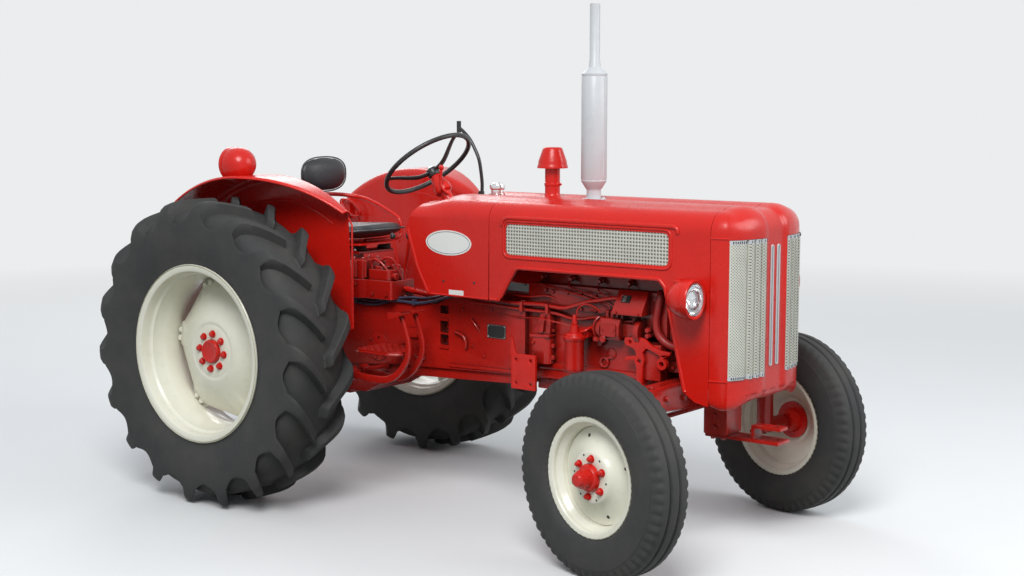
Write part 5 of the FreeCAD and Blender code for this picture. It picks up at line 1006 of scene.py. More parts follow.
def rear_cowl():
    shape = Shape().use("red_paint")
    rows = []
    for k in range(9):
        share = (k / 8) ** 0.8
        row = []
        for y, z in hood_section():
            rear = cowl_rear(z)
            x = 1.140 - (1.140 - rear) * share
            row.append((AXLE_X + x, y, cowl_drop(x, z)))
        rows.append(row)
    shape.grid(rows)
    stations = [1.140 - (1.140 - 0.7152) * (k / 8) ** 0.8 for k in range(9)]
    outline = [(x, PLATE_TOP) for x in reversed(stations)]
    lower = rounded([(1.140, 0.915, 0.002), (0.809, 0.920, 0.012), (0.749, 1.025, 0.03), (0.694, 1.183, 0.03),
                     (0.7152, PLATE_TOP + 0.01, 0)], 0.01)
    outline += [point for point in lower if point[1] < PLATE_TOP - 0.001]
    for sign in (-1, 1):
        shape.plate(at_axle(outline), "xz", sign * HOOD_HALF)
    shape.piece("rear_cowl_skin", "chassis", ["rear_cowl"], thick=0.003, weld=0.0006, crease=30)
    trim = Shape().use("red_paint")
    edge = rounded([(0.816, 0.927, 0.0), (0.760, 1.028, 0.03), (0.707, 1.183, 0.03), (0.726, PLATE_TOP, 0.0)], 0.02)
    bead(trim, edge[:-1], 0.004)
    bead(trim, [(0.83, 0.922), (1.136, 0.921)], 0.0045)
    trim.use("red_casting")
    trim.prism([(y, z) for y, z in rounded([(-0.279, 0.925), (0.279, 0.925), (0.279, 1.23), (0.205, 1.306),
                                            (-0.205, 1.306), (-0.279, 1.23)], 0.02)], "yz", AXLE_X + 0.832,
               AXLE_X + 0.838)
    for sign in (-1, 1):
        trim.prism(at_axle([(1.126, 0.926), (1.156, 0.926), (1.156, 1.226), (1.126, 1.226)]), "xz", sign * 0.2800,
                   sign * 0.2815)
    trim.piece("cowl_inside", "chassis", crease=40)
    badge = Shape().use("white_enamel")
    oval = [(0.927 + 0.122 * math.cos(2 * math.pi * k / 48), 1.139 + 0.052 * math.sin(2 * math.pi * k / 48))
            for k in range(48)]
    for sign in (-1, 1):
        badge.prism(at_axle(oval), "xz", sign * (HOOD_HALF - 0.0005), sign * (HOOD_HALF + 0.0012))
        badge.prism(at_axle([(0.929, 0.924), (1.007, 0.924), (1.007, 0.945), (0.929, 0.945)]), "xz",
                    sign * (HOOD_HALF - 0.0005), sign * (HOOD_HALF + 0.001))
    badge.use("black_paint")
    for sign in (-1, 1):
        line = [(AXLE_X + 0.927 + 0.113 * math.cos(2 * math.pi * k / 48), sign * (HOOD_HALF + 0.0011),
                 1.139 + 0.0455 * math.sin(2 * math.pi * k / 48)) for k in range(48)]
        badge.tube(line, 0.0011, 6, closed=True)
        for x, z in ((0.900, 0.979), (1.063, 0.982)):
            badge.nut((AXLE_X + x, sign * HOOD_HALF, z), (0, sign, 0), 0.010, 0.003, 10)
    badge.piece("cowl_badges", "chassis", crease=30)


def nose_face_x(y):
    """How far forward the nose's front is at a distance from the centre line."""
    return 2.291 - 0.051 * (abs(y) / GRILLE_OUTER) ** 3.2


def nose_columns():
    """(x, y) round the nose from the right seam to the centre."""
    side = []
    for k in range(6):
        x = NOSE_SEAM + 0.001 + 0.068 * k / 5
        side.append((x, 0.285 - 0.015 * (k / 5) ** 2))
    stops = [0.262, 0.25, 0.235, 0.215, 0.19, 0.16, 0.13, 0.10, GRILLE_INNER, 0.068, 0.058, 0.048, 0.030, 0.018]
    front = [(nose_face_x(GRILLE_OUTER), GRILLE_OUTER)] + [(nose_face_x(y), y) for y in stops]
    sunk = [(x - 0.010 * (1 - smooth_step(y, 0.055, 0.080)), y) for x, y in front]
    return side + sunk


def nose():
    shape = Shape().use("red_paint")
    half = nose_columns()
    columns = [(x, -y) for x, y in half] + [(x, y) for x, y in reversed(half)]
    heights = [0.640, 0.670, GRILLE_LOW, 0.735, 0.85, 0.95, 1.05, 1.15, 1.182, GRILLE_HIGH, 1.228, SIDE_TOP]
    run = 0.120
    rows = []
    for x, y in columns:
        forward = x - NOSE_SEAM
        low = 0.598 - 0.012 * smooth_step(forward, 0.0, 0.06) + 0.028 * smooth_step(forward, 0.085, 0.12)
        column = []
        for k in range(6):
            angle = math.radians(90 * k / 5)
            tuck = 0.022 * (1 - math.sin(angle))
            share = max(0.0, 1 - tuck / 0.10)
            column.append((NOSE_SEAM + forward * share, y * (1 - tuck / 0.40), low + 0.035 * (1 - math.cos(angle))))
        column += [(x, y, z) for z in heights]
        for k in range(1, 9):
            angle = math.radians(90 * k / 8)
            back = 0.085 * (1 - math.cos(angle)) / run
            side = y * (1 - HOOD_CORNER * (1 - math.cos(angle)) / HOOD_HALF)
            rise = (top_height(side) - SIDE_TOP) * math.sin(angle)
            column.append((NOSE_SEAM + forward * (1 - back) + 0.0, side, SIDE_TOP + rise))
        last = column[-1]
        column += [(NOSE_SEAM + 0.001 + (last[0] - NOSE_SEAM - 0.001) * (1 - k / 3), last[1], last[2])
                   for k in (1, 2, 3)]
        rows.append([(AXLE_X + px, py, pz) for px, py, pz in column])
    first = 6 + heights.index(GRILLE_LOW)
    last = 6 + heights.index(GRILLE_HIGH)
    slot_low, slot_high = 6 + heights.index(0.735), 6 + heights.index(1.182)
    made = [[shape.bm.verts.new(point) for point in row] for row in rows]
    for r in range(len(made) - 1):
        middle = abs(columns[r][1] + columns[r + 1][1]) / 2
        for c in range(len(made[0]) - 1):
            if GRILLE_INNER < middle < GRILLE_OUTER and first <= c < last:
                continue
            if 0.018 < middle < 0.030 and slot_low <= c < slot_high:
                continue
            shape.face((made[r][c], made[r + 1][c], made[r + 1][c + 1], made[r][c + 1]))
    shape.piece("nose_skin", "chassis", ["nose_cowl"], thick=0.004, weld=0.0003, crease=34)
    trim = Shape().use("red_paint")
    for sign in (-1, 1):
        for z in (GRILLE_LOW - 0.004, GRILLE_HIGH + 0.005):
            path = [(AXLE_X + x, sign * (y + 0.0005), z) for x, y in half[:7]]
            trim.tube(path, 0.0035, 6)
        trim.use("silver_paint")
        y = sign * 0.024
        x = nose_face_x(y) - 0.0095
        loop = rounded([(y - 0.0075, 0.733), (y + 0.0075, 0.733), (y + 0.0075, 1.184), (y - 0.0075, 1.184)], 0.006)
        trim.tube([(AXLE_X + x + 0.001, a, b) for a, b in loop], 0.0035, 6, closed=True)
        trim.use("red_paint")
    trim.piece("nose_trim", "chassis", crease=50)


# start and end of each rib from the centre line
GRILLE_RIBS = ((0.083, 0.111), (0.121, 0.149), (0.159, 0.187), (0.199, 0.269))


def grille(side):
    sign = 1 if side == "left" else -1
    section = [(GRILLE_INNER - 0.004, -0.020)]
    for begin, end in GRILLE_RIBS:
        broad = end - begin > 0.04
        section += [(begin, -0.020), (begin + 0.003, 0.0), (begin + 0.006, 0.005)]
        if broad:
            section += [(begin + (end - begin) * k / 7, 0.005) for k in range(1, 7)]
            section += [(end - 0.002, 0.004), (end + 0.003, -0.006)]
        else:
            section += [((begin + end) / 2, 0.007), (end - 0.006, 0.005), (end - 0.003, 0.0), (end, -0.020)]
    shape = Shape().use("silver_mesh")
    levels = [GRILLE_LOW + 0.001, GRILLE_LOW + 0.016, GRILLE_HIGH - 0.016, GRILLE_HIGH - 0.001]
    lifts = (0.0035, 0.0, 0.0, 0.0035)
    points = [[(AXLE_X + nose_face_x(y) + out, sign * y, z) for y, out in section] for z in levels]
    made = [[shape.bm.verts.new(point) for point in row] for row in points]
    for r in range(len(levels) - 1):
        if r != 1:
            shape.use("silver_paint")
        else:
            shape.use("silver_mesh")
        for c in range(len(section) - 1):
            shape.face((made[r][c], made[r][c + 1], made[r + 1][c + 1], made[r + 1][c]))
    # painted shade: the openings at the rib ends are drawn as small dark blocks
    shape.use("painted_hole_shade")
    for begin, end in GRILLE_RIBS:
        count = max(2, round((end - begin) / 0.0095))
        for k in range(count):
            y = begin + 0.005 + (end - begin - 0.010) * (k + 0.5) / count
            for z in (GRILLE_LOW + 0.0085, GRILLE_HIGH - 0.0085):
                out = nose_face_x(y) + 0.0052
                shape.block((AXLE_X + out - 0.002, sign * y - 0.0018, z - 0.0045),
                            (AXLE_X + out + 0.0012, sign * y + 0.0018, z + 0.0045))
    shape.piece("grille_mesh_" + side, "chassis", ["grille_" + side], slot="silver_mesh", crease=40)


# chassis pieces; every x runs forward from the rear axle
def spot(x, y, z):
    return Vector((AXLE_X + x, y, z))


def route(points, steps=6):
    return curve_points([spot(*point) for point in points], steps)


def sunk_bolt(shape, x, y, z, axis, across=0.017, thick=0.009):
    """A washer with a bolt head on it."""
    axis = Vector(axis)
    shape.nut(spot(x, y, z), axis, across * 1.7, thick * 0.25, 16)
    shape.nut(spot(x, y, z) + axis * thick * 0.2, axis, across, thick, 6, turn=0.4)


def softened(name, finish, width=0.003, angle=35):
    """A casting's own solid with its edges eased."""
    shape = Shape().use(finish)
    shape.bm.from_mesh(frame["nodes"][name].data)
    bmesh.ops.remove_doubles(shape.bm, verts=shape.bm.verts, dist=0.00005)
    bmesh.ops.dissolve_limit(shape.bm, angle_limit=math.radians(1.0), verts=shape.bm.verts, edges=shape.bm.edges)
    shape.ease(width, angle)
    for face in shape.bm.faces:
        face.material_index = 0
    return shape


def headlamps():
    centre = spot(2.161, 0.370, 1.003)
    shape = Shape().use("red_paint")
    bowl = [(-0.118, 0.0001), (-0.1175, 0.010), (-0.114, 0.024), (-0.104, 0.040), (-0.088, 0.0535),
            (-0.068, 0.0640), (-0.046, 0.0700), (-0.0290, 0.0718), (-0.0275, 0.0700), (-0.0255, 0.0700),
            (-0.0245, 0.0728), (-0.0120, 0.0738), (-0.0030, 0.0736), (0.0, 0.0715), (0.0, 0.0690),
            (-0.0015, 0.0640), (-0.0040, 0.0600), (-0.0100, 0.0600)]
    shape.lathe(bowl, 48, "x", centre)
    shape.use("chrome")
    shape.lathe([(-0.0100, 0.0601), (-0.028, 0.0560), (-0.048, 0.0440), (-0.064, 0.0240), (-0.069, 0.0001)], 40,
                "x", centre)
    shape.use("red_paint")
    shape.rod(spot(2.108, 0.284, 1.003), spot(2.108, 0.318, 1.003), 0.013, 20)
    shape.lathe([(0.2845, 0.0001), (0.2845, 0.032), (0.2885, 0.032), (0.2895, 0.028), (0.2895, 0.0001)], 28, "y",
                spot(2.108, 0, 1.003))
    shape.rod(spot(2.040, 0.316, 1.058), spot(2.105, 0.330, 1.058), 0.006, 12)
    shape.rod(spot(2.040, 0.286, 1.058), spot(2.040, 0.318, 1.058), 0.006, 12)
    for z in (0.978, 1.028):
        shape.nut(spot(2.108, 0.2895, z), (0, 1, 0), 0.010, 0.004)
    shape.block(spot(2.143, 0.441, 0.991), spot(2.156, 0.4435, 1.015))
    shape.nut(spot(2.128, 0.370, 0.9315), (0, 0, -1), 0.014, 0.008)
    shape.nut(spot(2.150, 0.370, 1.0755), (0, 0, 1), 0.009, 0.0015)
    shape.mirror()
    shape.piece("headlamp_bowls", "chassis", ["headlamps"], crease=34)
    glass = Shape().use("lens")
    glass.lathe([(-0.0060, 0.0598), (-0.0025, 0.0590), (-0.0005, 0.0520), (0.0015, 0.0400), (0.0032, 0.0230),
                 (0.0038, 0.0001)], 40, "x", centre)
    glass.mirror()
    glass.piece("headlamp_lenses", "chassis", ["headlamp_glasses"], crease=40)


def hood_top_parts():
    shape = Shape().use("silver_paint")
    foot = spot(1.456, 0, 0)
    shape.lathe([(1.180, 0.0300), (1.318, 0.0300), (1.3205, 0.0500), (1.3260, 0.0505), (1.3280, 0.0490),
                 (1.3285, 0.0300), (1.3600, 0.0290), (1.3650, 0.0300), (1.3700, 0.0340), (1.3960, 0.0505),
                 (1.4000, 0.0518), (1.4020, 0.0508), (1.4050, 0.0510), (1.4080, 0.0522), (1.8150, 0.0522),
                 (1.8170, 0.0510), (1.8200, 0.0510), (1.8230, 0.0522), (1.8290, 0.0515), (1.8480, 0.0310),
                 (1.8530, 0.0265), (1.8580, 0.0240), (1.8800, 0.0225), (1.8830, 0.0208), (2.1060, 0.0205),
                 (2.1070, 0.0198), (2.1060, 0.0188), (2.0000, 0.0185), (1.9600, 0.0001)], 44, "z", foot)
    shape.rod(foot + Vector((0.0512, -0.006, 1.412)), foot + Vector((0.0512, -0.006, 1.812)), 0.0018, 6)
    for k in range(3):
        angle = math.radians(20 + 120 * k)
        shape.nut(foot + Vector((0.041 * math.cos(angle), 0.041 * math.sin(angle), 1.3270)), (0, 0, 1), 0.012, 0.007)
    shape.piece("exhaust_stack", "chassis", ["exhaust"], crease=32)
    shape = Shape().use("red_paint")
    foot = spot(1.249, 0, 0)
    shape.lathe([(1.270, 0.0400), (1.3190, 0.0400), (1.3215, 0.0440), (1.3250, 0.0435), (1.3290, 0.0370),
                 (1.3360, 0.0325), (1.3440, 0.0312), (1.3720, 0.0312), (1.3735, 0.0330), (1.3760, 0.0336),
                 (1.3830, 0.0336), (1.3855, 0.0330), (1.3870, 0.0312), (1.4700, 0.0312)], 40, "z", foot)
    shape.lathe([(1.4690, 0.0300), (1.4540, 0.0580), (1.4480, 0.0615), (1.4460, 0.0628), (1.4465, 0.0638),
                 (1.4490, 0.0639), (1.4560, 0.0622), (1.4620, 0.0600), (1.4700, 0.0592), (1.4740, 0.0588),
                 (1.5190, 0.0430), (1.5260, 0.0405), (1.5300, 0.0370), (1.5318, 0.0320), (1.5320, 0.0001)],
                44, "z", foot)
    shape.nut(foot + Vector((0.0330, 0.006, 1.3795)), (1, 0, 0), 0.010, 0.008)
    shape.piece("precleaner_stack", "chassis", ["air_precleaner"], crease=30)
    shape = Shape().use("chrome")
    foot = spot(0.960, 0, 0)
    shape.lathe([(1.3000, 0.0330), (1.3330, 0.0330), (1.3335, 0.0270), (1.3480, 0.0270), (1.3490, 0.0300),
                 (1.3525, 0.0310), (1.3540, 0.0322), (1.3660, 0.0322), (1.3690, 0.0312), (1.3700, 0.0250),
                 (1.3730, 0.0240), (1.3770, 0.0190), (1.3788, 0.0100), (1.3790, 0.0001)], 40, "z", foot)
    for k in range(20):
        angle = 2 * math.pi * k / 20
        out = Vector((math.cos(angle), math.sin(angle), 0))
        shape.rod(foot + out * 0.0320 + Vector((0, 0, 1.3550)), foot + out * 0.0320 + Vector((0, 0, 1.3650)),
                  0.0011, 6)
    shape.piece("fuel_cap_turned", "chassis", ["fuel_cap"], crease=30)


# fender: arc about this centre, its radius and the y of the inner sheet and the outer edge
FENDER_X, FENDER_Z, FENDER_R = 0.090, 0.690, 0.715
FENDER_IN, FENDER_OUT = 0.430, 0.690
FENDER_FIRST, FENDER_LAST = 53.03, 135.0
FENDER_STEPS = 46


def on_fender(angle, y, drop):
    radius = FENDER_R - drop
    return spot(FENDER_X + radius * math.cos(math.radians(angle)), y,
                FENDER_Z + radius * math.sin(math.radians(angle)))


def fender_reach(angle, drop):
    """How far out the top sheet goes: it narrows towards the front."""
    x = FENDER_X + (FENDER_R - drop) * math.cos(math.radians(angle))
    taper = FENDER_OUT - 0.236 * smooth_step(x - FENDER_X, -0.06, 0.10) * max(0.0, (x - FENDER_X)) / 0.490
    return max(taper, FENDER_IN + 0.042)


def fender(side):
    sign = 1 if side == "left" else -1
    shape = Shape().use("red_paint")
    rows = []
    edge = []
    for k in range(FENDER_STEPS + 1):
        angle = FENDER_FIRST + (FENDER_LAST - FENDER_FIRST) * k / FENDER_STEPS
        out = fender_reach(angle, 0.0)
        row = []
        for j in range(7):
            turn = math.radians(90 * j / 6)
            row.append((FENDER_IN + 0.036 - 0.036 * math.cos(turn), 0.036 - 0.036 * math.sin(turn)))
        inner, outer = FENDER_IN + 0.036, out - 0.012
        if outer > inner:
            row += [(inner + (outer - inner) * j / 5, 0.0) for j in range(1, 6)]
        else:
            row += [(inner + 0.0002 * j, 0.0) for j in range(1, 6)]
        tip = row[-1][0]
        row += [(tip + 0.006, 0.0006), (tip + 0.010, 0.003), (tip + 0.012, 0.0075)]
        rows.append([on_fender(angle, sign * y, drop) for y, drop in row])
        edge.append(on_fender(angle, sign * (tip + 0.0095), 0.0085))
    shape.grid(rows)
    top = FENDER_R - 0.0355
    outline = [(0.520, 0.760)]
    outline += arc((FENDER_X, FENDER_Z), top, FENDER_FIRST, FENDER_LAST, 40)
    outline += [(FENDER_X - FENDER_R * 0.62, 0.820), (FENDER_X - FENDER_R * 0.54, 0.760)]
    notch = arc((0.0, REAR_Z), 0.1215, 118, 62, 10)
    outline += [(-0.060, 0.762)] + notch + [(0.060, 0.762)]
    shape.plate(at_axle(outline), "xz", sign * FENDER_IN)
    shape.piece("fender_skin_" + side, "chassis", ["fender_" + side], thick=0.0028, weld=0.0012, crease=36)
    trim = Shape().use("red_paint")
    trim.tube(edge, 0.0046, 10)
    front = [spot(0.5195, sign * FENDER_IN, 0.762)] + [spot(0.5195, sign * FENDER_IN, 0.762 + 0.055 * k)
                                                       for k in range(1, 9)]
    front += [on_fender(FENDER_FIRST, sign * (FENDER_IN + 0.036 - 0.036 * math.cos(t)), 0.036 - 0.036 * math.sin(t))
              for t in (0.0, 0.5, 1.0, 1.5)] + [edge[0]]
    trim.tube(front, 0.0042, 8)
    trim.tube([spot(0.5195, sign * FENDER_IN, 0.762), spot(0.30, sign * FENDER_IN, 0.762),
               spot(0.064, sign * FENDER_IN, 0.762)], 0.0040, 8)
    trim.tube([on_fender(angle, sign * FENDER_IN, 0.112) for angle in range(58, 108, 3)], 0.0036, 8)
    for x, z in ((-0.045, 0.802), (0.045, 0.802), (-0.045, 0.835), (0.045, 0.835)):
        trim.nut(spot(x, sign * 0.4265, z), (0, -sign, 0), 0.020, 0.010)
        trim.nut(spot(x, sign * 0.4335, z), (0, sign, 0), 0.020, 0.010)
    trim.block(spot(-0.060, min(sign * 0.4125, sign * 0.4275), 0.770),
               spot(0.060, max(sign * 0.4125, sign * 0.4275), 0.850))
    trim.piece("fender_edges_" + side, "chassis", crease=40)


def fender_parts():
    lamp = Shape().use("red_paint")
    centre = spot(0.019, -0.600, 1.4505)
    lamp.lathe([(0.0740, 0.0001), (0.0730, 0.014), (0.0680, 0.031), (0.0580, 0.0465), (0.0440, 0.0595),
                (0.0270, 0.0685), (0.0080, 0.0732), (-0.0140, 0.0738), (-0.0290, 0.0725), (-0.0300, 0.0705),
                (-0.0330, 0.0705), (-0.0340, 0.0733), (-0.0480, 0.0735), (-0.0530, 0.0700), (-0.0540, 0.0640),
                (-0.0530, 0.0600)], 44, "x", centre)
    lamp.use("lens")
    lamp.lathe([(-0.0530, 0.0600), (-0.0600, 0.0450), (-0.0640, 0.0200), (-0.0645, 0.0001)], 32, "x", centre)
    lamp.use("red_paint")
    lamp.lathe([(-0.0740, 0.0130), (-0.0680, 0.0150), (-0.0420, 0.0150), (-0.0420, 0.0260), (-0.0460, 0.0280),
                (-0.0490, 0.0280)], 20, "z", centre)
    lamp.piece("work_lamp_turned", "chassis", ["work_lamp"], crease=34)
    arm = Shape().use("black_paint")
    arm.tube(route([(0.496, 0.469, 1.268), (0.500, 0.469, 1.310), (0.501, 0.468, 1.350), (0.499, 0.460, 1.410),
                    (0.494, 0.455, 1.452), (0.478, 0.455, 1.487), (0.444, 0.455, 1.541), (0.410, 0.455, 1.575),
                    (0.377, 0.455, 1.599)], 5), 0.0082, 12)
    arm.rod(spot(0.496, 0.469, 1.266), spot(0.496, 0.469, 1.308), 0.0145, 16, lip=0.002)
    arm.nut(spot(0.496, 0.4545, 1.290), (0, -1, 0), 0.012, 0.010)
    arm.block(spot(0.362, 0.4515, 1.578), spot(0.384, 0.4575, 1.632))
    arm.piece("mirror_arm_tube", "chassis", ["mirror_arm"], crease=36)
    ring = Shape().use("red_paint")
    for lean, y in ((0.0, 0.398), (0.03, 0.380)):
        loop = [spot(-0.285 + 0.060 * math.cos(a) + lean, y, 1.205 + 0.032 * math.sin(a) - 0.4 * 0.06 * math.cos(a))
                for a in (2 * math.pi * k / 28 for k in range(28))]
        ring.tube(loop, 0.0045, 8, closed=True)
    ring.prism([(AXLE_X - 0.385, 1.150), (AXLE_X - 0.290, 1.150), (AXLE_X - 0.285, 1.222), (AXLE_X - 0.330, 1.245)],
               "xz", 0.404, 0.4295)
    ring.tube(route([(-0.235, 0.395, 1.190), (-0.226, 0.400, 1.150), (-0.215, 0.415, 1.120)], 4), 0.007, 10)
    ring.piece("fender_bracket_rings", "chassis", crease=36)


def swell(thing, cap, cloth_pressure=4.0):
    """Remeshes the pad and blows it up a little as cloth; no point moves further than the cap."""
    modifier = thing.modifiers.new("even", "REMESH")
    modifier.mode = "VOXEL"
    modifier.voxel_size = 0.0055
    bpy.context.view_layer.update()
    depsgraph = bpy.context.evaluated_depsgraph_get()
    thing.data = bpy.data.meshes.new_from_object(thing.evaluated_get(depsgraph), depsgraph=depsgraph)
    thing.modifiers.clear()
    before = [vertex.co.copy() for vertex in thing.data.vertices]
    modifier = thing.modifiers.new("cloth", "CLOTH")
    settings = modifier.settings
    settings.quality = 4
    settings.mass = 0.4
    settings.use_pressure = True
    settings.uniform_pressure_force = cloth_pressure
    settings.effector_weights.gravity = 0
    settings.tension_stiffness = settings.compression_stiffness = 25
    settings.bending_stiffness = 0.8
    for number in range(1, 21):
        scene.frame_set(number)
    depsgraph = bpy.context.evaluated_depsgraph_get()
    blown = bpy.data.meshes.new_from_object(thing.evaluated_get(depsgraph), depsgraph=depsgraph)
    thing.modifiers.clear()
    for vertex, start, after in zip(thing.data.vertices, before, blown.vertices):
        step = after.co - start
        vertex.co = start + step * min(1.0, cap / max(step.length, 1e-9))
    bpy.data.meshes.remove(blown)
    scene.frame_set(1)
    modifier = thing.modifiers.new("even", "CORRECTIVE_SMOOTH")
    modifier.iterations = 8
    modifier.use_only_smooth = True
    modifier = thing.modifiers.new("finer", "SUBSURF")
    modifier.levels = modifier.render_levels = 1
    bpy.context.view_layer.update()
    depsgraph = bpy.context.evaluated_depsgraph_get()
    final = bpy.data.meshes.new_from_object(thing.evaluated_get(depsgraph), depsgraph=depsgraph)
    thing.modifiers.clear()
    thing.data = final
    final.polygons.foreach_set("use_smooth", [True] * len(final.polygons))


def oval(angle, long_half, short_half, power):
    """A rounded box outline: the distance from its centre at an angle."""
    c, s = abs(math.cos(angle)), abs(math.sin(angle))
    return ((c / long_half) ** power + (s / short_half) ** power) ** (-1 / power)


def cushion_point(angle, share):
    """The place on the cushion's outline at a share of the way from its centre to its edge."""
    reach = oval(angle, 0.176, 0.196, 3.0) * share
    x, y = reach * math.cos(angle), reach * math.sin(angle)
    return x, y


def seat_pads():
    steps, rings = 72, 16
    shape = Shape().use("seat_cover")
    rows = []
    for k in range(steps):
        angle = 2 * math.pi * k / steps
        row = []
        for j in range(rings + 1):
            share = max(0.002, j / rings)
            x, y = cushion_point(angle, share)
            dish = 0.008 * math.cos(math.pi * min(1.0, share)) + 0.010 * (y / 0.196) ** 2 - 0.012 * x / 0.176
            z = 1.157 - dish * 0.6 + 0.004 * share - 0.014 * share ** 7
            row.append(spot(0.150 + x, y, z))
        for j in range(rings - 1, -1, -1):
            share = max(0.002, j / rings)
            x, y = cushion_point(angle, share * 0.995)
            z = 1.111 + 0.030 * share ** 3.2 - 0.003 * x / 0.176 + 0.010 * max(0.0, x / 0.176) ** 2
            row.append(spot(0.150 + x, y, z))
        rows.append(row)
    shape.grid(rows, close_rows=True)
    pad = shape.piece("seat_cushion_pad", "chassis", ["seat_cushion"], crease=70, weld=0.001)
    swell(pad, 0.007)
    shape = Shape().use("seat_cover")
    rows = []
    for k in range(steps):
        angle = 2 * math.pi * k / steps
        row = []
        for j in range(rings + 1):
            share = max(0.002, j / rings)
            reach = oval(angle, 0.1435, 0.0785, 2.7) * share
            row.append(spot(-0.0335 - 0.030 * share ** 3.4, reach * math.cos(angle), 1.387 + reach * math.sin(angle)))
        for j in range(rings - 1, -1, -1):
            share = max(0.002, j / rings)
            reach = oval(angle, 0.1425, 0.0775, 2.7) * share
            row.append(spot(-0.0960 + 0.022 * share ** 5, reach * math.cos(angle), 1.387 + reach * math.sin(angle)))
        rows.append(row)
    shape.grid(rows, close_rows=True)
    pad = shape.piece("seat_backrest_pad", "chassis", ["seat_backrest"], crease=70, weld=0.001)
    swell(pad, 0.006)
    piping = Shape().use("seat_piping")
    loop = []
    for k in range(96):
        angle = 2 * math.pi * k / 96
        reach = oval(angle, 0.176, 0.196, 3.0) + 0.0035
        x, y = reach * math.cos(angle), reach * math.sin(angle)
        loop.append(spot(0.150 + x, y, 1.1435 + 0.006 * x / 0.176 - 0.002 * (y / 0.196) ** 2))
    piping.tube(loop, 0.0034, 8, closed=True)
    loop = []
    for k in range(96):
        angle = 2 * math.pi * k / 96
        reach = oval(angle, 0.1415, 0.0765, 2.7) + 0.0035
        loop.append(spot(-0.0640, reach * math.cos(angle), 1.387 + reach * math.sin(angle)))
    piping.tube(loop, 0.0034, 8, closed=True)
    piping.piece("seat_piping_cords", "chassis", slot="seat_cover", crease=60)


def seat_carrier():
    shape = Shape().use("red_paint")
    half = [(0.190, 0.0, 1.0895), (0.190, 0.120, 1.0895), (0.194, 0.190, 1.090), (0.196, 0.226, 1.096),
            (0.196, 0.2395, 1.113), (0.192, 0.2400, 1.160), (0.176, 0.2400, 1.184), (0.120, 0.2400, 1.211),
            (0.050, 0.2400, 1.239), (-0.015, 0.2390, 1.260), (-0.070, 0.2280, 1.272), (-0.118, 0.1930, 1.281),
            (-0.150, 0.1500, 1.285), (-0.166, 0.1050, 1.2865), (-0.170, 0.0550, 1.287)]
    path = half + [(-0.171, 0.0, 1.287)] + [(x, -y, z) for x, y, z in reversed(half[1:])]
    shape.tube(curve_points([spot(*point) for point in path], 4), 0.0098, 12)
    shape.prism([(AXLE_X + x, y) for x, y in rounded([(0.0, -0.150), (0.300, -0.150), (0.300, 0.150),
                                                      (0.0, 0.150)], 0.05)], "xy", 1.0815, 1.0885)
    shape.ease(0.0015)
    shape.prism(at_axle(rounded([(-0.1625, 1.085), (-0.1345, 1.085), (-0.1345, 1.100), (-0.1230, 1.390),
                                 (-0.1230, 1.407), (-0.1625, 1.407)], 0.004, 3)), "xz", -0.024, 0.024)
    shape.prism(at_axle(rounded([(-0.160, 1.082), (0.020, 1.082), (0.020, 1.096), (-0.160, 1.096)], 0.003, 3)),
                "xz", -0.026, 0.026)
    shape.prism([(y, z) for y, z in rounded([(-0.062, 1.322), (0.062, 1.322), (0.050, 1.400), (0.026, 1.440),
                                             (-0.026, 1.440), (-0.050, 1.400)], 0.01)], "yz", AXLE_X - 0.124,
                AXLE_X - 0.1015)
    for y, z in ((-0.035, 1.345), (0.035, 1.345), (0.0, 1.415)):
        shape.nut(spot(-0.124, y, z), (-1, 0, 0), 0.014, 0.008)
    for z in (1.262, 1.310):
        shape.nut(spot(-0.1635, 0.0, z), (-1, 0, 0), 0.016, 0.009)
    shape.use("red_casting")
    shape.prism(at_axle(rounded([(0.058, 0.986), (0.132, 0.986), (0.128, 1.010), (0.124, 1.058), (0.066, 1.058),
                                 (0.062, 1.010)], 0.008)), "xz", -0.060, 0.060)
    shape.prism(at_axle(rounded([(0.205, 1.040), (0.262, 1.040), (0.262, 1.052), (0.205, 1.058)], 0.004, 3)), "xz",
                -0.115, 0.115)
    shape.use("rubber")
    for x, y in ((0.095, 0.0), (0.235, -0.080), (0.235, 0.080)):
        shape.lathe([(1.0560, 0.0001), (1.0560, 0.0300), (1.0600, 0.0330), (1.0700, 0.0280), (1.0780, 0.0330),
                     (1.0815, 0.0310), (1.0815, 0.0001)], 28, "z", spot(x, y, 0))
    shape.use("steel")
    for x, y in ((0.095, -0.048), (0.095, 0.048), (0.235, -0.108), (0.235, 0.108)):
        shape.nut(spot(x, y, 1.0560), (0, 0, 1), 0.014, 0.008)
    shape.piece("seat_carrier_frame", "chassis", ["seat_frame"], crease=34)


def bar_loft(shape, path, across, wides, thicks, count=12):
    """A flat bar with rounded edges along a path; across gives the direction of its width."""
    rows = []
    for i, point in enumerate(path):
        ahead, behind = path[min(i + 1, len(path) - 1)], path[max(i - 1, 0)]
        along = (ahead - behind).normalized()
        wide = (across - along * across.dot(along)).normalized()
        thick = along.cross(wide)
        row = []
        for k in range(count):
            a = 2 * math.pi * (k + 0.5) / count
            c, s = math.cos(a), math.sin(a)
            u = math.copysign(abs(c) ** 0.6, c) * wides[i] / 2
            v = math.copysign(abs(s) ** 0.6, s) * thicks[i] / 2
            row.append(point + wide * u + thick * v)
        rows.append(row)
    made = shape.grid(rows, close_columns=True)
    shape.face(list(reversed(made[0])))
    shape.face(made[-1])


WHEEL_TILT = math.radians(38.7)
WHEEL_PLACE = Matrix.Translation((AXLE_X + 0.572, 0, 1.448)) @ Matrix.Rotation(-WHEEL_TILT, 4, "Y")


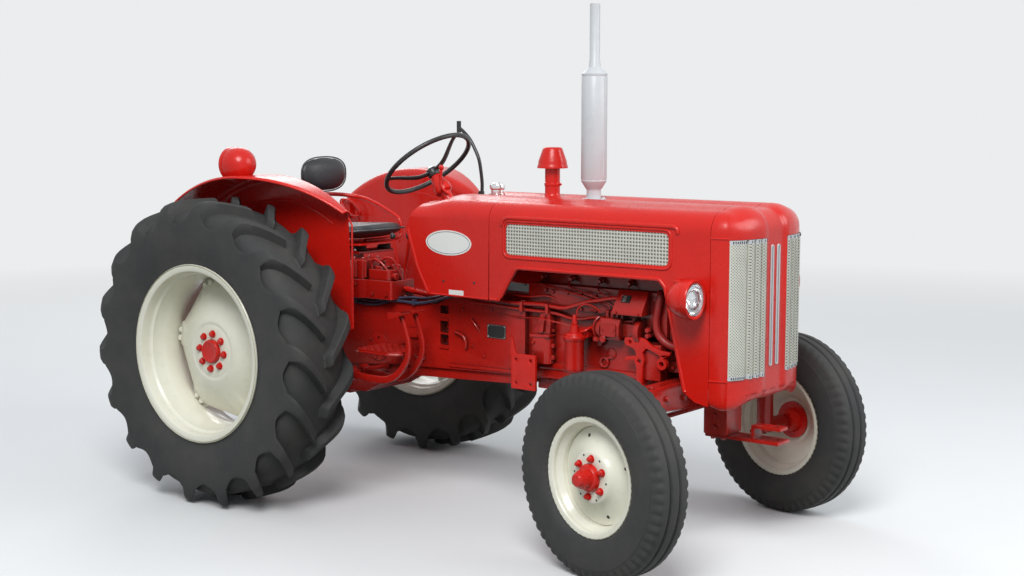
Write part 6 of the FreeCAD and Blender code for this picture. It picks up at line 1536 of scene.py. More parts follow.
def steering():
    shape = Shape().use("black_plastic")
    grip = [(0.0105 * math.sin(a), 0.205 + 0.0108 * math.cos(a)) for a in (2 * math.pi * k / 16 for k in range(16))]
    shape.lathe(grip, 96, "z", closed=True)
    for k in range(3):
        turn = math.radians(120 * k)
        out = Vector((math.cos(turn), math.sin(turn), 0))
        across = Vector((-out.y, out.x, 0))
        path, wides, thicks = [], [], []
        for j in range(13):
            share = j / 12
            radius = 0.018 + (0.205 - 0.018) * share
            drop = -0.046 + 0.046 * smooth_step(radius, 0.055, 0.208)
            path.append(out * radius + Vector((0, 0, drop)))
            wides.append(0.030 - 0.013 * share + 0.006 * smooth_step(share, 0.85, 1.0))
            thicks.append(0.013 - 0.003 * share)
        bar_loft(shape, path, across, wides, thicks)
    shape.lathe([(-0.066, 0.0001), (-0.066, 0.0240), (-0.060, 0.0275), (-0.040, 0.0290), (-0.034, 0.0280),
                 (-0.030, 0.0240), (-0.0285, 0.0205), (-0.0285, 0.0150)], 36, "z")
    shape.use("chrome")
    shape.lathe([(-0.0290, 0.0180), (-0.0255, 0.0178), (-0.0225, 0.0150), (-0.0205, 0.0090), (-0.0200, 0.0001)], 28,
                "z")
    shape.piece("steering_wheel_rim", "steering_wheel", ["steering_wheel"], matrix=WHEEL_PLACE, crease=38)
    column = Shape().use("red_paint")
    column.lathe([(-0.590, 0.0001), (-0.590, 0.0230), (-0.165, 0.0230), (-0.160, 0.0245), (-0.155, 0.0340),
                  (-0.150, 0.0385), (-0.142, 0.0395), (-0.128, 0.0390), (-0.120, 0.0370), (-0.078, 0.0260),
                  (-0.070, 0.0240), (-0.0672, 0.0200), (-0.0672, 0.0001)], 36, "z")
    column.piece("steering_column_tube", "chassis", ["steering_column"], matrix=WHEEL_PLACE, crease=34)
    lever = Shape().use("red_paint")
    lever.tube(route([(0.705, -0.020, 1.322), (0.690, -0.042, 1.345), (0.684, -0.047, 1.375),
                      (0.688, -0.050, 1.410), (0.690, -0.050, 1.430)], 4), [0.0058 + 0.0016 * k / 16 for k in range(17)],
               10)
    lever.ball(spot(0.691, -0.050, 1.4365), 0.0115, 1.1)
    lever.piece("throttle_lever", "chassis", crease=40)


POCKETS = [(0.822, 0.856), (0.740, 0.788), (0.687, 0.731)]


def gearbox():
    shape = Shape().use("red_casting")
    side = rounded([(-0.190, 0.490), (-0.130, 0.430), (0.330, 0.430), (0.520, 0.530), (1.239, 0.560),
                    (1.239, 0.905, 0.03), (0.825, 0.905), (0.760, 0.866, 0.03), (-0.190, 0.862)], 0.015)
    low_side = rounded([(-0.190, 0.490), (-0.130, 0.430), (0.330, 0.430), (0.520, 0.530), (1.239, 0.560),
                        (1.239, 0.606), (0.525, 0.582), (-0.190, 0.555)], 0.006)
    shape.prism(at_axle([(x, z) for x, z in side]), "xz", -0.130, 0.130)
    skin = rounded([(-0.190, 0.545), (0.300, 0.556), (0.525, 0.575), (1.239, 0.600), (1.239, 0.895), (0.825, 0.895),
                    (0.760, 0.860), (-0.190, 0.856)], 0.012)
    for sign in (-1, 1):
        holes = [at_axle(rounded([(0.779, low), (0.824, low), (0.824, high), (0.779, high)], 0.007, 3))
                 for low, high in POCKETS]
        shape.prism(at_axle(skin), "xz", sign * 0.128, sign * 0.165, holes)
        shape.prism(at_axle(low_side), "xz", sign * 0.129, sign * 0.152)
    shape.prism(at_axle(rounded([(-0.190, 0.857), (0.240, 0.857), (0.240, 0.985), (-0.190, 0.985)], 0.018)), "xz",
                -0.115, 0.115, [[(AXLE_X - 0.150 + 0.0255 * math.cos(a), 0.912 + 0.0255 * math.sin(a))
                                 for a in (2 * math.pi * k / 24 for k in range(24))]])
    shape.ease(0.005, 50)
    for sign in (-1, 1):
        shape.prism(at_axle(rounded([(1.219, 0.552), (1.2395, 0.552), (1.2395, 0.912), (1.219, 0.912)], 0.004, 3)),
                    "xz", sign * 0.160, sign * 0.1725)
        shape.rod(spot(-0.020, sign * 0.160, 0.450), spot(-0.020, sign * 0.2385, 0.450), 0.0108, 20, lip=0.002)
        for z in (0.842, 0.764, 0.709):
            shape.nut(spot(0.803, sign * 0.1295, z), (0, sign, 0), 0.018, 0.012)
        shape.prism(at_axle(rounded([(0.776, 0.792), (0.827, 0.792), (0.827, 0.800), (0.776, 0.800)], 0.003, 3)), "xz",
                    sign * 0.163, sign * 0.1695)
        shape.prism(at_axle(rounded([(0.776, 0.672), (0.827, 0.672), (0.827, 0.680), (0.776, 0.680)], 0.003, 3)), "xz",
                    sign * 0.163, sign * 0.1695)
        shape.lathe([(sign * 0.1640, 0.0001), (sign * 0.1640, 0.0640), (sign * 0.1690, 0.0630),
                     (sign * 0.1700, 0.0590), (sign * 0.1700, 0.0001)], 36, "y", spot(0.420, 0, 0.645))
        for k in range(6):
            turn = math.radians(60 * k + 20)
            shape.nut(spot(0.420 + 0.050 * math.cos(turn), sign * 0.170, 0.645 + 0.050 * math.sin(turn)),
                      (0, sign, 0), 0.014, 0.007)
        shape.prism(at_axle(rounded([(0.600, 0.705), (0.660, 0.705), (0.660, 0.745), (0.600, 0.745)], 0.012)), "xz",
                    sign * 0.160, sign * 0.175)
        for x in (0.260, 0.330, 0.560, 0.640, 0.720):
            shape.nut(spot(x, sign * 0.142, 0.8725), (0, 0, 1), 0.015, 0.008)
    shape.prism([(AXLE_X + x, y) for x, y in rounded([(0.325, -0.150), (0.750, -0.150), (0.750, 0.150),
                                                      (0.325, 0.150)], 0.03)], "xy", 0.861, 0.873)
    for y in (-0.085, 0.085):
        for x in (-0.140, -0.060, 0.020, 0.180):
            shape.nut(spot(x, y, 0.985), (0, 0, 1), 0.018, 0.011)
    back = [(y, z) for y, z in rounded([(-0.120, 0.520), (0.120, 0.520), (0.120, 0.700), (-0.120, 0.700)], 0.03)]
    shape.prism(back, "yz", AXLE_X - 0.199, AXLE_X - 0.188)
    for y, z in ((-0.105, 0.535), (0.105, 0.535), (-0.105, 0.685), (0.105, 0.685), (0.0, 0.535), (0.0, 0.687)):
        shape.nut(spot(-0.199, y, z), (-1, 0, 0), 0.018, 0.010)
    shape.tube(route([(0.862, -0.163, 0.746), (0.878, -0.175, 0.748), (0.912, -0.177, 0.738), (0.930, -0.177, 0.712),
                      (0.928, -0.175, 0.688), (0.922, -0.163, 0.680)], 5), 0.0050, 10)
    shape.tube(route([(0.955, -0.163, 0.812), (0.962, -0.173, 0.806), (0.985, -0.174, 0.783),
                      (0.996, -0.163, 0.762)], 5), 0.0045, 10)
    for x, z in ((0.958, 0.700), (1.020, 0.660), (0.905, 0.850), (1.060, 0.858)):
        shape.nut(spot(x, -0.165, z), (0, -1, 0), 0.014, 0.006)
    shape.prism(at_axle(rounded([(0.830, 0.598), (1.180, 0.606), (1.180, 0.618), (0.830, 0.610)], 0.005, 3)), "xz",
                -0.170, -0.160)
    shape.piece("gearbox_casting", "chassis", ["gearbox_housing"], crease=34)
    plate = Shape().use("black_paint")
    outline = rounded([(1.037, 0.741), (1.134, 0.741), (1.134, 0.798), (1.037, 0.798)], 0.007)
    plate.prism(at_axle(outline), "xz", -0.1668, -0.1648)
    plate.use("steel")
    plate.tube([spot(x, -0.1668, z) for x, z in rounded([(1.0395, 0.7435), (1.1315, 0.7435), (1.1315, 0.7955),
                                                         (1.0395, 0.7955)], 0.006)], 0.0009, 6, closed=True)
    for x, z in ((1.044, 0.748), (1.127, 0.748), (1.127, 0.791), (1.044, 0.791)):
        plate.nut(spot(x, -0.1668, z), (0, -1, 0), 0.005, 0.0015, 10)
    plate.piece("blank_plate", "chassis", slot="black_paint", crease=40)
    loom = Shape().use("loom")
    loom.tube(route([(0.150, -0.150, 0.868), (0.200, -0.166, 0.858), (0.258, -0.1725, 0.842), (0.340, -0.1725, 0.831),
                     (0.422, -0.1725, 0.834), (0.484, -0.1725, 0.852), (0.560, -0.1725, 0.858),
                     (0.654, -0.1725, 0.856), (0.740, -0.1725, 0.870), (0.800, -0.176, 0.886),
                     (0.880, -0.183, 0.910), (0.940, -0.172, 0.935), (1.000, -0.150, 0.960)], 6), 0.0062, 10)
    loom.tube(route([(0.150, -0.140, 0.868), (0.210, -0.168, 0.868), (0.280, -0.173, 0.854), (0.360, -0.173, 0.846),
                     (0.430, -0.176, 0.848), (0.500, -0.173, 0.864), (0.600, -0.160, 0.876),
                     (0.700, -0.155, 0.880), (0.800, -0.150, 0.900), (0.900, -0.140, 0.930)], 6), 0.0045, 8)
    for x, z in ((0.300, 0.838), (0.470, 0.850), (0.640, 0.858)):
        loom.block(spot(x - 0.008, -0.181, z - 0.010), spot(x + 0.008, -0.1640, z + 0.012))
    loom.piece("wiring_loom", "chassis", slot="black_plastic", crease=40)
    rods = Shape().use("red_paint")
    for y, z, thick in ((-0.128, 0.930, 0.0085), (-0.104, 0.918, 0.0085)):
        rods.rod(spot(0.380, y, z), spot(0.800, y, z - 0.052), thick, 14, lip=0.001)
    for x, y, z in ((0.560, -0.128, 0.908), (0.700, -0.104, 0.878)):
        rods.rod(spot(x, y, z), spot(x + 0.045, y, z - 0.0055), 0.0125, 6)
    for x, z in ((0.440, 0.922), (0.740, 0.885)):
        rods.block(spot(x - 0.010, -0.142, 0.870), spot(x + 0.010, -0.092, z - 0.006))
    rods.piece("control_rods", "chassis", crease=36)


def hydraulics():
    shape = Shape().use("red_casting")
    shape.prism([(AXLE_X + x, y) for x, y in rounded([(0.303, -0.2345), (0.372, -0.2345), (0.400, -0.2180),
                                                      (0.547, -0.2180), (0.547, -0.062), (0.303, -0.062)], 0.014)],
                "xy", 0.8625, 0.946)
    shape.prism([(AXLE_X + x, y) for x, y in rounded([(0.303, -0.2250), (0.388, -0.2250), (0.388, -0.085),
                                                      (0.303, -0.085)], 0.022)], "xy", 0.944, 1.030)
    shape.prism([(AXLE_X + x, y) for x, y in rounded([(0.392, -0.2100), (0.530, -0.2100), (0.530, -0.100),
                                                      (0.392, -0.100)], 0.03)], "xy", 0.944, 0.992)
    shape.ease(0.006, 40, 3)
    for x in (0.303, 0.345, 0.388):
        shape.rod(spot(x, -0.2250 if x == 0.345 else -0.2100, 0.950), spot(x, -0.2250 if x == 0.345 else -0.2100, 1.026),
                  0.009, 12, lip=0.004)
    for x, z in ((0.322, 0.885), (0.355, 0.925)):
        shape.nut(spot(x, -0.2345, z), (0, -1, 0), 0.016, 0.009)
    for x in (0.440, 0.520):
        shape.nut(spot(x, -0.2180, 0.885), (0, -1, 0), 0.016, 0.009)
    for x, y in ((0.318, -0.205), (0.372, -0.205), (0.318, -0.110), (0.372, -0.110)):
        shape.nut(spot(x, y, 1.030), (0, 0, 1), 0.016, 0.010)
    shape.lathe([(0.9900, 0.0001), (0.9900, 0.0360), (1.0020, 0.0350), (1.0060, 0.0300), (1.0060, 0.0150),
                 (1.0250, 0.0140), (1.0270, 0.0100), (1.0270, 0.0001)], 28, "z", spot(0.450, -0.165, 0))
    shape.lathe([(0.9900, 0.0001), (0.9900, 0.0240), (1.0080, 0.0230), (1.0120, 0.0180), (1.0120, 0.0001)], 24, "z",
                spot(0.505, -0.140, 0))
    shape.rod(spot(0.520, -0.180, 0.965), spot(0.549, -0.180, 0.962), 0.0160, 18, lip=0.003)
    shape.tube(route([(0.420, -0.195, 0.985), (0.418, -0.200, 1.020), (0.440, -0.205, 1.036), (0.475, -0.200, 1.020),
                      (0.500, -0.190, 0.990)], 5), 0.0055, 10)
    shape.tube(route([(0.460, -0.185, 1.020), (0.480, -0.180, 1.042), (0.512, -0.165, 1.035), (0.530, -0.150, 0.985),
                      (0.542, -0.130, 0.930)], 5), 0.0055, 10)
    shape.use("red_paint")
    shape.tube(route([(0.470, -0.085, 0.940), (0.470, -0.085, 1.000), (0.462, -0.092, 1.060),
                      (0.452, -0.098, 1.120)], 5), 0.0050, 10)
    shape.use("black_plastic")
    shape.ball(spot(0.451, -0.099, 1.130), 0.0125, 1.15)
    shape.piece("hydraulic_casting", "chassis", ["hydraulic_control"], crease=34)
    bracket = softened("top_link_bracket", "red_casting", 0.003)
    for y, z in ((-0.055, 0.752), (0.055, 0.752), (-0.055, 0.828), (0.055, 0.828)):
        bracket.nut(spot(-0.202, y, z), (-1, 0, 0), 0.018, 0.010)
    bracket.piece("top_link_casting", "chassis", ["top_link_bracket"], crease=34)
    plates = softened("side_plates", "red_paint", 0.0025)
    for sign in (-1, 1):
        plates.prism([(AXLE_X + 1.222, 0.700), (AXLE_X + 1.252, 0.703), (AXLE_X + 1.230, 0.775)], "xz", sign * 0.2485,
                     sign * 0.2425)
    plates.piece("side_plate_sheets", "chassis", ["side_plates"], crease=34)
    axles = softened("rear_axle_housings", "red_casting", 0.004)
    for sign in (-1, 1):
        for k in range(10):
            turn = math.radians(36 * k + 10)
            axles.nut(spot(0.120 * math.cos(turn), sign * 0.189, REAR_Z + 0.120 * math.sin(turn)), (0, sign, 0),
                      0.020, 0.011)
        for k in range(8):
            turn = math.radians(45 * k + 10)
            axles.nut(spot(0.092 * math.cos(turn), sign * 0.574, REAR_Z + 0.092 * math.sin(turn)), (0, -sign, 0),
                      0.018, 0.010)
        for k in range(6):
            turn = math.radians(60 * k + 30)
            rib = [(0.074, 0.190), (0.118, 0.190), (0.074, 0.300)]
            out = Vector((math.cos(turn), 0, math.sin(turn)))
            side = Vector((-out.z, 0, out.x)) * 0.006
            centre = Vector((AXLE_X, 0, REAR_Z))
            rows = [[centre + out * r + Vector((0, sign * y, 0)) + side * s for r, y in rib] for s in (-1, 1)]
            made = [[axles.bm.verts.new(point) for point in row] for row in rows]
            axles.face(made[0])
            axles.face(list(reversed(made[1])))
            for i in range(3):
                axles.face((made[0][i], made[0][(i + 1) % 3], made[1][(i + 1) % 3], made[1][i]))
    axles.piece("axle_housing_castings", "chassis", ["rear_axle_housings"], crease=34)


def engine():
    shape = softened("engine_block", "red_casting", 0.005)
    for x in [1.275 + 0.055 * k for k in range(12)]:
        for sign in (-1, 1):
            shape.nut(spot(x, sign * 0.126, 0.594), (0, 0, -1), 0.014, 0.008)
    shape.prism([(AXLE_X + x, y) for x, y in rounded([(1.256, -0.138), (1.890, -0.138), (1.890, 0.138),
                                                      (1.256, 0.138)], 0.015)], "xy", 0.593, 0.606)
    for x in [1.375 + 0.070 * k for k in range(7)]:
        for z in (0.897, 0.957):
            shape.nut(spot(x, -0.162, z), (0, -1, 0), 0.013, 0.007)
    for x in [1.300 + 0.075 * k for k in range(8)]:
        for sign in (-1, 1):
            shape.nut(spot(x, sign * 0.088, 1.075), (0, 0, 1), 0.018, 0.012)
            shape.nut(spot(x + 0.03, sign * 0.150, 0.960), (0, sign, 0), 0.016, 0.008)
    for x in (1.330, 1.490, 1.650, 1.810):
        shape.lathe([(0.1495, 0.0001), (0.1495, 0.0230), (0.1530, 0.0230), (0.1545, 0.0200), (0.1545, 0.0001)], 22,
                    "y", spot(x, 0, 0.735))
        shape.lathe([(-0.1495, 0.0001), (-0.1495, 0.0230), (-0.1530, 0.0230), (-0.1545, 0.0200), (-0.1545, 0.0001)],
                    22, "y", spot(x, 0, 0.730))
    for k in range(10):
        x, z = 1.9262, 0.745 + 0.025 * k
        for sign in (-1, 1):
            if k % 2 == 0:
                shape.nut(spot(x, sign * 0.108, z), (1, 0, 0), 0.013, 0.007)
    case = Shape().use("red_casting")
    case.prism([(AXLE_X + x, y) for x, y in rounded([(1.286, -0.148), (1.286, -0.196), (1.352, -0.196),
                                                     (1.376, -0.182), (1.376, -0.148)], 0.012)], "xy", 0.664, 0.776)
    case.prism(at_axle(rounded([(1.286, 0.774), (1.372, 0.780), (1.377, 0.840), (1.369, 0.874), (1.326, 0.866),
                                (1.312, 0.836), (1.296, 0.806)], 0.008)), "xz", -0.184, -0.148)
    case.prism(at_axle(rounded([(1.282, 0.770), (1.380, 0.774), (1.380, 0.786), (1.282, 0.782)], 0.003, 3)), "xz",
               -0.200, -0.148)
    case.ease(0.004)
    case.prism(at_axle(rounded([(1.328, 0.792), (1.346, 0.793), (1.356, 0.860), (1.342, 0.860)], 0.003, 3)), "xz",
               -0.196, -0.182)
    for z in (0.690, 0.738):
        case.nut(spot(1.372, -0.170, z), (1, 0, 0), 0.022, 0.015)
        case.nut(spot(1.300, -0.196, z + 0.01), (0, -1, 0), 0.014, 0.007)
    for z in (0.800, 0.836):
        case.nut(spot(1.372, -0.166, z), (1, 0, 0), 0.016, 0.012)
    case.nut(spot(1.346, -0.166, 0.870), (0, 0, 1), 0.020, 0.014)
    case.piece("clutch_front_case", "chassis", crease=34)
    for x in (1.618,):
        shape.tube([spot(x + 0.018 * math.cos(a), -0.153, 0.694 + 0.018 * math.sin(a))
                    for a in (2 * math.pi * k / 20 for k in range(20))], 0.0062, 8, closed=True)
    shape.prism(at_axle([(1.628, 0.704), (1.662, 0.716), (1.660, 0.724), (1.622, 0.712)]), "xz", -0.158, -0.148)
    for z in (0.821, 0.843):
        shape.lathe([(-0.1900, 0.0001), (-0.1900, 0.0090), (-0.1860, 0.0105), (-0.1490, 0.0105)], 18, "y",
                    spot(1.838, 0, z))
        shape.nut(spot(1.838, -0.176, z), (0, -1, 0), 0.026, 0.008)
    shape.piece("engine_casting", "chassis", ["engine_block"], crease=34)
    pipes = Shape().use("red_casting")
    pipes.tube(route([(1.080, -0.150, 0.905), (1.109, -0.168, 0.902), (1.187, -0.176, 0.898),
                      (1.319, -0.176, 0.902), (1.428, -0.178, 0.896), (1.488, -0.180, 0.910), (1.546, -0.182, 0.929),
                      (1.608, -0.182, 0.941), (1.665, -0.182, 0.953), (1.712, -0.176, 0.958)], 6), 0.0085, 12)
    pipes.tube(route([(0.941, -0.160, 0.885), (1.027, -0.172, 0.884), (1.154, -0.172, 0.878),
                      (1.275, -0.172, 0.874), (1.376, -0.170, 0.872), (1.418, -0.166, 0.866),
                      (1.466, -0.164, 0.856), (1.520, -0.164, 0.858), (1.569, -0.164, 0.868),
                      (1.602, -0.166, 0.872)], 6), 0.0072, 12)
    pipes.tube(route([(1.161, -0.150, 0.926), (1.255, -0.164, 0.928), (1.331, -0.166, 0.938),
                      (1.373, -0.164, 0.933), (1.415, -0.155, 0.914), (1.430, -0.148, 0.900)], 6), 0.0045, 10)
    pipes.tube(route([(1.535, -0.222, 0.880), (1.535, -0.218, 0.905), (1.560, -0.205, 0.925), (1.600, -0.195, 0.915),
                      (1.625, -0.190, 0.895)], 6), 0.0038, 8)
    pipes.tube(route([(1.097, -0.167, 0.846), (1.209, -0.170, 0.841), (1.337, -0.213, 0.850),
                      (1.412, -0.205, 0.843), (1.476, -0.180, 0.827), (1.537, -0.164, 0.808),
                      (1.575, -0.152, 0.800)], 6), 0.0026, 8)
    for x in (1.230, 1.360):
        pipes.block(spot(x - 0.007, -0.190, 0.868), spot(x + 0.007, -0.150, 0.908))
    for x in (1.300, 1.440, 1.580, 1.720):
        pipes.rod(spot(x, -0.088, 1.020), spot(x, -0.128, 1.012), 0.0120, 14, lip=0.002)
        pipes.nut(spot(x, -0.128, 1.012), (0, -1, -0.2), 0.020, 0.012)
    pipes.piece("engine_pipes", "chassis", crease=40)
    pump = Shape().use("red_casting")
    pump.prism([(y, z) for y, z in rounded([(-0.125, 0.792), (-0.196, 0.792), (-0.210, 0.815), (-0.210, 0.850),
                                            (-0.196, 0.878), (-0.125, 0.878)], 0.008)], "yz", AXLE_X + 1.628,
               AXLE_X + 1.722)
    pump.prism([(y, z) for y, z in rounded([(-0.125, 0.800), (-0.180, 0.800), (-0.180, 0.862),
                                            (-0.125, 0.862)], 0.012)], "yz", AXLE_X + 1.720, AXLE_X + 1.790)
    pump.prism([(y, z) for y, z in ((-0.150, 0.990), (-0.166, 0.990), (-0.2165, 0.912), (-0.2165, 0.898),
                                    (-0.150, 0.898))], "yz", AXLE_X + 1.694, AXLE_X + 1.832)
    pump.ease(0.0035)
    pump.lathe([(1.5960, 0.0001), (1.5960, 0.0360), (1.6000, 0.0440), (1.6080, 0.0480), (1.6240, 0.0480),
                (1.6280, 0.0520), (1.6340, 0.0520), (1.6340, 0.0001)], 36, "x", Vector((AXLE_X, -0.163, 0.832)))
    pump.lathe([(1.7880, 0.0001), (1.7880, 0.0480), (1.7960, 0.0500), (1.8120, 0.0500), (1.8120, 0.0001)], 36, "x",
               Vector((AXLE_X, -0.165, 0.832)))
    for k in range(5):
        turn = math.radians(72 * k + 20)
        pump.nut(spot(1.5985, -0.163 + 0.035 * math.cos(turn), 0.832 + 0.035 * math.sin(turn)), (-1, 0, 0), 0.012, 0.006)
        pump.nut(spot(1.6340, -0.163 + 0.044 * math.cos(turn), 0.832 + 0.044 * math.sin(turn)), (1, 0, 0), 0.011, 0.006)
    for x in (1.645, 1.668, 1.691, 1.714):
        pump.lathe([(0.8760, 0.0001), (0.8760, 0.0105), (0.8800, 0.0105), (0.8820, 0.0080), (0.8960, 0.0080),
                    (0.8970, 0.0095), (0.9040, 0.0095), (0.9040, 0.0001)], 18, "z", spot(x, -0.172, 0))
    pump.prism(at_axle(rounded([(1.640, 0.808), (1.710, 0.808), (1.710, 0.856), (1.640, 0.856)], 0.008)), "xz", -0.2145,
               -0.209)
    for x, z in ((1.648, 0.832), (1.702, 0.832)):
        pump.nut(spot(x, -0.2145, z), (0, -1, 0), 0.010, 0.003)
    pump.rod(spot(1.650, -0.208, 0.796), spot(1.650, -0.217, 0.796), 0.014, 18, lip=0.002)
    pump.rod(spot(1.722, -0.170, 0.866), spot(1.768, -0.170, 0.872), 0.0065, 12)
    pump.nut(spot(1.768, -0.170, 0.864), (0, 0, 1), 0.019, 0.022)
    pump.lathe([(0.7820, 0.0001), (0.7820, 0.0150), (0.7860, 0.0180), (0.7990, 0.0180), (0.8020, 0.0140),
                (0.8020, 0.0001)], 22, "z", spot(1.612, -0.196, 0))
    pump.tube(route([(1.612, -0.205, 0.800), (1.606, -0.213, 0.825), (1.610, -0.211, 0.860), (1.622, -0.196, 0.880)], 4),
              0.0038, 8)
    for x in (1.712, 1.814):
        pump.nut(spot(x, -0.2165, 0.905), (0, -1, 0), 0.012, 0.006)
    for index, x in enumerate((1.645, 1.668, 1.691, 1.714)):
        end = 1.300 + 0.140 * index
        pump.tube(route([(x, -0.172, 0.900), (x, -0.174, 0.925), ((x + end) / 2, -0.178 - 0.002 * index, 0.962),
                         (end + 0.01, -0.160, 0.985), (end, -0.134, 1.004)], 6), 0.0031, 8)
    pump.use("black_paint")
    pump.prism([(y, z) for y, z in ((-0.1958, 0.9465), (-0.1975, 0.9450), (-0.1805, 0.9712), (-0.1790, 0.9700))],
               "yz", AXLE_X + 1.722, AXLE_X + 1.762)
    pump.use("steel")
    pump.prism([(y, z) for y, z in ((-0.1950, 0.9490), (-0.1978, 0.9470), (-0.1820, 0.9700), (-0.1790, 0.9700))],
               "yz", AXLE_X + 1.728, AXLE_X + 1.744)
    pump.piece("injection_pump_casting", "chassis", ["injection_pump"], crease=34)
    can = Shape().use("red_paint")
    foot = spot(1.522, -0.222, 0)
    can.lathe([(0.6550, 0.0001), (0.6550, 0.0260), (0.6580, 0.0330), (0.6650, 0.0370), (0.6740, 0.0385),
               (0.7760, 0.0385), (0.7790, 0.0400), (0.7830, 0.0440), (0.7900, 0.0465), (0.7960, 0.0465),
               (0.8010, 0.0440), (0.8030, 0.0380), (0.8100, 0.0330), (0.8130, 0.0180), (0.8380, 0.0165),
               (0.8410, 0.0130), (0.8450, 0.0090), (0.8760, 0.0085), (0.8820, 0.0060), (0.8830, 0.0001)], 36, "z",
              foot)
    can.nut(foot + Vector((0, 0, 0.8450)), (0, 0, 1), 0.024, 0.012)
    can.prism(at_axle(rounded([(1.500, 0.792), (1.575, 0.792), (1.575, 0.826), (1.500, 0.826)], 0.008)), "xz", -0.205,
              -0.149)
    can.tube(route([(1.552, -0.222, 0.818), (1.572, -0.222, 0.822), (1.580, -0.210, 0.830), (1.590, -0.185, 0.838)], 4),
             0.0055, 10)
    for x in (1.512, 1.562):
        can.nut(spot(x, -0.205, 0.809), (0, -1, 0), 0.014, 0.008)
    can.piece("fuel_filter_can", "chassis", ["fuel_filter"], crease=32)
    arm = Shape().use("red_paint")
    outline = rounded([(1.743, 0.809), (1.806, 0.816), (1.834, 0.811), (1.869, 0.786), (1.904, 0.773), (1.950, 0.769),
                       (1.950, 0.755), (1.935, 0.756), (1.927, 0.745), (1.912, 0.748), (1.869, 0.767), (1.843, 0.775),
                       (1.825, 0.756), (1.834, 0.727), (1.828, 0.700), (1.826, 0.625), (1.799, 0.625), (1.798, 0.700),
                       (1.787, 0.723), (1.798, 0.742), (1.791, 0.765), (1.771, 0.775), (1.743, 0.782)], 0.008, 4)
    holes = []
    for x, z, radius in ((1.769, 0.794, 0.0075), (1.811, 0.723, 0.0085)):
        holes.append([(x + radius * math.cos(a), z + radius * math.sin(a)) for a in
                      (2 * math.pi * k / 14 for k in range(14))])
    arm.prism(at_axle(outline), "xz", -0.200, -0.186, [at_axle(hole) for hole in holes])
    arm.prism(at_axle(rounded([(1.743, 0.718), (1.800, 0.728), (1.800, 0.744), (1.743, 0.733)], 0.005, 3)), "xz",
              -0.197, -0.186)
    arm.ease(0.0025)
    arm.lathe([(-0.203, 0.0105), (-0.203, 0.0220), (-0.184, 0.0220), (-0.184, 0.0105)], 28, "y", spot(1.914, 0, 0.721),
              closed=True)
    arm.prism(at_axle([(1.902, 0.734), (1.918, 0.740), (1.936, 0.758), (1.906, 0.752)]), "xz", -0.200, -0.186)
    arm.rod(spot(1.812, -0.188, 0.640), spot(1.812, -0.148, 0.640), 0.012, 16)
    arm.rod(spot(1.760, -0.188, 0.795), spot(1.760, -0.148, 0.795), 0.013, 16)
    arm.rod(spot(1.880, -0.188, 0.776), spot(1.880, -0.148, 0.776), 0.010, 16)
    arm.piece("engine_bracket", "chassis", crease=34)
    manifold = softened("manifold", "red_casting", 0.006)
    for x in (1.400, 1.500, 1.650, 1.750):
        manifold.rod(spot(x, 0.100, 1.018), spot(x, 0.150, 1.018), 0.024, 18)
        for lift in (-0.020, 0.020):
            manifold.nut(spot(x + 0.034, 0.112, 1.018 + lift), (0, 1, 0), 0.016, 0.012)
    manifold.piece("manifold_casting", "chassis", ["manifold"], crease=40)
    hose = Shape().use("hose_red")
    hose.tube(route([(1.900, -0.098, 0.870), (1.926, -0.098, 0.862), (1.944, -0.100, 0.850), (1.956, -0.115, 0.830),
                     (1.968, -0.134, 0.810), (1.988, -0.141, 0.798), (2.012, -0.142, 0.796)], 6), 0.0168, 18)
    hose.tube(route([(1.868, -0.140, 0.985), (1.880, -0.158, 0.975), (1.874, -0.165, 0.930), (1.866, -0.165, 0.880),
                     (1.872, -0.164, 0.835), (1.895, -0.160, 0.805), (1.930, -0.156, 0.787), (1.975, -0.152, 0.780),
                     (2.011, -0.150, 0.778)], 6), 0.0150, 18)
    hose.use("steel")
    for x in (1.998, 1.985):
        hose.lathe([(-0.004, 0.0155), (-0.004, 0.0178), (0.004, 0.0178), (0.004, 0.0155)], 24, "x",
                   spot(x, -0.1515 if x > 1.99 else -0.1525, 0.7785), closed=True)
    hose.piece("coolant_hoses", "chassis", ["coolant_hose"], slot="black_plastic", crease=40)
    radiator = softened("radiator", "black_paint", 0.004)
    for k in range(30):
        y = -0.200 + 0.0138 * k
        radiator.block(spot(2.0702, y - 0.0012, 0.745), spot(2.0745, y + 0.0012, 1.170))
    radiator.piece("radiator_core", "chassis", ["radiator"], crease=34)
    fan = Shape().use("black_paint")
    fan.rod(spot(1.927, 0, 0.930), spot(1.985, 0, 0.930), 0.030, 24, lip=0.003)
    fan.lathe([(1.930, 0.0300), (1.930, 0.0620), (1.9345, 0.0520), (1.9395, 0.0520), (1.9440, 0.0620),
               (1.9440, 0.0300)], 32, "x", Vector((AXLE_X, 0, 0.930)))
    fan.lathe([(1.930, 0.0001), (1.930, 0.0720), (1.9345, 0.0620), (1.9395, 0.0620), (1.9440, 0.0720),
               (1.9440, 0.0001)], 32, "x", Vector((AXLE_X, 0, 0.772)))
    for k in range(5):
        turn = math.radians(72 * k + 12)
        out = Vector((0, math.cos(turn), math.sin(turn)))
        across = Vector((0.45, -out.z, out.y)).normalized()
        bar_loft(fan, [spot(1.968, 0, 0.930) + out * r for r in (0.028, 0.080, 0.190)], across,
                 [0.040, 0.062, 0.075], [0.003, 0.0025, 0.002], 8)
    fan.use("rubber")
    belt = [spot(1.937, 0.0560 * math.cos(a), 0.930 + 0.0560 * math.sin(a))
            for a in (math.pi * k / 12 for k in range(13))]
    belt += [spot(1.937, 0.0660 * math.cos(a), 0.772 + 0.0660 * math.sin(a))
             for a in (math.pi + math.pi * k / 12 for k in range(13))]
    fan.tube(belt, 0.0055, 8, closed=True)
    fan.piece("fan_and_belt", "chassis", slot="black_paint", crease=40)


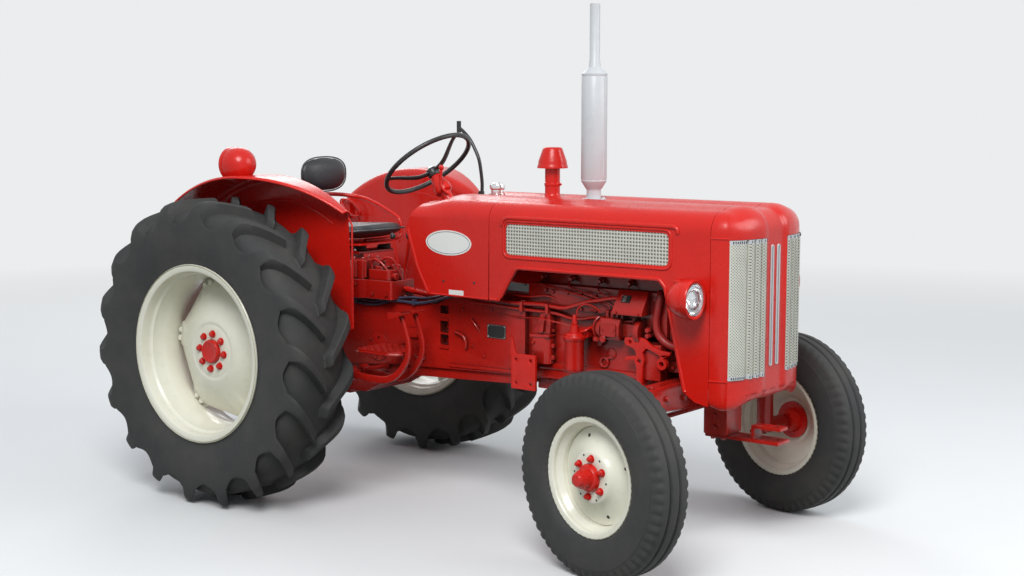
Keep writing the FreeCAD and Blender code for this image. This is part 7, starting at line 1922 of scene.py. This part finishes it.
def front_end():
    shape = softened("front_bolster", "red_casting", 0.005)
    for x in (1.935, 1.985, 2.120, 2.180):
        for sign in (-1, 1):
            shape.nut(spot(x, sign * 0.145, 0.704), (0, sign, 0), 0.020, 0.011)
    for z in (0.475, 0.520, 0.620, 0.665):
        for sign in (-1, 1):
            shape.nut(spot(2.070, sign * 0.060, z), (0, sign, 0), 0.018, 0.010)
    shape.piece("bolster_casting", "chassis", ["front_bolster"], crease=34)
    shape = softened("front_axle_beam", "red_casting", 0.006)
    for sign in (-1, 1):
        for x in (1.955, 1.995):
            shape.nut(spot(x, sign * 0.400, 0.662), (0, 0, 1), 0.022, 0.012)
        shape.nut(spot(2.013, sign * 0.515, 0.590), (1, 0, 0), 0.012, 0.012)
        shape.nut(spot(2.017, sign * 0.330, 0.618), (1, 0, 0), 0.024, 0.012)
        shape.nut(spot(2.017, sign * 0.210, 0.606), (1, 0, 0), 0.024, 0.012)
    shape.piece("axle_beam_casting", "chassis", ["front_axle_beam"], crease=34)
    shape = softened("front_tow_plates", "red_casting", 0.004)
    for x in (2.045, 2.090):
        for y in (-0.030, 0.030):
            shape.nut(spot(x, y, 0.432), (0, 0, -1), 0.018, 0.010)
    for y in (-0.018, 0.018):
        shape.nut(spot(2.209, y, 0.470), (-1, 0, 0), 0.014, 0.008)
    shape.piece("tow_plate_casting", "chassis", ["front_tow_plates"], crease=34)
    for side, sign in (("left", 1), ("right", -1)):
        knuckle = softened("knuckle_" + side, "red_casting", 0.004)
        pin = Vector((KINGPIN.x, sign * KINGPIN.y, 0))
        knuckle.nut(pin + Vector((0, 0, 0.690)), (0, 0, 1), 0.034, 0.010)
        knuckle.nut(pin + Vector((0, 0, 0.346)), (0, 0, -1), 0.020, 0.006)
        knuckle.piece("knuckle_casting_" + side, "knuckle_" + side, ["knuckle_" + side], crease=34)
    shape = softened("tie_rod", "red_casting", 0.002)
    for y in (-0.455, -0.420, 0.500, 0.535):
        shape.rod(spot(1.814, y - 0.007, 0.478), spot(1.814, y + 0.007, 0.478), 0.0165, 16)
    shape.piece("tie_rod_bar", "tie_rod", ["tie_rod"], crease=40)


def controls():
    pedal = Shape().use("red_casting")
    for y, shift in ((-0.400, 0.0), (-0.320, 0.006), (0.330, 0.006)):
        path = [(0.470, 0.560), (0.560, 0.552), (0.650, 0.552), (0.712, 0.566), (0.762, 0.604), (0.797, 0.655),
                (0.806, 0.705), (0.796, 0.755), (0.778, 0.805), (0.766, 0.834)]
        path = curve_points([spot(x + (shift if x > 0.5 else 0.0), y, z) for x, z in path], 4)
        count = len(path)
        bar_loft(pedal, path, Vector((0, 1, 0)), [0.016] * count, [0.036 - 0.016 * k / count for k in range(count)])
        pedal.lathe([(y - 0.022, 0.0150), (y - 0.022, 0.0300), (y + 0.022, 0.0300), (y + 0.022, 0.0150)], 24, "y",
                    spot(0.470, 0, 0.560), closed=True)
        middle, rise = 0.762 + shift, 0.839 + 0.7 * shift
        flat = [(middle - 0.032, rise - 0.0065), (middle + 0.032, rise + 0.0065), (middle + 0.031, rise - 0.0015),
                (middle - 0.031, rise - 0.0145)]
        pedal.prism(at_axle(flat), "xz", y - 0.040, y + 0.040)
        for k in range(5):
            x = middle - 0.025 + 0.0125 * k
            pedal.rod(spot(x, y - 0.038, rise + 0.2 * (x - middle)), spot(x, y + 0.038, rise + 0.2 * (x - middle)),
                      0.0018, 6)
        pedal.prism(at_axle(rounded([(middle - 0.034, rise + 0.010), (middle + 0.030, rise + 0.012),
                                     (middle + 0.032, rise - 0.002), (middle - 0.032, rise - 0.016)], 0.003, 3)), "xz",
                    y - 0.043, y - 0.039)
    pedal.rod(spot(0.470, -0.425, 0.560), spot(0.470, -0.160, 0.560), 0.0148, 20, lip=0.002)
    pedal.rod(spot(0.470, 0.160, 0.560), spot(0.470, 0.355, 0.560), 0.0148, 20, lip=0.002)
    pedal.piece("pedal_arms", "chassis", ["pedals"], crease=34)
    plate = Shape().use("red_casting")
    outline = rounded([(0.548, 0.262), (0.548, 0.452, 0.03), (0.735, 0.452, 0.045), (0.792, 0.412, 0.04),
                       (0.700, 0.262, 0.02)], 0.004)
    plate.prism([(AXLE_X + x, y) for x, y in outline], "xy", 0.6765, 0.6830)
    plate.tube([spot(x, y, 0.6725) for x, y in outline], 0.0048, 6, closed=True)
    for i in range(12):
        for j in range(10):
            x, y = 0.564 + 0.0190 * i, 0.278 + 0.0180 * j
            if x < 0.775 and 0.61 * (x - 0.690) + 0.03 < 0.38 * (y - 0.250) + 0.02 and x + y < 1.175:
                lift = 0.0010 * noise.noise(Vector((60 * x, 60 * y, 0)))
                plate.nut(spot(x, y, 0.6830), (0, 0, 1), 0.0105, 0.0024 + lift, 4, turn=(i + j) % 2 * 0.785)
    for x in (0.575, 0.665):
        plate.prism([(y, z) for y, z in ((0.164, 0.590), (0.164, 0.676), (0.430, 0.676), (0.430, 0.664),
                                         (0.205, 0.640))], "yz", AXLE_X + x, AXLE_X + x + 0.008)
    for x, z in ((0.560, 0.600), (0.690, 0.600)):
        plate.nut(spot(x, 0.166, z + 0.02), (0, 1, 0), 0.018, 0.010)
    plate.mirror()
    plate.piece("foot_plate_sheets", "chassis", ["foot_plates"], crease=34)
    lever = Shape().use("rubber")
    lever.lathe([(0.8700, 0.0480), (0.8740, 0.0470), (0.8780, 0.0400), (0.8850, 0.0420), (0.8900, 0.0340),
                 (0.8980, 0.0350), (0.9040, 0.0270), (0.9120, 0.0260), (0.9220, 0.0160), (0.9260, 0.0100)], 32, "z",
                spot(0.430, 0, 0))
    lever.use("red_paint")
    path = route([(0.430, 0, 0.905), (0.430, 0, 0.955), (0.440, -0.006, 0.995), (0.470, -0.022, 1.060),
                  (0.500, -0.040, 1.125)], 5)
    lever.tube(path, 0.0085, 12)
    lever.use("black_plastic")
    lever.lathe([(-0.0190, 0.0001), (-0.0185, 0.0100), (-0.0110, 0.0165), (0.0, 0.0185), (0.0100, 0.0168),
                 (0.0170, 0.0100), (0.0185, 0.0001)], 24, "z", spot(0.500, -0.040, 1.133))
    lever.piece("gear_lever_stick", "chassis", ["gear_lever"], slot="black_plastic", crease=36)
    panel = Shape().use("dash_black")
    outline = rounded([(-0.190, 1.080), (0.190, 1.080), (0.175, 1.262), (-0.175, 1.262)], 0.03)
    panel.prism(outline, "yz", AXLE_X + 0.826, AXLE_X + 0.8325)
    for y, z, radius in ((0.0, 1.205, 0.046), (-0.110, 1.205, 0.030), (0.110, 1.205, 0.030), (-0.085, 1.130, 0.024),
                         (0.085, 1.130, 0.024)):
        panel.use("chrome")
        panel.lathe([(0.8260, radius), (0.8180, radius), (0.8165, radius - 0.003), (0.8190, radius - 0.005)], 36, "x",
                    Vector((AXLE_X, y, z)))
        panel.use("white_enamel" if radius > 0.04 else "dash_black")
        panel.lathe([(0.8200, 0.0001), (0.8200, radius - 0.003)], 32, "x", Vector((AXLE_X, y, z)))
        panel.use("black_plastic" if radius > 0.04 else "white_enamel")
        for k in range(9):
            turn = math.radians(-40 + 32.5 * k)
            tick = Vector((AXLE_X + 0.8195, y, z)) + (radius - 0.008) * Vector((0, math.cos(turn), math.sin(turn)))
            panel.nut(tick, (-1, 0, 0), 0.0035, 0.0006, 4, turn=turn)
        panel.rod(Vector((AXLE_X + 0.8190, y, z)), Vector((AXLE_X + 0.8190, y + 0.6 * radius, z + 0.3 * radius)), 0.0009,
                  6)
    panel.use("chrome")
    for y, z in ((-0.030, 1.125), (0.030, 1.125), (0.0, 1.100)):
        panel.lathe([(0.8265, 0.0110), (0.8200, 0.0110), (0.8190, 0.0080), (0.8100, 0.0070), (0.8090, 0.0001)], 20, "x",
                    Vector((AXLE_X, y, z)))
    panel.piece("dash_panel", "chassis", slot="black_plastic", crease=36)


def rear_end():
    pto = Shape().use("steel")
    rows = []
    for x, reach in ((-0.188, 1.0), (-0.225, 1.0), (-0.230, 0.9), (-0.236, 0.9), (-0.241, 1.0), (-0.256, 1.0),
                     (-0.260, 0.86)):
        row = []
        for k in range(48):
            tooth = 1.0 if k % 8 in (1, 2, 3, 4) else 0.84
            turn = 2 * math.pi * k / 48
            radius = 0.0174 * min(tooth, reach)
            row.append(spot(x, radius * math.cos(turn), 0.610 + radius * math.sin(turn)))
        rows.append(row)
    made = pto.grid(rows, close_columns=True)
    pto.face(made[-1])
    pto.use("red_casting")
    pto.lathe([(-0.1880, 0.0480), (-0.1980, 0.0480), (-0.2040, 0.0440), (-0.2050, 0.0300), (-0.2120, 0.0290),
               (-0.2130, 0.0200)], 30, "x", Vector((AXLE_X, 0, 0.610)))
    for k in range(6):
        turn = math.radians(60 * k + 15)
        pto.nut(spot(-0.2030, 0.0390 * math.cos(turn), 0.610 + 0.0390 * math.sin(turn)), (-1, 0, 0), 0.010, 0.006)
    pto.piece("pto_splines", "chassis", ["pto_shaft"], crease=30)
    bar = softened("drawbar", "red_casting", 0.004)
    for x in (-0.180, -0.060, 0.060):
        for y in (-0.062, 0.062):
            bar.nut(spot(x, y, 0.408), (0, 0, 1), 0.020, 0.011)
    bar.piece("drawbar_steel", "chassis", ["drawbar"], crease=34)
    arms = softened("lift_arms", "red_casting", 0.004)
    for sign in (-1, 1):
        arms.nut(spot(-0.150, sign * 0.274, 0.912), (0, sign, 0), 0.034, 0.012)
        arms.lathe([(0.2505 * sign, 0.0300), (0.2505 * sign, 0.0420), (0.2440 * sign, 0.0420),
                    (0.2440 * sign, 0.0300)], 30, "y", spot(-0.150, 0, 0.912), closed=True)
    arms.piece("lift_arm_castings", "lift_arms", ["lift_arms"], crease=34)
    for side, sign in (("left", 1), ("right", -1)):
        node = "lower_link_" + side
        link = softened(node, "red_casting", 0.004)
        link.piece("link_bar_" + side, node, [node], crease=34)
        node = "lift_rod_" + side
        rod = softened(node, "red_casting", 0.003)
        top, foot = spot(-0.400, sign * 0.289, 0.870), spot(-0.428, sign * 0.301, 0.432)
        along = (foot - top).normalized()
        length = (foot - top).length
        for share, radius in ((0.30, 0.0190), (0.62, 0.0190)):
            rod.rod(top + along * length * share, top + along * (length * share + 0.045), radius, 18, lip=0.003)
        for k in range(16):
            rod.lathe([(-0.0016, 0.0128), (0.0, 0.0142), (0.0016, 0.0128)], 14, "z",
                      top + along * (length * (0.38 + 0.014 * k)))
        rod.piece("lift_rod_bar_" + side, node, [node], crease=34)


bonnet()
rear_cowl()
nose()
headlamps()
hood_top_parts()
fender_parts()
seat_pads()
seat_carrier()
steering()
gearbox()
hydraulics()
engine()
front_end()
controls()
rear_end()
for side in ("left", "right"):
    grille(side)
    rear_tyre(side)
    front_tyre(side)
    rear_wheel(side)
    front_wheel(side)
    fender(side)

dress_nodes()
add_studio()
